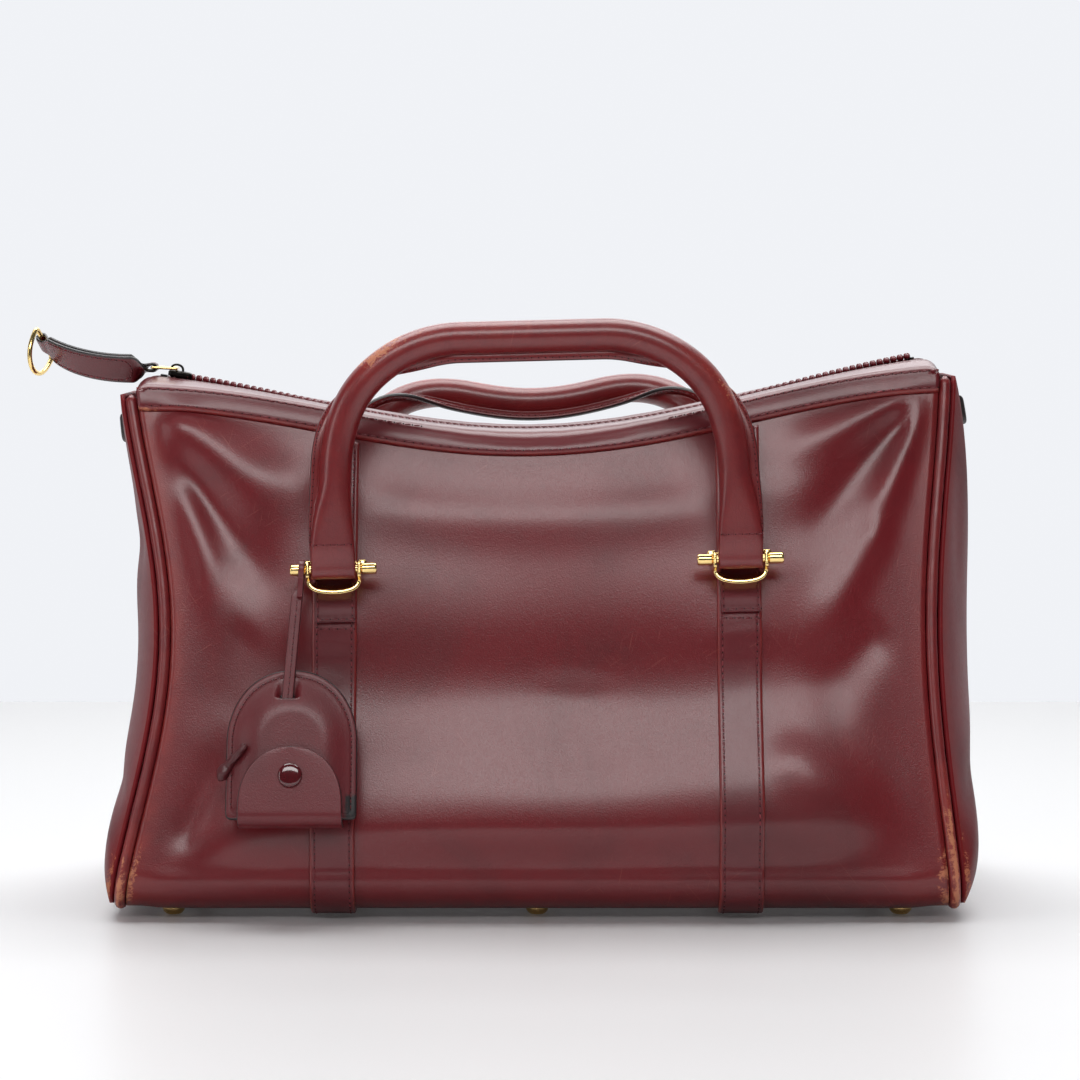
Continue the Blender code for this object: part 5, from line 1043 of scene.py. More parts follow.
def build_wrap():
    """The leather that makes the front, the bottom and the back."""
    half = SEAM_HALF_LENGTH - PIPING_RADIUS - GAP
    x = np.linspace(-half, half, 142)[:, None]
    v = even_stations(0.0)[None, :]
    outer, inner = skin(x, v), skin(x, v, -LEATHER)
    points, faces = sheet_parts(outer, inner)
    xs, vs = np.broadcast_arrays(x, v)
    front = np.where(vs > 2.5, 5.0 - vs, vs)
    z = outer[..., 2]
    edge = smooth((np.abs(xs) - 0.128) / 0.024)
    # Partly painted highlight: the bright red strip along each end seam, stronger on the left,
    # stands for the sheen of a lit ridge as well as rubbing. The strip low down is rubbing.
    rubbed = edge * bell(np.abs(xs), 0.1535, 0.0046) * np.where(xs < 0, 0.75, 0.35)
    rubbed = np.maximum(rubbed, 0.35 * edge * smooth((0.03 - z) / 0.02))
    corner = smooth((np.abs(xs) - 0.138) / 0.015) * smooth((0.036 - z) / 0.018)
    worn = corner * np.where(front < 2.05, np.where(xs > 0, 0.66, 0.32), 0.25)
    worn = np.maximum(worn, smooth((np.abs(xs) - 0.147) / 0.006) * smooth((0.05 - z) / 0.03) * 0.8)
    shoulder = smooth((np.abs(xs) - 0.15) / 0.004) * smooth((z - 0.165) / 0.02)
    worn = np.maximum(worn, 0.28 * shoulder)
    piece = make_piece("soft_body", points, faces, finish("calf"),
                       on_outside(worn.size, rubbed=rubbed, worn=worn))
    return settle(piece, "bag", ("body_wrap",))


def seam_line(side):
    """Points and ways out along the middle line of an end seam, front top to back top."""
    x = side * SEAM_HALF_LENGTH
    start = v_at_height(x, band_top(x) - PIPING_TOP_DROP)
    v = even_stations(float(start), 96, 16, 26)
    points = wrap_point(np.full_like(v, x), v)
    ways = surface_way(wrap_point, np.full_like(v, x), v)
    return points - ways * PIPING_INSET, ways, v


def build_piping(side, word):
    """The rolled welt in an end seam, with its ends rounded in."""
    centres, ways, _ = seam_line(side)
    _, ups, across = path_frames(centres, ways)
    if np.mean(across[:, 0]) * side < 0:
        across = -across
    ring = circle(16)
    section = ring * PIPING_RADIUS
    reach = np.concatenate(((0.0,), np.cumsum(np.linalg.norm(np.diff(centres, axis=0), axis=1))))
    end = np.minimum(reach, reach[-1] - reach)
    size = np.sqrt(np.clip(1.0 - (1.0 - np.clip(end / PIPING_RADIUS, 0.0, 1.0)) ** 2, 0.04, 1.0))
    ripple = 1.0 + 0.018 * np.sin(reach / 0.0041) + 0.012 * np.sin(reach / 0.0017)
    sections = section[None] * (size * ripple)[:, None, None]
    rings = sweep(centres, ups, across, sections)
    points, faces = tube_parts(rings)
    z = centres[:, 2]
    low = smooth(((0.075 if side > 0 else 0.05) - z) / 0.04)
    outward = np.clip(ring[:, 1], 0.0, 1.0)[None, :]
    worn = low[:, None] * (0.3 + 0.5 * outward) + 0.22 * bell(ring[:, 0], 0.45, 0.22)[None, :]
    worn = worn + 0.35 * smooth((z - 0.185) / 0.012)[:, None] * outward
    rubbed = np.clip(0.1 + 0.4 * outward + 0.5 * low[:, None], 0.0, 1.0)
    values = {"worn": np.append(np.clip(worn, 0.0, 1.0).ravel(), (0.3, 0.3)),
              "rubbed": np.append(rubbed.ravel(), (0.5, 0.5))}
    piece = make_piece(word + "_rolled_piping", points, faces, finish("trim"), values)
    return settle(piece, "bag", (word + "_piping",))


def end_dents(side, y, z):
    """Soft creases of an end panel, in metres."""
    y, z = 1000.0 * y, 1000.0 * z
    if side < 0:
        made = (-1.6 * bell(z, 135.0 - 0.15 * y, 9.0) * bell(y, -30.0, 34.0)
                - 1.3 * bell(z, 60.0 + 0.3 * y, 7.0) * bell(y, -45.0, 30.0)
                + 1.4 * bell(y, 0.0, 16.0) * bell(z, 120.0, 50.0)
                - 1.4 * bell(y, 24.0, 9.0) * bell(z, 150.0, 34.0))
    else:
        made = (1.3 * bell(y, -6.0, 17.0) * bell(z, 110.0, 55.0)
                - 1.5 * bell(y, 22.0, 10.0) * bell(z, 140.0, 38.0)
                - 1.1 * bell(z, 66.0 + 0.35 * y, 8.0) * bell(y, -30.0, 34.0)
                - 0.9 * bell(y, -28.0, 8.0) * bell(z, 150.0, 30.0))
    return 0.001 * made


def end_surface(side, y, z, share):
    """Points on the outside of an end panel."""
    calm = smooth((1.0 - share) / 0.35)
    swell = END_BULGE * (1.0 - share ** blend(END_SWELL, 4.5, smooth((0.05 - z) / 0.04)))
    swell = swell * (0.8 - 0.42 * smooth((z - 0.11) / 0.055) if side < 0 else 1.05)
    out = PIPING_RADIUS + GAP + LEATHER + swell
    out = out + calm * end_dents(side, y, z)
    x = side * SEAM_HALF_LENGTH + waist_shift(np.full_like(z, side * SEAM_HALF_LENGTH), z)
    return np.stack((x + side * out, y, z), axis=-1)


def build_end_panel(side, word):
    """One end of the bag, swelling past its piping."""
    rim, _, _ = seam_line(side)
    over = np.stack([blend(rim[-1], rim[0], s) for s in np.linspace(0.0, 1.0, 26)[1:-1]])
    rim = np.concatenate((rim[::2], over))
    shares = 1.0 - np.linspace(0.0, 0.985, 44) ** 1.25
    y = rim[None, :, 1] * shares[:, None]
    z = blend(END_CENTRE_HEIGHT, rim[None, :, 2], shares[:, None])
    share = np.broadcast_to(shares[:, None], y.shape)
    outer = end_surface(side, y, z, share)
    inner = outer - np.array((side * LEATHER, 0.0, 0.0))
    points, faces = disc_parts(outer, inner)
    near = smooth((share - 0.86) / 0.12)
    worn = near * (0.2 + 0.6 * smooth((0.06 - z) / 0.05))
    rubbed = near * 0.3
    piece = make_piece(word + "_end", points, faces, finish("ends"),
                       on_outside(worn.size + 2, worn=worn, rubbed=rubbed))
    return settle(piece, "bag", (word + "_end_panel",))


def build_end_tab(side, word):
    """The small black tab sewn to the end, thick and rounded, a little curled."""
    top = band_top(side * SEAM_HALF_LENGTH) - PIPING_TOP_DROP - END_TAB_DROP
    rows, columns = 26, 22
    u = np.linspace(-1.0, 1.0, columns)[None, :]
    w = np.linspace(0.0, 1.0, rows)[:, None]
    round_end = np.sqrt(np.clip(1.0 - np.clip((w - 0.62) / 0.38, 0.0, 1.0) ** 2.4, 0.05, 1.0))
    y = 0.5 * END_TAB_WIDTH * u * round_end
    z = np.broadcast_to(top - END_TAB_HEIGHT * w, y.shape)
    rise = (z - END_CENTRE_HEIGHT) / (band_top(side * SEAM_HALF_LENGTH) - PIPING_TOP_DROP
                                      - END_CENTRE_HEIGHT)
    base = end_surface(side, y, z, np.clip(rise, 0.0, 1.0))
    pillow = np.sqrt(np.clip(1.0 - np.abs(u) ** 6, 0.0, 1.0)) * np.sqrt(
        np.clip(1.0 - np.abs(2.0 * w - 1.0) ** 8, 0.0, 1.0))
    lift = GAP + 0.0004 + (END_TAB_THICKNESS + 0.0006) * pillow
    outer = base + lift[..., None] * np.array((side, 0.0, 0.0))
    inner = base + np.array((side * GAP, 0.0, 0.0))
    points, faces = sheet_parts(outer, inner)
    piece = make_piece(word + "_black_tab", points, faces, finish("edge"))
    return settle(piece, "bag", (word + "_end_tab",))


def band_section(x, steps=9):
    """One cross-section of the front band: outer line from lower edge to the lip by the zip."""
    drop = float(BAND_HEIGHT - BAND_THICKNESS) / float(wrap_top(x) - FACE_START_Z)
    roll = float(bell(x, 0.002, 0.052))
    full = GAP + BAND_THICKNESS
    v = np.linspace(drop, drop * blend(0.16, 0.5, roll), steps)
    lift = full + 0.00035 * np.sin(np.pi * np.linspace(0.0, 1.0, steps))
    lift[0] = GAP + 0.0003
    lift[1] = full - 0.0001
    face = skin(np.full(steps, x), v, lift)
    corner = skin(np.array(x), np.array(0.0), full) + np.array((0.0, 0.0, GAP))
    top = float(band_top(x))
    lip = np.array((x + float(waist_shift(np.array(x), np.array(top))), -BAND_LIP_FROM_ZIP,
                    float(lip_height(x))))
    flat_start = blend(corner, lip, blend(0.16, 0.45, roll)) + np.array((0.0, 0.0, 0.0002))
    share = np.linspace(0.0, 1.0, steps)[1:, None]
    bend = ((1 - share) ** 2 * face[-1] + 2 * share * (1 - share) * corner
            + share ** 2 * flat_start)
    lip_share = np.linspace(0.0, 1.0, 5)[1:, None]
    deck = blend(flat_start, lip, lip_share)
    over = np.concatenate((bend, deck))
    low = float(np.clip((abs(x) - BAND_HALF_LENGTH + 0.0045) / 0.0045, 0.0, 1.0)) ** 2
    over[:, 2] -= 0.0022 * low * np.linspace(0.4, 1.0, len(over)) ** 0.5
    return np.concatenate((face, over))


def build_band(side, word):
    """The stitched facing along the zip, turned under at its lower edge."""
    xs = np.linspace(-BAND_HALF_LENGTH, BAND_HALF_LENGTH, 210)
    outer = np.stack([band_section(x) for x in xs])
    creased = bell(xs, 0.002, 0.06)[:, None] * np.sin(np.linspace(0.0, 1.0, outer.shape[1])
                                                      * np.pi)[None, :]
    wave = (np.sin(xs / 0.0019) + 0.7 * np.sin(xs / 0.0031 + 1.0))[:, None]
    ahead = np.gradient(outer, axis=0)
    down = np.gradient(outer, axis=1)
    out = unit(np.cross(down, ahead))
    out = out * np.sign(np.mean(out[..., 2]) or 1.0)
    outer = outer + out * (0.00007 * wave * creased)[..., None]
    ends = np.clip((BAND_HALF_LENGTH - np.abs(xs)) / 0.0012, 0.0, 1.0)
    thick = (BAND_THICKNESS * 0.92) * np.ones(outer.shape[1])
    thick[0] = 0.0003
    thick[1] = 0.0011
    inner = outer - out * (thick[None, :] * np.sqrt(np.clip(ends, 0.3, 1.0))[:, None])[..., None]
    mirror = np.array((1.0, side, 1.0))
    points, faces = sheet_parts(outer * mirror, inner * mirror)
    run = np.arange(outer.shape[1])
    low = np.where(run <= 1, 1.0, 0.0)[None, :] * np.ones((len(xs), 1))
    tip = smooth((np.abs(xs) - 0.1535) / 0.001)[:, None]
    left = smooth((-xs - 0.138) / 0.012)[:, None]
    worn = np.maximum(low * (0.34 + 0.5 * left), np.broadcast_to(tip * 0.6, low.shape))
    rubbed = low * 0.7
    piece = make_piece(word + "_band", points, faces, finish("trim"),
                       on_outside(worn.size, worn=worn, rubbed=rubbed))
    return settle(piece, "bag", (word + "_top_band",))


def band_rows(side):
    """The two stitch rows of a band: near its lower edge and near its upper fold."""
    mirror = np.array((1.0, side, 1.0))
    rows = []
    xs = np.linspace(-BAND_HALF_LENGTH + 0.0035, BAND_HALF_LENGTH - 0.002, 160)
    full = GAP + BAND_THICKNESS
    drop = (BAND_HEIGHT - BAND_THICKNESS) / (wrap_top(xs) - FACE_START_Z)
    for share in (0.82, 0.1):
        v = drop * share
        lift = full + 0.00035 * np.sin(np.pi * (1.0 - share)) + 0.00004
        points = skin(xs, v, np.full_like(xs, lift))
        ways = surface_way(soft_wrap, xs, v)
        if share > 0.5:
            rows.append((points * mirror, ways * mirror))
            continue
        for keep in (xs < -0.045, xs > 0.05):
            rows.append((points[keep] * mirror, ways[keep] * mirror))
    return rows


def build_tape(side, word):
    """The woven tape under the band's lip."""
    xs = np.linspace(-ZIP_HALF_LENGTH, ZIP_HALF_LENGTH, 120)
    chain = zip_top(xs) - CHAIN_HEIGHT - GAP
    lip = lip_height(xs) - BAND_THICKNESS - 2.0 * GAP
    share = (TAPE_OUTER - BAND_LIP_FROM_ZIP) / (TOP_HALF_DEPTH - BAND_LIP_FROM_ZIP)
    edge = blend(lip, band_top(xs) - BAND_THICKNESS - 2.0 * GAP, share)
    rows = ((-0.0006, chain), (-BEAD_OUTER, chain),
            (-0.005, blend(chain, np.minimum(lip, chain), 0.5)),
            (-BAND_LIP_FROM_ZIP, np.minimum(lip, chain)),
            (-TAPE_OUTER, np.minimum(edge, chain) - GAP))
    outer = np.stack([np.stack((xs, np.full_like(xs, y), z), axis=1) for y, z in rows], axis=1)
    inner = outer - np.array((0.0, 0.0, 0.0006))
    mirror = np.array((1.0, side, 1.0))
    points, faces = sheet_parts(outer * mirror, inner * mirror)
    piece = make_piece(word + "_tape", points, faces, finish("tape"))
    return settle(piece, "bag", (word + "_zip_tape",))


def zip_way(x):
    """The way up from the zip's teeth."""
    slope = (zip_top(x + 0.0005) - zip_top(x - 0.0005)) / 0.001
    return unit(np.stack((-slope, np.zeros_like(slope), np.ones_like(slope)), axis=-1))


def build_teeth(side, word):
    """One row of the zip's teeth, each rib and head along the sagging chain."""
    start = -ZIP_HALF_LENGTH + 0.5 * SLIDER_LENGTH + (0.0 if side > 0 else 0.5 * ZIP_PITCH)
    xs = np.linspace(start, ZIP_HALF_LENGTH - STOP_LENGTH, 140)
    y = -0.0011 * side
    points = np.stack((xs, np.full_like(xs, y), zip_top(xs) - 0.2 * CHAIN_HEIGHT), axis=1)
    ups = zip_way(xs)
    if side < 0:
        points, ups = points[::-1], ups[::-1]
    piece = along_rows(word + "_teeth", [(points, ups)], tooth_tree(),
                       {"Pitch": ZIP_PITCH, "Reach": 0.0042, "Rib": 0.00078, "Slant": 0.25,
                        "Tooth": finish("teeth")})
    return settle(piece, "bag", (word + "_zip_teeth",))


def slider_place():
    """The slider's middle on the teeth, with its ahead and up ways."""
    x = -ZIP_HALF_LENGTH + STOP_LENGTH + GAP + 0.5 * SLIDER_LENGTH
    here = np.array((x, 0.0, float(zip_top(x)) + SLIDER_CLEARANCE))
    ahead = unit(np.array((SLIDER_LENGTH, 0.0, float(zip_top(x + SLIDER_LENGTH) - zip_top(x)))))
    return here, ahead, np.array((-ahead[2], 0.0, ahead[0]))


def build_slider():
    """The slider: a waisted rounded body with a bridge over its link."""
    here, ahead, up = slider_place()
    side_way = np.array((0.0, 1.0, 0.0))
    rings = []
    for share in np.sin(np.linspace(-0.5, 0.5, 30) * math.pi):
        along = 0.5 * SLIDER_LENGTH * share
        end = math.sqrt(max(1.0 - abs(share) ** 5, 0.02))
        wide = SLIDER_HALF_WIDTH * (0.93 + 0.07 * math.cos(share * 5.0)) * end ** 0.6
        section = soft_box(wide, 0.00135 * (0.35 + 0.65 * end), 0.0008 * (0.3 + 0.7 * end), 4)
        rings.append([here + ahead * along + side_way * a + up * (b - 0.0003) for a, b in section])
    points, faces = tube_parts(rings)
    body = make_piece("slider_body", points, faces, finish("dark"), crease=50.0)
    settle(body, "slider", ("zip_slider",))
    path = []
    for angle in np.linspace(0.0, math.pi, 22):
        along = -LUG_OFFSET - 0.5 * LUG_LENGTH * math.cos(angle)
        path.append(here + ahead * along + up * (0.0006 + 0.0027 * math.sin(angle) ** 0.7))
    path = np.array(path)
    _, ups, across = path_frames(path, side_way)
    rings = sweep(path, ups, across, soft_box(0.00042, 0.001, 0.0003, 3))
    points, faces = tube_parts(rings)
    bridge = make_piece("slider_bridge", points, faces, finish("dark"))
    settle(bridge, "slider", ())


def heading(pitch_deg, yaw_deg):
    """Ways along, over and across a pull that points left, pitched up and yawed back."""
    pitch, yaw = math.radians(pitch_deg), math.radians(yaw_deg)
    along = np.array((-math.cos(yaw) * math.cos(pitch), math.sin(yaw) * math.cos(pitch),
                      math.sin(pitch)))
    across = np.array((-math.sin(yaw), -math.cos(yaw), 0.0))
    return along, np.cross(along, across), across


def link_pivot():
    """The middle of the link's near rod."""
    here, ahead, up = slider_place()
    return here - ahead * LUG_OFFSET + up * (SLIDER_PLATE + GAP + 0.5 * LUG_EYE_HEIGHT)


def link_bar():
    """The middle of the link's far rod."""
    return link_pivot() + heading(LINK_PITCH, 0.0)[0] * LINK_LENGTH


def build_link():
    """The gold link between the slider and the leather pull."""
    pivot = link_pivot()
    along, over, across = heading(LINK_PITCH, 0.0)
    wide = LINK_HALF_WIDTH - 0.5 * LINK_ROD
    corners = [(0.0, wide), (LINK_LENGTH, wide), (LINK_LENGTH, -wide), (0.0, -wide)]
    line = soften(resample(np.array(corners), 40, closed=True), 2, closed=True)
    path = pivot + along * line[:, :1] + across * line[:, 1:]
    _, ups, side = path_frames(path, over, closed=True)
    section = circle(14) * 0.5 * LINK_ROD
    points, faces = tube_parts(sweep(path, ups, side, section), closed=True)
    piece = make_piece("gold_link", points, faces, finish("gold"))
    return settle(piece, "pull_link", ("slider_ring",))


def pull_pin():
    """How far along the pull the ring's bar sits."""
    return PULL_LENGTH - RING_ROD - PULL_LOOP


def pull_frame(reach):
    """The pull's middle at a distance along it, with its along, thick and flat ways."""
    steps, pin, place = 24, pull_pin(), link_bar()
    for step in range(steps):
        bend = min(max((step + 0.5) / steps * reach / pin, 0.0), 1.0)
        pitch = blend(PULL_START_PITCH, PULL_END_PITCH, bend)
        place = place + heading(pitch, PULL_YAW * bend * bend)[0] * (reach / steps)
    bend = min(max(reach / pin, 0.0), 1.0)
    along, over, across = heading(blend(PULL_START_PITCH, PULL_END_PITCH, bend),
                                  PULL_YAW * bend * bend)
    roll = math.radians(PULL_ROLL) * float(smooth((reach - PULL_FLAT) / PULL_TURN))
    flat = across * math.cos(roll) + over * math.sin(roll)
    return place, along, over * math.cos(roll) - across * math.sin(roll), flat


def pull_half_width(reach):
    """Half the pull's width, with its tongue at the ring."""
    pin, loop = pull_pin(), PULL_LOOP + 0.5 * LINK_ROD
    end_loop = RING_ROD + PULL_LOOP
    narrow, full = LINK_HALF_WIDTH - LINK_ROD - GAP, 0.5 * PULL_WIDTH
    half = blend(narrow, full, float(smooth((reach - loop) / PULL_WIDEN)))
    tongue = pin - end_loop - PULL_TONGUE
    return half * blend(1.0, 0.52, float(smooth((reach - tongue) / PULL_TONGUE)))


def build_zip_strap():
    """The leather pull: two layers folded round the link and round the ring's bar."""
    pin, layer = pull_pin(), 0.5 * PULL_THICKNESS
    near, far = 0.5 * LINK_ROD + 0.00085, RING_ROD + 0.0008
    stations = []
    for reach in np.linspace(0.0016, pin - 0.0018, 84):
        stations.append((reach, 1.0))
    for angle in np.linspace(0.5, -0.5, 20)[1:-1] * math.pi:
        stations.append((pin + far * math.cos(angle), far * math.sin(angle) / (0.5 * layer)))
    for reach in np.linspace(pin - 0.0018, 0.0016, 84):
        stations.append((reach, -1.0))
    for angle in np.linspace(-0.5, -1.5, 20)[1:-1] * math.pi:
        stations.append((near * math.cos(angle), near * math.sin(angle) / (0.5 * layer)))
    path, flats, half = [], [], []
    for reach, height in stations:
        place, _, thick, flat = pull_frame(reach)
        open_near = max(near - 0.5 * layer, 0.0) * float(smooth(1.0 - reach / 0.0045))
        open_far = max(far - 0.5 * layer, 0.0) * float(smooth(1.0 - (pin - reach) / 0.0045))
        opened = 0.0 if abs(height) > 1.0001 else open_near + open_far
        path.append(place + thick * (height * 0.5 * layer + np.sign(height) * opened))
        flats.append(flat)
        half.append(pull_half_width(min(reach, pin)))
    path, flats, half = np.array(path), np.array(flats), np.array(half)
    _, ups, across = path_frames(path, flats, closed=True)
    box = soft_box(1.0, 1.0, 0.3, 3)
    sections = np.stack([np.stack((box[:, 0] * layer * 0.49, box[:, 1] * width), axis=1)
                         for width in half])
    rings = sweep(path, ups, across, sections)
    points, faces = tube_parts(rings, closed=True)
    paint = np.broadcast_to(np.where(np.abs(box[:, 1]) > 0.93, 1.0, 0.0), (len(path), len(box)))
    piece = make_piece("leather_pull", points, faces, finish("trim"),
                       {"paint": paint.ravel(), "worn": 0.25 * paint.ravel()})
    settle(piece, "zip_pull", ("zip_strap",))
    rows, seam_start, seam_end, margin = [], 0.0125, pin - 0.008, 0.0014
    for face in (1.0, -1.0):
        lines = [[(reach, edge * (pull_half_width(reach) - margin))
                  for reach in np.linspace(seam_start, seam_end, 50)] for edge in (-1.0, 1.0)]
        lines.append([(seam_start - 0.0045 * math.sin(math.pi * turn),
                       (pull_half_width(seam_start) - margin) * math.cos(math.pi * turn))
                      for turn in np.linspace(0.0, 1.0, 14)])
        for line in lines:
            row, ways = [], []
            for reach, wide in line:
                place, _, thick, flat = pull_frame(reach)
                row.append(place + flat * wide + thick * face * (layer + THREAD_LIFT))
                ways.append(thick * face)
            rows.append((row, ways))
    sew("pull_stitches", "zip_pull", rows, 0.0024, 0.85)


def build_pull_ring():
    """The gold ring at the pull's end, a straight bar with a round bow."""
    pivot, _, _, flat = pull_frame(pull_pin())
    bow = np.array((0.0, 0.0, -1.0))
    bow = unit(bow - flat * np.dot(bow, flat))
    normal = np.cross(flat, bow)
    half, corner = RING_HALF_BAR, RING_BEND
    line = [(half - corner, 0.0), (half - 0.3 * corner, 0.3 * corner), (half, corner)]
    for angle in np.linspace(0.0, math.pi, 40)[1:-1]:
        line.append((half * math.cos(angle), blend(corner, RING_BOW, math.sin(angle) ** 0.8)))
    line += [(-half, corner), (0.3 * corner - half, 0.3 * corner), (corner - half, 0.0)]
    line = resample(np.array(line), 110, closed=True)
    path = pivot + flat * line[:, :1] + bow * line[:, 1:]
    _, ups, across = path_frames(path, normal, closed=True)
    points, faces = tube_parts(sweep(path, ups, across, circle(16) * RING_ROD), closed=True)
    piece = make_piece("gold_ring", points, faces, finish("gold"))
    return settle(piece, "pull_ring", ("zip_strap_ring",))


def build_strap(side, word):
    """A strap sewn down the front, under the bottom and up the back."""
    middle = side * STRAP_X
    start = float((BAND_HEIGHT + GAP) / (wrap_top(middle) - FACE_START_Z))
    v = even_stations(start, 120, 14, 30)
    across = np.array((-1.0, -0.985, -0.95, -0.87, -0.82, -0.775, -0.73, -0.68, -0.5, -0.25, 0.0,
                       0.25, 0.5, 0.68, 0.73, 0.775, 0.82, 0.87, 0.95, 0.985, 1.0))
    x = middle + 0.5 * STRAP_WIDTH * across
    lift = np.full(len(across), STRAP_THICKNESS)
    lift[[0, -1]] = 0.0003
    lift[[1, -2]] = 0.0011
    lift[[2, -3]] = 0.0015
    lift[[5, -6]] = STRAP_THICKNESS - 0.00016
    face = np.where(v > 2.5, 5.0 - v, v)
    height = blend(wrap_top(middle), FACE_START_Z, np.clip(face, 0.0, 1.0))
    tail = FITTING_HEIGHT + 0.5 * side * FITTING_RISE - CHAPE_DROP - 0.0035
    seam = 0.00022 * bell(height, tail, 0.0006) * (face <= 1.0)
    full = lift[None, :] - seam[:, None]
    outer = skin(x[None, :], v[:, None], GAP + full)
    inner = skin(x[None, :], v[:, None], np.full(full.shape, GAP))
    points, faces = sheet_parts(outer, inner)
    edge = np.where(np.abs(across) > 0.94, 1.0, 0.0)[None, :] * np.ones((len(v), 1))
    worn = edge * (0.3 + 0.3 * smooth((0.03 - outer[..., 2]) / 0.02))
    rubbed = edge * 0.7
    piece = make_piece(word + "_sewn_strap", points, faces, finish("trim"),
                       on_outside(worn.size, worn=worn,
                                  rubbed=np.broadcast_to(rubbed, worn.shape)))
    return settle(piece, "bag", (word + "_strap",))


def strap_rows(side):
    """Two rows down a strap and the crosswise double seam under the fitting."""
    middle = side * STRAP_X
    start = float((BAND_HEIGHT + GAP) / (wrap_top(middle) - FACE_START_Z)) + 0.004
    v = even_stations(start, 100, 12, 26)
    rows = []
    for edge in (-0.775, 0.775):
        x = np.full_like(v, middle + 0.5 * STRAP_WIDTH * edge)
        rows.append((skin(x, v, np.full_like(v, GAP + STRAP_THICKNESS - 0.0001)),
                     surface_way(soft_wrap, x, v)))
    tail = FITTING_HEIGHT + 0.5 * side * FITTING_RISE - CHAPE_DROP
    x = np.linspace(middle - 0.37 * STRAP_WIDTH, middle + 0.37 * STRAP_WIDTH, 12)
    share = v_at_height(x, tail - 0.0012)
    for way in (share, 5.0 - share):
        rows.append((skin(x, way, np.full_like(x, GAP + STRAP_THICKNESS)),
                     surface_way(soft_wrap, x, way)))
    return rows


class PanelFrame:
    """Ways along, down and out on the front or the back, where the fittings sit."""

    def __init__(self, face):
        self.face = face
        left, right = [wrap_point(side * STRAP_X, v_at_height(
            side * STRAP_X, FITTING_HEIGHT + 0.5 * side * FITTING_RISE)) for side in (-1.0, 1.0)]
        self.along = unit(right - left)
        out = self.plain_way(STRAP_X, v_at_height(STRAP_X, FITTING_HEIGHT))
        self.out = unit(out - self.along * np.dot(out, self.along))
        self.down = unit(np.cross(self.along, self.out))
        if self.down[2] > 0:
            self.down = -self.down
        fall = np.array((0.0, 0.0, -1.0))
        self.plumb = unit(fall - self.out * np.dot(fall, self.out))
        self.level = np.cross(self.out, self.plumb)
        self.middle = 0.5 * (left + right)
        self.half_span = 0.5 * np.linalg.norm(right - left)
        self.mirror = np.array((1.0, face, 1.0))
        self.bar_out = (GAP + STRAP_THICKNESS + CHAPE_GAP + CHAPE_THICKNESS + BAR_CLEARANCE
                        + 0.5 * BAR_SIZE)
        self.cross_out = self.bar_out + CROSS_BAR_OUT

    @staticmethod
    def plain_way(x, v):
        """The way out of the unfolded wrap."""
        step, rise = 0.0002, 0.0002 / TOP_HEIGHT
        along_x = wrap_point(x + step, v) - wrap_point(x - step, v)
        along_v = wrap_point(x, v + rise) - wrap_point(x, v - rise)
        return unit(np.cross(along_v, along_x))

    def place(self, along, down, out):
        """World points at distances along, down and out from the panel's middle."""
        along, down, out = [np.asarray(part, float)[..., None] for part in (along, down, out)]
        return (self.middle + self.along * along + self.down * down + self.out * out) * self.mirror

    def way(self, direction):
        """A direction of this frame in the world."""
        return direction * self.mirror


def build_chape(panel, side, label):
    """The sewn loop that hooks round the stirrup's upper bar."""
    middle, bar_out = side * panel.half_span, panel.bar_out
    reach = 0.5 * BAR_SIZE + BAR_CLEARANCE
    low = bar_out - reach
    line = [(CHAPE_DROP, low), (0.5 * CHAPE_DROP, low), (0.0, low)]
    ways = [(0.0, -1.0)] * 3
    for angle in np.linspace(0.0, math.pi, 22):
        line.append((-BAR_RISE - reach * math.sin(angle), bar_out - reach * math.cos(angle)))
        ways.append((-math.sin(angle), -math.cos(angle)))
    line.append((-BAR_RISE + CHAPE_TAIL, bar_out + reach))
    ways.append((0.0, 1.0))
    line, ways = np.array(line), np.array(ways)
    u = np.array((-1.0, -0.98, -0.93, -0.8, -0.4, 0.0, 0.4, 0.8, 0.93, 0.98, 1.0))
    thick = CHAPE_THICKNESS * np.array((0.4, 0.75, 1, 1, 1, 1, 1, 1, 1, 0.75, 0.4))
    along = middle + 0.5 * CHAPE_WIDTH * u
    outer = panel.place(along[None, :], line[:, :1] + ways[:, :1] * thick,
                        line[:, 1:] + ways[:, 1:] * thick)
    inner = panel.place(along[None, :], line[:, :1], line[:, 1:])
    points, faces = sheet_parts(outer, inner)
    worn = np.broadcast_to(np.where(np.abs(u) > 0.95, 0.35, 0.0), (len(line), len(u)))
    piece = make_piece(label + "_loop", points, faces, finish("trim"),
                       on_outside(worn.size, worn=worn))
    settle(piece, "bag", (label + "_strap_loop",))
    fall = np.linspace(-0.5 * BAR_RISE, CHAPE_DROP - 0.0006, 30)
    rows = [(fall, np.full_like(fall, middle + 0.44 * CHAPE_WIDTH * edge)) for edge in (-1.0, 1.0)]
    wide = np.linspace(-0.42, 0.42, 10) * CHAPE_WIDTH
    rows.append((np.full_like(wide, CHAPE_DROP - 0.0008), middle + wide))
    surface = low + CHAPE_THICKNESS
    return [(panel.place(beside, down, np.full_like(down, surface)), panel.way(panel.out))
            for down, beside in rows]


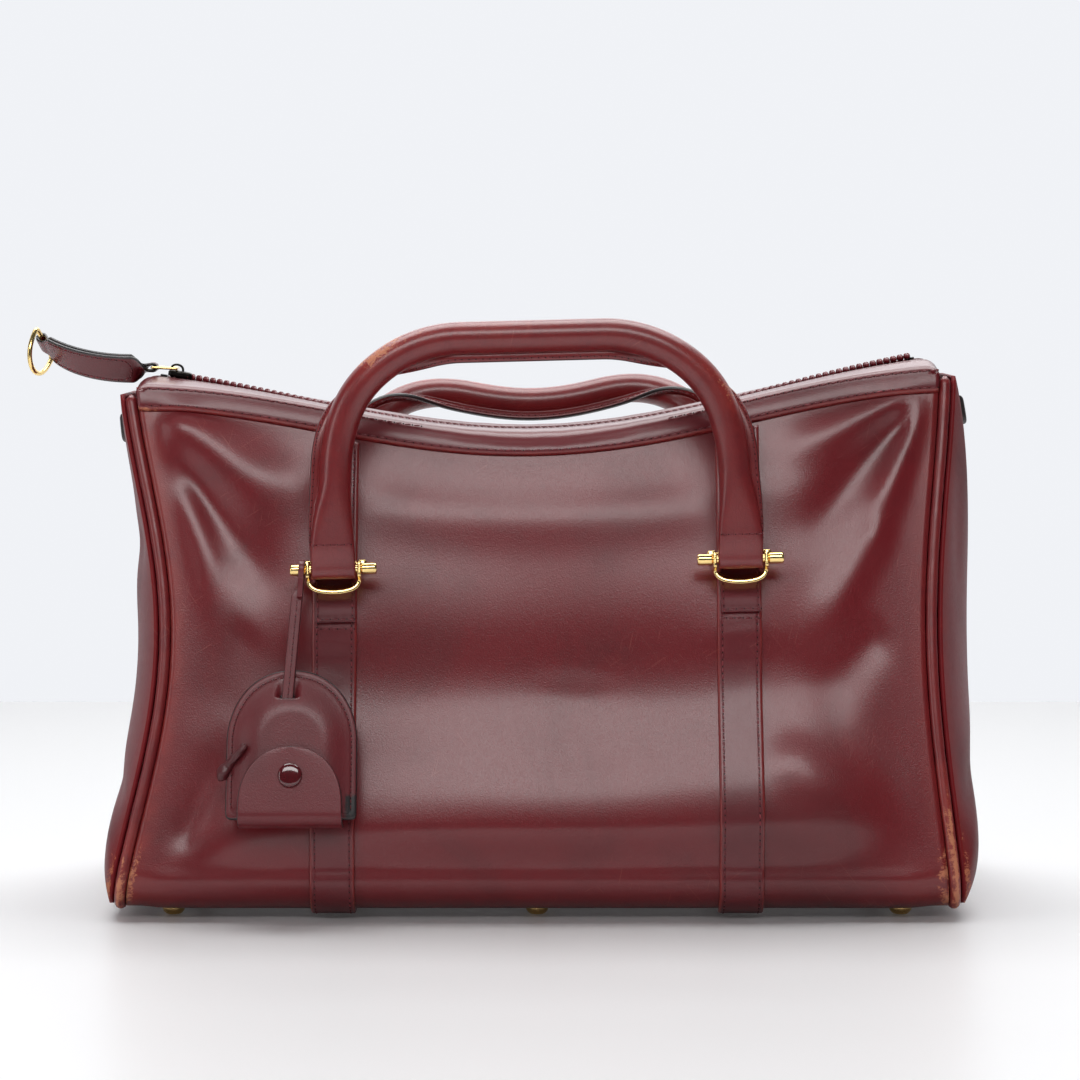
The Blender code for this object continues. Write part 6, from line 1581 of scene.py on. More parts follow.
def build_stirrup(panel, side, label, body):
    """The gold stirrup: back bar, two ears and a curved tread, its edges rounded."""
    middle, back = side * panel.half_span, panel.bar_out - 0.5 * BAR_SIZE
    ear = CROSS_BAR_OUT + STIRRUP_EAR + 0.5 * BAR_SIZE
    wide, top = STIRRUP_HALF, -BAR_RISE
    half = [(0.0, top, BAR_SIZE), (0.5 * wide, top, BAR_SIZE),
            (wide - STIRRUP_BEND, top, BAR_SIZE),
            (wide, top + STIRRUP_BEND, BAR_SIZE), (wide, top + 1.3 * STIRRUP_BEND, ear),
            (wide, 0.0, ear), (wide, 0.7 * STIRRUP_SIDE, ear), (wide, STIRRUP_SIDE, ear)]
    for angle in np.linspace(0.0, 0.5 * math.pi, 14)[1:]:
        half.append((wide * math.cos(angle),
                     blend(STIRRUP_SIDE, STIRRUP_DROP, math.sin(angle) ** 0.8), STIRRUP_SMILE))
    other = [(-a, d, o) for a, d, o in reversed(half[1:-1])]
    line = np.array(half + other)
    line = resample(line, 150, closed=True)
    away = unit(np.roll(line[:, :2], -1, axis=0) - np.roll(line[:, :2], 1, axis=0))
    away = np.stack((away[:, 1], -away[:, 0]), axis=1)
    rings = []
    for (along, down, depth), (aa, ad) in zip(line, away):
        thick = 0.5 * (BAR_SIZE if depth < 1.5 * BAR_SIZE else STIRRUP_ROD)
        tread = float(smooth((down - 0.5 * STIRRUP_SIDE) / STIRRUP_DROP * 1.4))
        tread *= along * along < wide * wide
        section = soft_box(thick * (1.0 + 0.35 * tread), 0.5 * depth, 0.8 * thick, 4)
        grow, out = section[:, 0], section[:, 1] + 0.5 * depth
        dip = 0.5 * tread * (out - 0.5 * depth)
        rings.append(panel.place(middle + along + aa * grow, down + ad * grow + dip, back + out))
    points, faces = tube_parts(rings, closed=True)
    for end in (-1.0, 1.0):
        box = []
        for share in (-1.0, -0.92, -0.75, 0.0, 0.75, 0.92, 1.0):
            scale = (1.0 - max(abs(share) - 0.75, 0.0) * 1.2)
            block = soft_box(0.00135 * scale, 0.00135 * scale, 0.0004, 3)
            box.append(panel.place(middle + end * (wide + 0.0008 + 0.0017 * share),
                                   top + block[:, 0], panel.bar_out + block[:, 1]))
        more, quads = tube_parts(box)
        faces += [tuple(i + len(points) for i in quad) for quad in quads]
        points = np.concatenate((points, more))
    piece = make_piece(label + "_gold_stirrup", points, faces, finish("gold"))
    return settle(piece, body, (label + "_stirrup",))


def lathe(profile, centre, axis, across, sides):
    """Points and faces of a turned piece from (along, radius) pairs."""
    axis, across = unit(axis), unit(across)
    other = np.cross(axis, across)
    ring = circle(sides)
    spokes = across * ring[:, :1] + other * ring[:, 1:]
    rings = [centre + axis * along + spokes * radius for along, radius in profile]
    return tube_parts(rings)


def build_cross_bar(panel, side, label, body):
    """The bar through the ears, with a grooved knob on each end."""
    start = STIRRUP_HALF + 0.5 * STIRRUP_ROD + GAP
    r, n = KNOB_RADIUS, CROSS_BAR_RADIUS
    half = [(0.0, n), (start - 0.0002, n), (start, 0.8 * r), (start + 0.00025, 0.97 * r),
            (start + 0.0006, r), (start + KNOB_LENGTH - 0.0009, r),
            (start + KNOB_LENGTH - 0.0004, 0.96 * r), (start + KNOB_LENGTH - 0.0001, 0.86 * r),
            (start + KNOB_LENGTH, 0.72 * r)]
    profile = [(-a, q) for a, q in reversed(half[1:])] + half
    centre = panel.place(side * panel.half_span, 0.0, panel.cross_out)
    points, faces = lathe(profile, centre, panel.way(panel.along), panel.way(panel.out),
                          bpy.context.scene.bag_metal.sides)
    piece = make_piece(label + "_knobbed_bar", points, faces, finish("gold"), crease=35.0)
    return settle(piece, body, (label + "_cross_bar",))


def handle_path(half_span, dip):
    """Stations from the left leg to the right: along, up, leg share and welt turn."""
    straight = HANDLE_RISE - HANDLE_CORNER
    end = LEG_END_THICKNESS
    left = [(-half_span, end * s, 0.0, 0.0) for s in np.sin(np.linspace(-0.49, 0.0, 8) * math.pi)]
    left += [(-half_span, straight * s, s, 0.0) for s in np.linspace(0.02, 1.0, 34)]
    for share in np.linspace(0.0, 1.0, 46)[1:]:
        angle = 0.5 * math.pi * share
        left.append((-half_span + HANDLE_CORNER * (1.0 - math.cos(angle)),
                     straight + HANDLE_CORNER * math.sin(angle), 1.0, float(smooth(share))))
    inner = half_span - HANDLE_CORNER
    grip = [(x, HANDLE_RISE, 1.0, 1.0) for x in np.linspace(-inner, inner, 38)[1:-1]]
    right = [(-a, u, leg, turn) for a, u, leg, turn in reversed(left)]
    bow_top = straight + HANDLE_CORNER * math.sin(math.radians(LEG_BOW_END))
    path = []
    for along, up, leg, turn in left + grip + right:
        share = min(abs(along) / DIP_HALF, 1.0)
        lowered = dip * 0.5 * (1.0 + math.cos(math.pi * share))
        climb = min(max((up - LEG_LOOP) / (bow_top - LEG_LOOP), 0.0), 1.0)
        bow = LEG_BOW * math.sin(math.pi * climb) ** 2
        path.append((along - math.copysign(bow, along), up - lowered, leg, turn))
    return np.array(path)


def handle_section(leg, turn, up, sides=44):
    """One cross-section in (outward, forward) distances, its welt last, and what is painted."""
    loop = float(smooth(max(up, 0.0) / LEG_LOOP))
    below = min(up / LEG_END_THICKNESS, 0.0)
    flat = LEG_END_THICKNESS * math.sqrt(max(1.0 - below * below, 0.02))
    thick = blend(blend(flat, LEG_THICKNESS, loop), GRIP_RADIUS, float(smooth(leg)))
    narrowed = float(smooth((leg - 0.12) / 0.88))
    wide = blend(LEG_HALF_WIDTH, GRIP_RADIUS, narrowed)
    power = blend(6.0, 2.0, float(smooth(leg)))
    welt = WELT_REACH * float(smooth(leg))
    angle0 = -math.pi * turn
    turns = angle0 + np.linspace(0.0, 2.0 * math.pi, sides + 1)[1:-1]
    cosine, sine = np.cos(turns), np.sin(turns)
    body = np.stack((wide * np.sign(cosine) * np.abs(cosine) ** (2.0 / power),
                     thick * np.sign(sine) * np.abs(sine) ** (2.0 / power)), axis=1)
    c, s = math.cos(angle0), math.sin(angle0)
    root = math.hypot(wide * c, thick * s)
    seam = min(WELT_HALF, 0.8 * thick)
    tips = []
    for grow, reach in ((-1.0, 0.15), (-1.0, 0.5), (-1.0, 0.85), (-0.72, 1.0), (0.0, 1.03),
                        (0.72, 1.0), (1.0, 0.85), (1.0, 0.5), (1.0, 0.15)):
        out = root - 0.0004 + (welt + 0.0004) * reach
        tips.append((out * c - grow * seam * s, out * s + grow * seam * c))
    painted = np.array([0.0] * len(body) + [0, 0, 0, 1, 1, 1, 0, 0, 0])
    return np.concatenate((body, np.array(tips))), painted * float(smooth(leg * 6.0))


def build_handle(panel, word, lean_deg, dip):
    """A rolled handle with its stitched welt and flat legs."""
    lean = math.radians(lean_deg)
    up = np.array((0.0, math.sin(lean), math.cos(lean)))
    up = unit(up - panel.along * np.dot(up, panel.along))
    forward = np.cross(panel.along, up)
    forward = -forward if forward[1] > 0 else forward
    base = panel.middle + panel.out * panel.cross_out
    path = handle_path(panel.half_span, dip)
    rings, paint, worn, rubbed = [], [], [], []
    seams = {1.0: ([], []), -1.0: ([], [])}
    for index, (along, rise, leg, turn) in enumerate(path):
        before, after = path[max(index - 1, 0)], path[min(index + 1, len(path) - 1)]
        ahead = unit(after[:2] - before[:2])
        if rise <= 0.2 * HANDLE_RISE:
            ahead = np.array((0.0, 1.0 if along < 0 else -1.0))
        outward = np.array((-ahead[1], ahead[0]))
        section, painted = handle_section(leg, turn, rise)
        ring = (base + panel.along * (along + outward[0] * section[:, :1])
                + up * (rise + outward[1] * section[:, :1]) + forward * section[:, 1:])
        rings.append(ring * panel.mirror)
        paint.append(painted)
        outer = np.clip(section[:, 0] / 0.006, -1.0, 1.0)
        corner = float(bell(rise, *((0.077, 0.009) if along < 0 else (0.064, 0.013))))
        strong = (1.0 if along < 0 else 0.75) * (1.0 if word == "front" else 0.6)
        worn.append(0.78 * strong * corner * np.clip(outer + 0.35, 0.0, 1.0) + 0.14
                    + (0.3 if rise < 0.002 else 0.0) + 0.25 * painted)
        rubbed.append(0.3 + 0.75 * corner * np.clip(outer + 0.3, 0.0, 1.0))
        if rise > LEG_LOOP:
            for face in (1.0, -1.0):
                c, s = math.cos(-math.pi * turn), math.sin(-math.pi * turn)
                root = section[-WELT_POINTS:].mean(axis=0)
                grow = face * (WELT_HALF + THREAD_LIFT)
                spot = root + np.array((-grow * s, grow * c))
                way2 = np.array((-s, c)) * face
                place = (base + panel.along * (along + outward[0] * spot[0])
                         + up * (rise + outward[1] * spot[0]) + forward * spot[1])
                way = (panel.along * (outward[0] * way2[0]) + up * (outward[1] * way2[0])
                       + forward * way2[1])
                seams[face][0].append(place * panel.mirror)
                seams[face][1].append(way * panel.mirror)
    points, faces = tube_parts(rings)
    values = {"paint": np.append(np.array(paint).ravel(), (0.0, 0.0)),
              "worn": np.append(np.clip(np.array(worn), 0.0, 1.0).ravel(), (0.0, 0.0)),
              "rubbed": np.append(np.clip(np.array(rubbed), 0.0, 1.0).ravel(), (0.0, 0.0))}
    piece = make_piece(word + "_rolled_handle", points, faces, finish("handle"), values)
    settle(piece, word + "_grip", (word + "_handle",))
    rows = list(seams.values())
    for side in (-1.0, 1.0):
        xs = np.linspace(-0.86, 0.7, 12) * LEG_HALF_WIDTH * -side
        for face in (1.0, -1.0):
            row = (base + panel.along * (side * panel.half_span + xs[:, None])
                   + up * (LEG_LOOP + 0.0004) + forward * face * (LEG_THICKNESS + 0.0002))
            rows.append((row * panel.mirror, forward * face * panel.mirror))
    sew(word + "_handle_stitches", word + "_grip", rows,
        bpy.context.scene.bag_stitch.strap_pitch, 0.95)


def holder_point(panel, along, down, out):
    """Points of the key holder: along, plumb down from the knob and out from the panel."""
    along, down, out = [np.asarray(part, float)[..., None] for part in (along, down, out)]
    knob = panel.middle + panel.along * (LANYARD_X + STRAP_X - panel.half_span)
    point = knob + panel.level * (along - LANYARD_X) + panel.plumb * down + panel.out * out
    return point * panel.mirror


def lanyard_ways(panel):
    """Ways down and across the lanyard."""
    cant = math.radians(LANYARD_CANT)
    down = panel.plumb * math.cos(cant) - panel.level * math.sin(cant)
    across = panel.level * math.cos(cant) + panel.plumb * math.sin(cant)
    return panel.way(down), panel.way(across)


def holder_levels(panel):
    """Heights out from the panel: back leaf, front leaf and flap."""
    strip = panel.cross_out - LANYARD_BACK - 0.5 * LANYARD_THICKNESS
    back = strip - 2.0 * (HOLDER_LEAF + GAP)
    front = back + HOLDER_LEAF + GAP
    return back, front, front + HOLDER_POCKET + HOLDER_LEAF + FLAP_GAP


def build_lanyard(panel):
    """The strip that loops the left knob, crosses over and hangs into the key holder."""
    out, down_way, across = panel.cross_out, *lanyard_ways(panel)
    out_way = panel.way(panel.out)
    knob = holder_point(panel, LANYARD_X, 0.0, out)
    middle = LANYARD_LOOP + 0.5 * LANYARD_THICKNESS
    hang = -LANYARD_BACK
    line = [(s, hang) for s in np.linspace(LANYARD_LENGTH, 0.008, 44)]
    line.append((blend(0.0045, 0.008, 0.5), hang))
    first = math.atan2(hang, math.sqrt(middle ** 2 - hang ** 2 + 1e-12))
    for angle in np.linspace(first, -2.0 * math.pi + 0.55, 40):
        line.append((middle * math.cos(angle), middle * math.sin(angle)))
    line += [(0.0065, 0.0006), (0.010, -0.0008)]
    line = resample(soften(np.array(line), 1), 130)
    path = knob + down_way * line[:, :1] + out_way * line[:, 1:]
    _, ups, side = path_frames(path, across)
    box = soft_box(0.5 * LANYARD_THICKNESS * 0.9, 0.5 * LANYARD_WIDTH, 0.0004, 3)
    hung = smooth((line[:, 0] - 0.0052) / 0.0045)
    hung[np.argmin(line[:, 0]):] = 0.0
    sections = np.stack([box * (1.0, blend(0.52, 1.0, share)) for share in hung])
    path = path + across * (0.00115 * (1.0 - hung))[:, None]
    points, faces = tube_parts(sweep(path, ups, side, sections))
    paint = np.broadcast_to(np.where(np.abs(box[:, 1]) > 0.46 * LANYARD_WIDTH, 1.0, 0.0),
                            (len(path), len(box)))
    values = {"paint": np.append(paint.ravel(), (1.0, 1.0)),
              "worn": np.append(0.5 * paint.ravel(), (0.0, 0.0))}
    piece = make_piece("holder_thong", points, faces, finish("holder"), values)
    settle(piece, "lanyard", ("key_lanyard",))
    s = np.linspace(0.012, LANYARD_LENGTH - 0.003, 40)
    row = (knob + down_way * s[:, None] + out_way * (hang + 0.5 * LANYARD_THICKNESS)
           + across * 0.0002)
    sew("thong_stitches", "lanyard", [(row, out_way)], 0.0021, 0.8)


def holder_outline(count=200):
    """The leaf's outline as (along, down): an arch on straight sides."""
    angles = np.linspace(0.0, 0.5 * math.pi, 40)
    half = [(HOLDER_HALF * math.sin(a) ** 0.92, HOLDER_HALF * 1.12 * (1.0 - math.cos(a)))
            for a in angles]
    shoulder = half[-1][1]
    half += [(HOLDER_HALF, s) for s in np.linspace(shoulder, HOLDER_HEIGHT - 0.002, 16)[1:]]
    half += [(HOLDER_HALF * 0.985, HOLDER_HEIGHT - 0.0006), (HOLDER_HALF * 0.94, HOLDER_HEIGHT)]
    line = np.array(half + [(-a, d) for a, d in reversed(half[1:])])
    return resample(line, count, closed=True)


def leaf_parts(panel, low, dome, slotted):
    """A leaf of the key holder: points, faces and its black, painted on the rim's edge and, as
    painted shade, in the slot and down the open pocket side.
    """
    outline = holder_outline()
    middle = np.array((0.0, 0.55 * HOLDER_HEIGHT))
    shares = 1.0 - np.linspace(0.0, 0.97, 60) ** 1.15
    grid = middle + (outline[None] - middle) * shares[:, None, None]
    swell = dome * smooth((1.0 - shares) / 0.55)[:, None] * np.ones((1, len(outline)))
    edge = np.clip((1.0 - shares) / 0.035, 0.0, 1.0)[:, None]
    along, down = grid[..., 0], grid[..., 1]
    groove = 0.00014 * bell(1.0 - shares, 0.085, 0.02)[:, None]
    hollow = np.zeros_like(along)
    if slotted:
        cant = math.tan(math.radians(LANYARD_CANT))
        off = along - (LANYARD_X - HOLDER_X) + cant * (down + HOLDER_DROP)
        beside = 1.0 - smooth((np.abs(off) - 0.0024) / 0.0028)
        swell = swell * (1.0 - beside * (1.0 - smooth((down - 0.0102) / 0.0012)))
        # Painted shade: the slot where the thong goes in and the open side of the pocket are
        # coloured black with the edge colour.
        hollow = (1.0 - smooth((np.abs(off) - 0.0026) / 0.0008)) * bell(down, 0.0104, 0.0011)
        open_side = smooth((along - 0.0198) / 0.0008)
        open_side = open_side * smooth((down - HOLDER_HEIGHT + 0.0095) / 0.001)
        hollow = np.maximum(hollow, open_side)
    top = low + HOLDER_LEAF * blend(0.7, 1.0, np.sqrt(edge)) + swell - groove
    under = low + HOLDER_LEAF * blend(0.3, 0.0, edge) + swell
    outer = holder_point(panel, HOLDER_X + along, HOLDER_DROP + down, top)
    inner = holder_point(panel, HOLDER_X + along, HOLDER_DROP + down, under)
    points, faces = disc_parts(outer, inner)
    rim = np.where(shares[:, None] > 0.985, 1.0, 0.0) * np.ones((1, along.shape[1]))
    paint = np.concatenate((np.maximum(rim, hollow).ravel(), rim.ravel(), (0.0, 0.0)))
    return points, faces, paint


def leaf_row(panel, low):
    """The stitch row round the leaf, inside its edge."""
    outline = holder_outline()
    middle = np.array((0.0, 0.55 * HOLDER_HEIGHT))
    ring = middle + (outline - middle) * 0.915
    limit = HOLDER_HEIGHT * 0.93
    ring = np.roll(ring, -int(np.argmin(ring[:, 1] < limit)), axis=0)
    ring = ring[ring[:, 1] < limit]
    return (holder_point(panel, HOLDER_X + ring[:, 0], HOLDER_DROP + ring[:, 1],
                         np.full(len(ring), low + HOLDER_LEAF + 0.0003)), panel.way(panel.out))


def build_key_holder(panel):
    """The two leaves of the key holder, with their rim stitched."""
    back, front, _ = holder_levels(panel)
    for name, low, dome, node in (("holder_back_leaf", back, 0.0, "key_holder_back"),
                                  ("holder_front_leaf", front, HOLDER_POCKET, "key_holder_front")):
        points, faces, paint = leaf_parts(panel, low, dome, name == "holder_front_leaf")
        piece = make_piece(name, points, faces, finish("holder"), {"paint": paint})
        settle(piece, "key_holder", (node,))
    sew("holder_stitches", "key_holder", [leaf_row(panel, front)],
        bpy.context.scene.bag_stitch.fine_pitch, 0.8)


def flap_fold(panel):
    """The middle of the flap's fold: down and out."""
    back, _, _ = holder_levels(panel)
    return HOLDER_DROP + HOLDER_HEIGHT + FLAP_FOLD + GAP, back + 0.5 * HOLDER_LEAF


def build_flap(panel):
    """The flap folded up from the back leaf over the front one, and its snap."""
    _, _, level = holder_levels(panel)
    fold_down, fold_out = flap_fold(panel)
    line = [(fold_down, fold_out), (fold_down + 0.0001, blend(fold_out, level, 0.3)),
            (fold_down, blend(fold_out, level, 0.6)),
            (fold_down - 0.3 * FLAP_FOLD, level - HOLDER_LEAF),
            (fold_down - 1.2 * FLAP_FOLD, level - 0.0002), (fold_down - 2.2 * FLAP_FOLD, level)]
    line = soften(np.array(line), 2)
    top = fold_down - FLAP_HEIGHT + 0.0016
    share = np.linspace(0.0, 1.0, 46)[1:] ** 0.8
    flat = np.stack((blend(line[-1, 0], top, share), np.full_like(share, level)), axis=1)
    path = np.concatenate((line, flat))
    width = np.concatenate((np.ones(len(line)),
                            np.sqrt(np.clip(1.0 - share ** 2.6, 0.0012, 1.0))))
    ahead = unit(np.gradient(path, axis=0))
    away = np.stack((-ahead[:, 1], ahead[:, 0]), axis=1)
    away = np.where((away[:, 1:] < 0) & (np.arange(len(path))[:, None] > 4), -away, away)
    away = np.where((away[:, :1] < 0) & (np.arange(len(path))[:, None] <= 4), -away, away)
    u = np.sin(np.linspace(-0.5, 0.5, 31) * math.pi)
    rim = np.clip((1.0 - np.abs(u)) / 0.02, 0.0, 1.0)
    thick = HOLDER_LEAF * blend(0.75, 1.0, rim)
    lower = smooth(np.concatenate((np.zeros(len(line)), share)))
    curl = 0.0006 * (u ** 2)[None, :] * lower[:, None]
    along = HOLDER_X + FLAP_HALF * width[:, None] * u[None, :]
    outer = holder_point(panel, along, path[:, :1] + away[:, :1] * thick,
                         path[:, 1:] + away[:, 1:] * thick - 0.4 * curl)
    inner = holder_point(panel, along, path[:, :1], path[:, 1:] - 0.4 * curl)
    points, faces = sheet_parts(outer, inner)
    edge = np.where(np.abs(u) > 0.985, 1.0, 0.0)[None, :] * np.ones((len(path), 1))
    edge = np.maximum(edge, np.where(np.arange(len(path)) >= len(path) - 1, 1.0, 0.0)[:, None])
    piece = make_piece("holder_flap", points, faces, finish("holder"),
                       {"paint": np.tile(edge.ravel(), 2)})
    settle(piece, "key_flap", ("key_holder_flap",))
    down = fold_down - FLAP_HEIGHT + SNAP_DROP
    centre = holder_point(panel, HOLDER_X, down, level + HOLDER_LEAF - 0.0001)
    h, r = SNAP_HEIGHT + GAP, SNAP_RADIUS
    profile = [(0.0, 0.9 * r), (0.12 * h, r), (0.45 * h, r), (0.66 * h, 0.95 * r),
               (0.82 * h, 0.82 * r), (0.93 * h, 0.6 * r), (0.985 * h, 0.32 * r), (h, 0.06 * r)]
    points, faces = lathe(profile, centre, panel.way(panel.out), panel.way(panel.level),
                          bpy.context.scene.bag_metal.sides)
    cap = make_piece("enamel_cap", points, faces, finish("enamel"))
    settle(cap, "key_flap", ("snap_cap",))


def build_tail_knot(panel):
    """The knotted end of the thong at the holder's left edge."""
    back, _, _ = holder_levels(panel)
    left = HOLDER_X - HOLDER_HALF - GAP
    down = HOLDER_DROP + HOLDER_HEIGHT - KNOT_HEIGHT
    r = KNOT_RADIUS
    line = np.array(((0.0076, -0.0086, 0.0042, 0.0012), (0.0052, -0.006, 0.0036, 0.0015),
                     (0.0028, -0.0032, 0.0024, 0.0014), (0.0012, -0.0016, 0.0012, 0.0018),
                     (-0.0001, 0.0002, 0.0008, 0.0025), (-0.001, 0.0018, 0.0006, 0.0025),
                     (-0.0017, 0.0034, 0.0004, 0.0016), (-0.002, 0.0042, 0.0002, 0.0005)))
    line = resample(soften(line, 2), 40)
    path = holder_point(panel, left + line[:, 0], down + line[:, 1], back + r + line[:, 2])
    _, ups, across = path_frames(path, panel.way(panel.out))
    turns = np.linspace(0.0, 2.0 * math.pi, 24, endpoint=False)
    ripple = 1.0 + 0.08 * np.sin(3.0 * turns[None, :] + np.arange(40)[:, None] * 0.5)
    wide = line[:, 3:] * ripple
    section = np.stack((np.cos(turns) * wide, np.sin(turns) * wide), axis=-1)
    rings = sweep(path, ups, across, section)
    points, faces = tube_parts(rings)
    piece = make_piece("knotted_tail", points, faces, finish("holder"),
                       {"paint": np.full(len(points), 0.35), "worn": np.full(len(points), 0.3)})
    return settle(piece, "key_holder", ("tail_knot",))


def build_feet():
    """The six domed brass feet."""
    r, h = FOOT_RADIUS, FOOT_HEIGHT - GAP
    profile = [(0.0, 0.5 * r), (0.02 * h, 0.63 * r), (0.1 * h, 0.75 * r), (0.25 * h, 0.88 * r),
               (0.45 * h, 0.97 * r), (0.62 * h, r), (0.8 * h, 0.99 * r), (h, 0.93 * r)]
    for y, row in ((-FOOT_Y, "front"), (FOOT_Y, "back")):
        for x, word in ((-FOOT_X, "left"), (0.0, "middle"), (FOOT_X, "right")):
            points, faces = lathe(profile, np.array((x, y, 0.0)), (0.0, 0.0, 1.0), (1.0, 0.0, 0.0),
                                  bpy.context.scene.bag_metal.sides)
            piece = make_piece(f"{row}_{word}_dome", points, faces, finish("brass"), crease=60.0)
            settle(piece, "bag", (f"{row}_{word}_foot",))


def dress_solids():
    """Better finishes on the solids that stay."""
    for node, name in (("lining", "lining"), ("base_board", "board"), ("left_zip_stop", "dark"),
                       ("right_zip_stop", "dark"), ("snap_socket", "gold")):
        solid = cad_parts[node]
        if not solid.material_slots:
            solid.data.materials.append(finish(name))
        for material_slot in solid.material_slots:
            material_slot.material = finish(name)


def empty_book(thing):
    """The cleared nodes of a material or a world."""
    thing.use_nodes = True
    thing.node_tree.nodes.clear()
    return NodeBook(thing.node_tree)


def build_stage():
    """The table, the backdrop, the lamps and the camera."""
    sizes = bpy.context.scene.bag_stage
    floor, shader, book, place = new_material("white_table", tuple(sizes.floor), 0.38,
                                              Emission_Strength=0.03, Specular_IOR_Level=0.3)
    shader.inputs["Emission Color"].default_value = (1.0, 1.0, 1.0, 1.0)
    shade = book.noise(place, 3.0, 2.0)
    book.link(book.mix(book.times(shade, 0.1), tuple(sizes.floor),
                       (0.86, 0.87, 0.89, 1.0)), shader.inputs["Base Color"])
    points = np.array([(x, y, z) for z in (0.0, -TABLE_THICKNESS)
                       for x, y in ((-TABLE_HALF_WIDTH, sizes.table_back),
                                    (TABLE_HALF_WIDTH, sizes.table_back),
                                    (TABLE_HALF_WIDTH, TABLE_FRONT),
                                    (-TABLE_HALF_WIDTH, TABLE_FRONT))])
    faces = [(0, 1, 2, 3), (7, 6, 5, 4), (0, 4, 5, 1), (1, 5, 6, 2), (2, 6, 7, 3), (3, 7, 4, 0)]
    table = make_piece("table", points - FRAME_SHIFT, faces, floor)
    wall = bpy.data.materials.new("backdrop")
    book = empty_book(wall)
    ray = book.add("ShaderNodeLightPath").outputs
    seen = book.sum("MAXIMUM", ray["Is Camera Ray"], ray["Is Glossy Ray"])
    plain = book.add("ShaderNodeBsdfDiffuse", {"Color": tuple(sizes.backdrop)}).outputs[0]
    glow = book.add("ShaderNodeEmission", {"Color": tuple(sizes.backdrop),
                                           "Strength": 1.0}).outputs[0]
    mixed = book.add("ShaderNodeMixShader", {0: seen, 1: plain, 2: glow}).outputs[0]
    book.link(mixed, book.add("ShaderNodeOutputMaterial").inputs[0])
    points = np.array([(x, WALL_Y, z) for x, z in (
        (-WALL_HALF_WIDTH, WALL_LOW), (WALL_HALF_WIDTH, WALL_LOW),
        (WALL_HALF_WIDTH, WALL_HIGH), (-WALL_HALF_WIDTH, WALL_HIGH))])
    backdrop = make_piece("backdrop", points, [(0, 1, 2, 3)], wall)
    for name, place, aim, size, watts in LAMPS:
        lamp = bpy.data.lights.new(name, "AREA")
        lamp.shape, lamp.size, lamp.size_y = "RECTANGLE", size[0], size[1]
        lamp.energy = watts * sizes.level
        light = put_in_scene(name, lamp)
        point_at(light, place, aim)
    world = bpy.data.worlds.new("studio")
    bpy.context.scene.world = world
    book = empty_book(world)
    ray = book.add("ShaderNodeLightPath").outputs
    soft, shown = [
        book.add("ShaderNodeBackground", {"Color": colour, "Strength": strength}).outputs[0]
        for colour, strength in ((FILL_COLOUR, FILL_STRENGTH), (tuple(sizes.backdrop), 1.0))]
    mixed = book.add("ShaderNodeMixShader", {0: ray["Is Camera Ray"], 1: soft,
                                             2: shown}).outputs[0]
    book.link(mixed, book.add("ShaderNodeOutputWorld").inputs[0])
    bpy.context.scene.view_settings.view_transform = "Standard"
    lens = bpy.data.cameras.new("camera")
    lens.sensor_width = SENSOR_MM
    lens.lens = SENSOR_MM * CAMERA_DISTANCE / FRAME_WIDTH
    camera = put_in_scene("camera", lens)
    pitch = math.radians(CAMERA_PITCH)
    aim = np.array((AIM_X, -BASE_HALF_DEPTH, AIM_HEIGHT)) + FRAME_SHIFT
    way = np.array((0.0, math.cos(pitch), -math.sin(pitch)))
    camera.location = tuple(aim - CAMERA_DISTANCE * way)
    camera.rotation_euler = (0.5 * math.pi - pitch, 0.0, 0.0)
    bpy.context.scene.camera = camera


def point_at(thing, place, aim):
    """Put a lamp somewhere, facing a point."""
    thing.location = place
    thing.rotation_euler = (Vector(aim) - Vector(place)).to_track_quat("-Z", "Y").to_euler()


class BagOperator(bpy.types.Operator):
    """Shared by the handbag's operators."""

    bl_options = {"REGISTER"}

    def build(self):
        """Make the pieces."""
        raise RuntimeError("nothing to build")

    def execute(self, context):
        """Make the pieces, or raise the error that stopped them."""
        self.build()
        return {"FINISHED"}


class BAG_OT_body(BagOperator):
    """Build the leather body: the wrap, the end panels, the pipings and the end tabs"""

    bl_idname = "bag.body"
    bl_label = "Body"

    def build(self):
        build_wrap()
        for side, word in ((-1.0, "left"), (1.0, "right")):
            build_piping(side, word)
            build_end_panel(side, word)
            build_end_tab(side, word)


class BAG_OT_bands(BagOperator):
    """Build the stitched bands along the zip"""

    bl_idname = "bag.bands"
    bl_label = "Bands"

    def build(self):
        for side, word in ((1.0, "front"), (-1.0, "back")):
            build_band(side, word)


class BAG_OT_zip(BagOperator):
    """Build the zip: tapes, teeth, slider and link"""

    bl_idname = "bag.zip"
    bl_label = "Zip"

    def build(self):
        for side, word in ((1.0, "front"), (-1.0, "back")):
            build_tape(side, word)
            build_teeth(side, word)
        build_slider()
        build_link()


class BAG_OT_pull(BagOperator):
    """Build the leather zip pull and its ring"""

    bl_idname = "bag.pull"
    bl_label = "Zip pull"

    def build(self):
        build_zip_strap()
        build_pull_ring()


class BAG_OT_straps(BagOperator):
    """Build the two sewn straps and the bag's stitching"""

    bl_idname = "bag.straps"
    bl_label = "Straps and stitching"

    def build(self):
        sizes = bpy.context.scene.bag_stitch
        for side, word in ((-1.0, "left"), (1.0, "right")):
            build_strap(side, word)
        sew("strap_stitches", "bag", strap_rows(-1.0) + strap_rows(1.0), sizes.strap_pitch)
        sew("band_stitches", "bag", band_rows(1.0) + band_rows(-1.0), sizes.band_pitch,
            1.05)


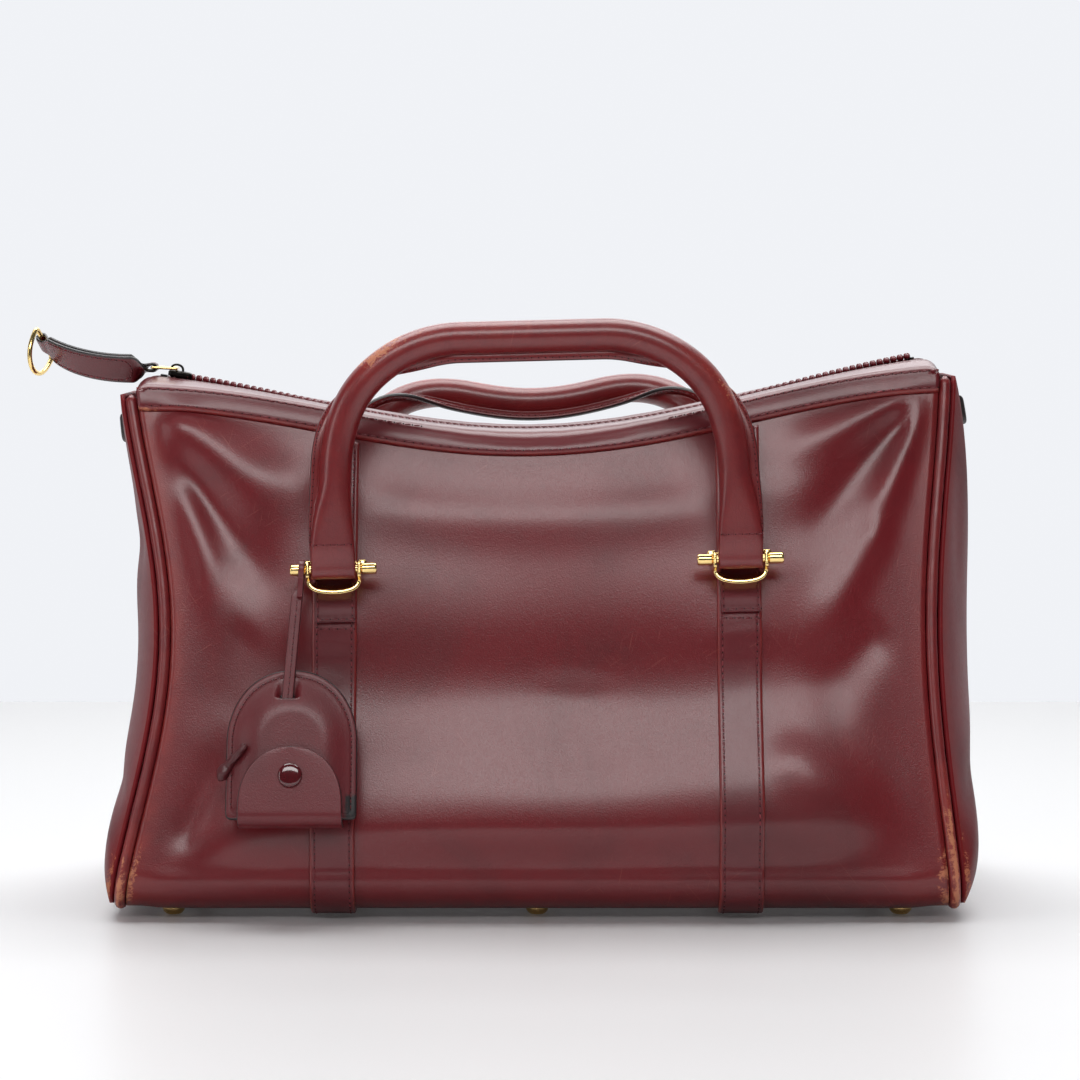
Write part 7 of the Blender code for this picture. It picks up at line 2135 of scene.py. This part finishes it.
class BAG_OT_fittings(BagOperator):
    """Build the strap loops, stirrups and cross bars"""

    bl_idname = "bag.fittings"
    bl_label = "Fittings"

    def build(self):
        rows = []
        for face, word in ((1.0, "front"), (-1.0, "back")):
            panel = PanelFrame(face)
            for side, hand in ((-1.0, "left"), (1.0, "right")):
                label = word + "_" + hand
                rows += build_chape(panel, side, label)
                build_stirrup(panel, side, label, word + "_fittings")
                build_cross_bar(panel, side, label, word + "_fittings")
        sew("loop_stitches", "bag", rows, bpy.context.scene.bag_stitch.strap_pitch,
            0.9)


class BAG_OT_handles(BagOperator):
    """Build the two rolled handles"""

    bl_idname = "bag.handles"
    bl_label = "Handles"

    def build(self):
        build_handle(PanelFrame(1.0), "front", FRONT_LEAN, 0.0)
        build_handle(PanelFrame(-1.0), "back", BACK_LEAN, BACK_DIP)


class BAG_OT_key_holder(BagOperator):
    """Build the key holder with its lanyard, flap, cap and knot"""

    bl_idname = "bag.key_holder"
    bl_label = "Key holder"

    def build(self):
        panel = PanelFrame(1.0)
        build_lanyard(panel)
        build_key_holder(panel)
        build_flap(panel)
        build_tail_knot(panel)


class BAG_OT_underside(BagOperator):
    """Build the feet and finish the solids that stay"""

    bl_idname = "bag.underside"
    bl_label = "Feet and inside"

    def build(self):
        build_feet()
        dress_solids()


class BAG_OT_stage(BagOperator):
    """Build the table, the backdrop, the lamps and the camera"""

    bl_idname = "bag.stage"
    bl_label = "Stage"

    def build(self):
        build_stage()


OPERATORS = (BAG_OT_body, BAG_OT_bands, BAG_OT_zip, BAG_OT_pull, BAG_OT_straps, BAG_OT_fittings,
             BAG_OT_handles, BAG_OT_key_holder, BAG_OT_underside, BAG_OT_stage)


class BAG_PT_panel(bpy.types.Panel):
    """The handbag's panel in the 3D view's sidebar"""

    bl_idname = "BAG_PT_panel"
    bl_label = "Handbag"
    bl_space_type = "VIEW_3D"
    bl_region_type = "UI"
    bl_category = "Handbag"

    def draw(self, context):
        """List the sizes and the operators."""
        for name in SETTINGS:
            group = getattr(context.scene, name)
            box = self.layout.box()
            for key in group.bl_rna.properties.keys():
                if key not in {"rna_type", "name"}:
                    box.prop(group, key)
        for operator in OPERATORS:
            self.layout.operator(operator.bl_idname)


SETTINGS = {"bag_leather": LeatherSizes, "bag_stitch": StitchSizes, "bag_metal": MetalSizes,
            "bag_stage": StageSizes}


def register():
    """Register the classes and hang the settings on the scene."""
    for name, group in SETTINGS.items():
        bpy.utils.register_class(group)
        setattr(bpy.types.Scene, name, PointerProperty(type=group))
    for item in OPERATORS + (BAG_PT_panel,):
        bpy.utils.register_class(item)


def unregister():
    """Take the classes and the settings away."""
    for item in reversed(OPERATORS + (BAG_PT_panel,)):
        bpy.utils.unregister_class(item)
    for name, group in SETTINGS.items():
        delattr(bpy.types.Scene, name)
        bpy.utils.unregister_class(group)


def main():
    """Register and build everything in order."""
    register()
    for operator in OPERATORS:
        family, name = operator.bl_idname.split(".")
        getattr(getattr(bpy.ops, family), name)()


if __name__ == "__main__":
    main()
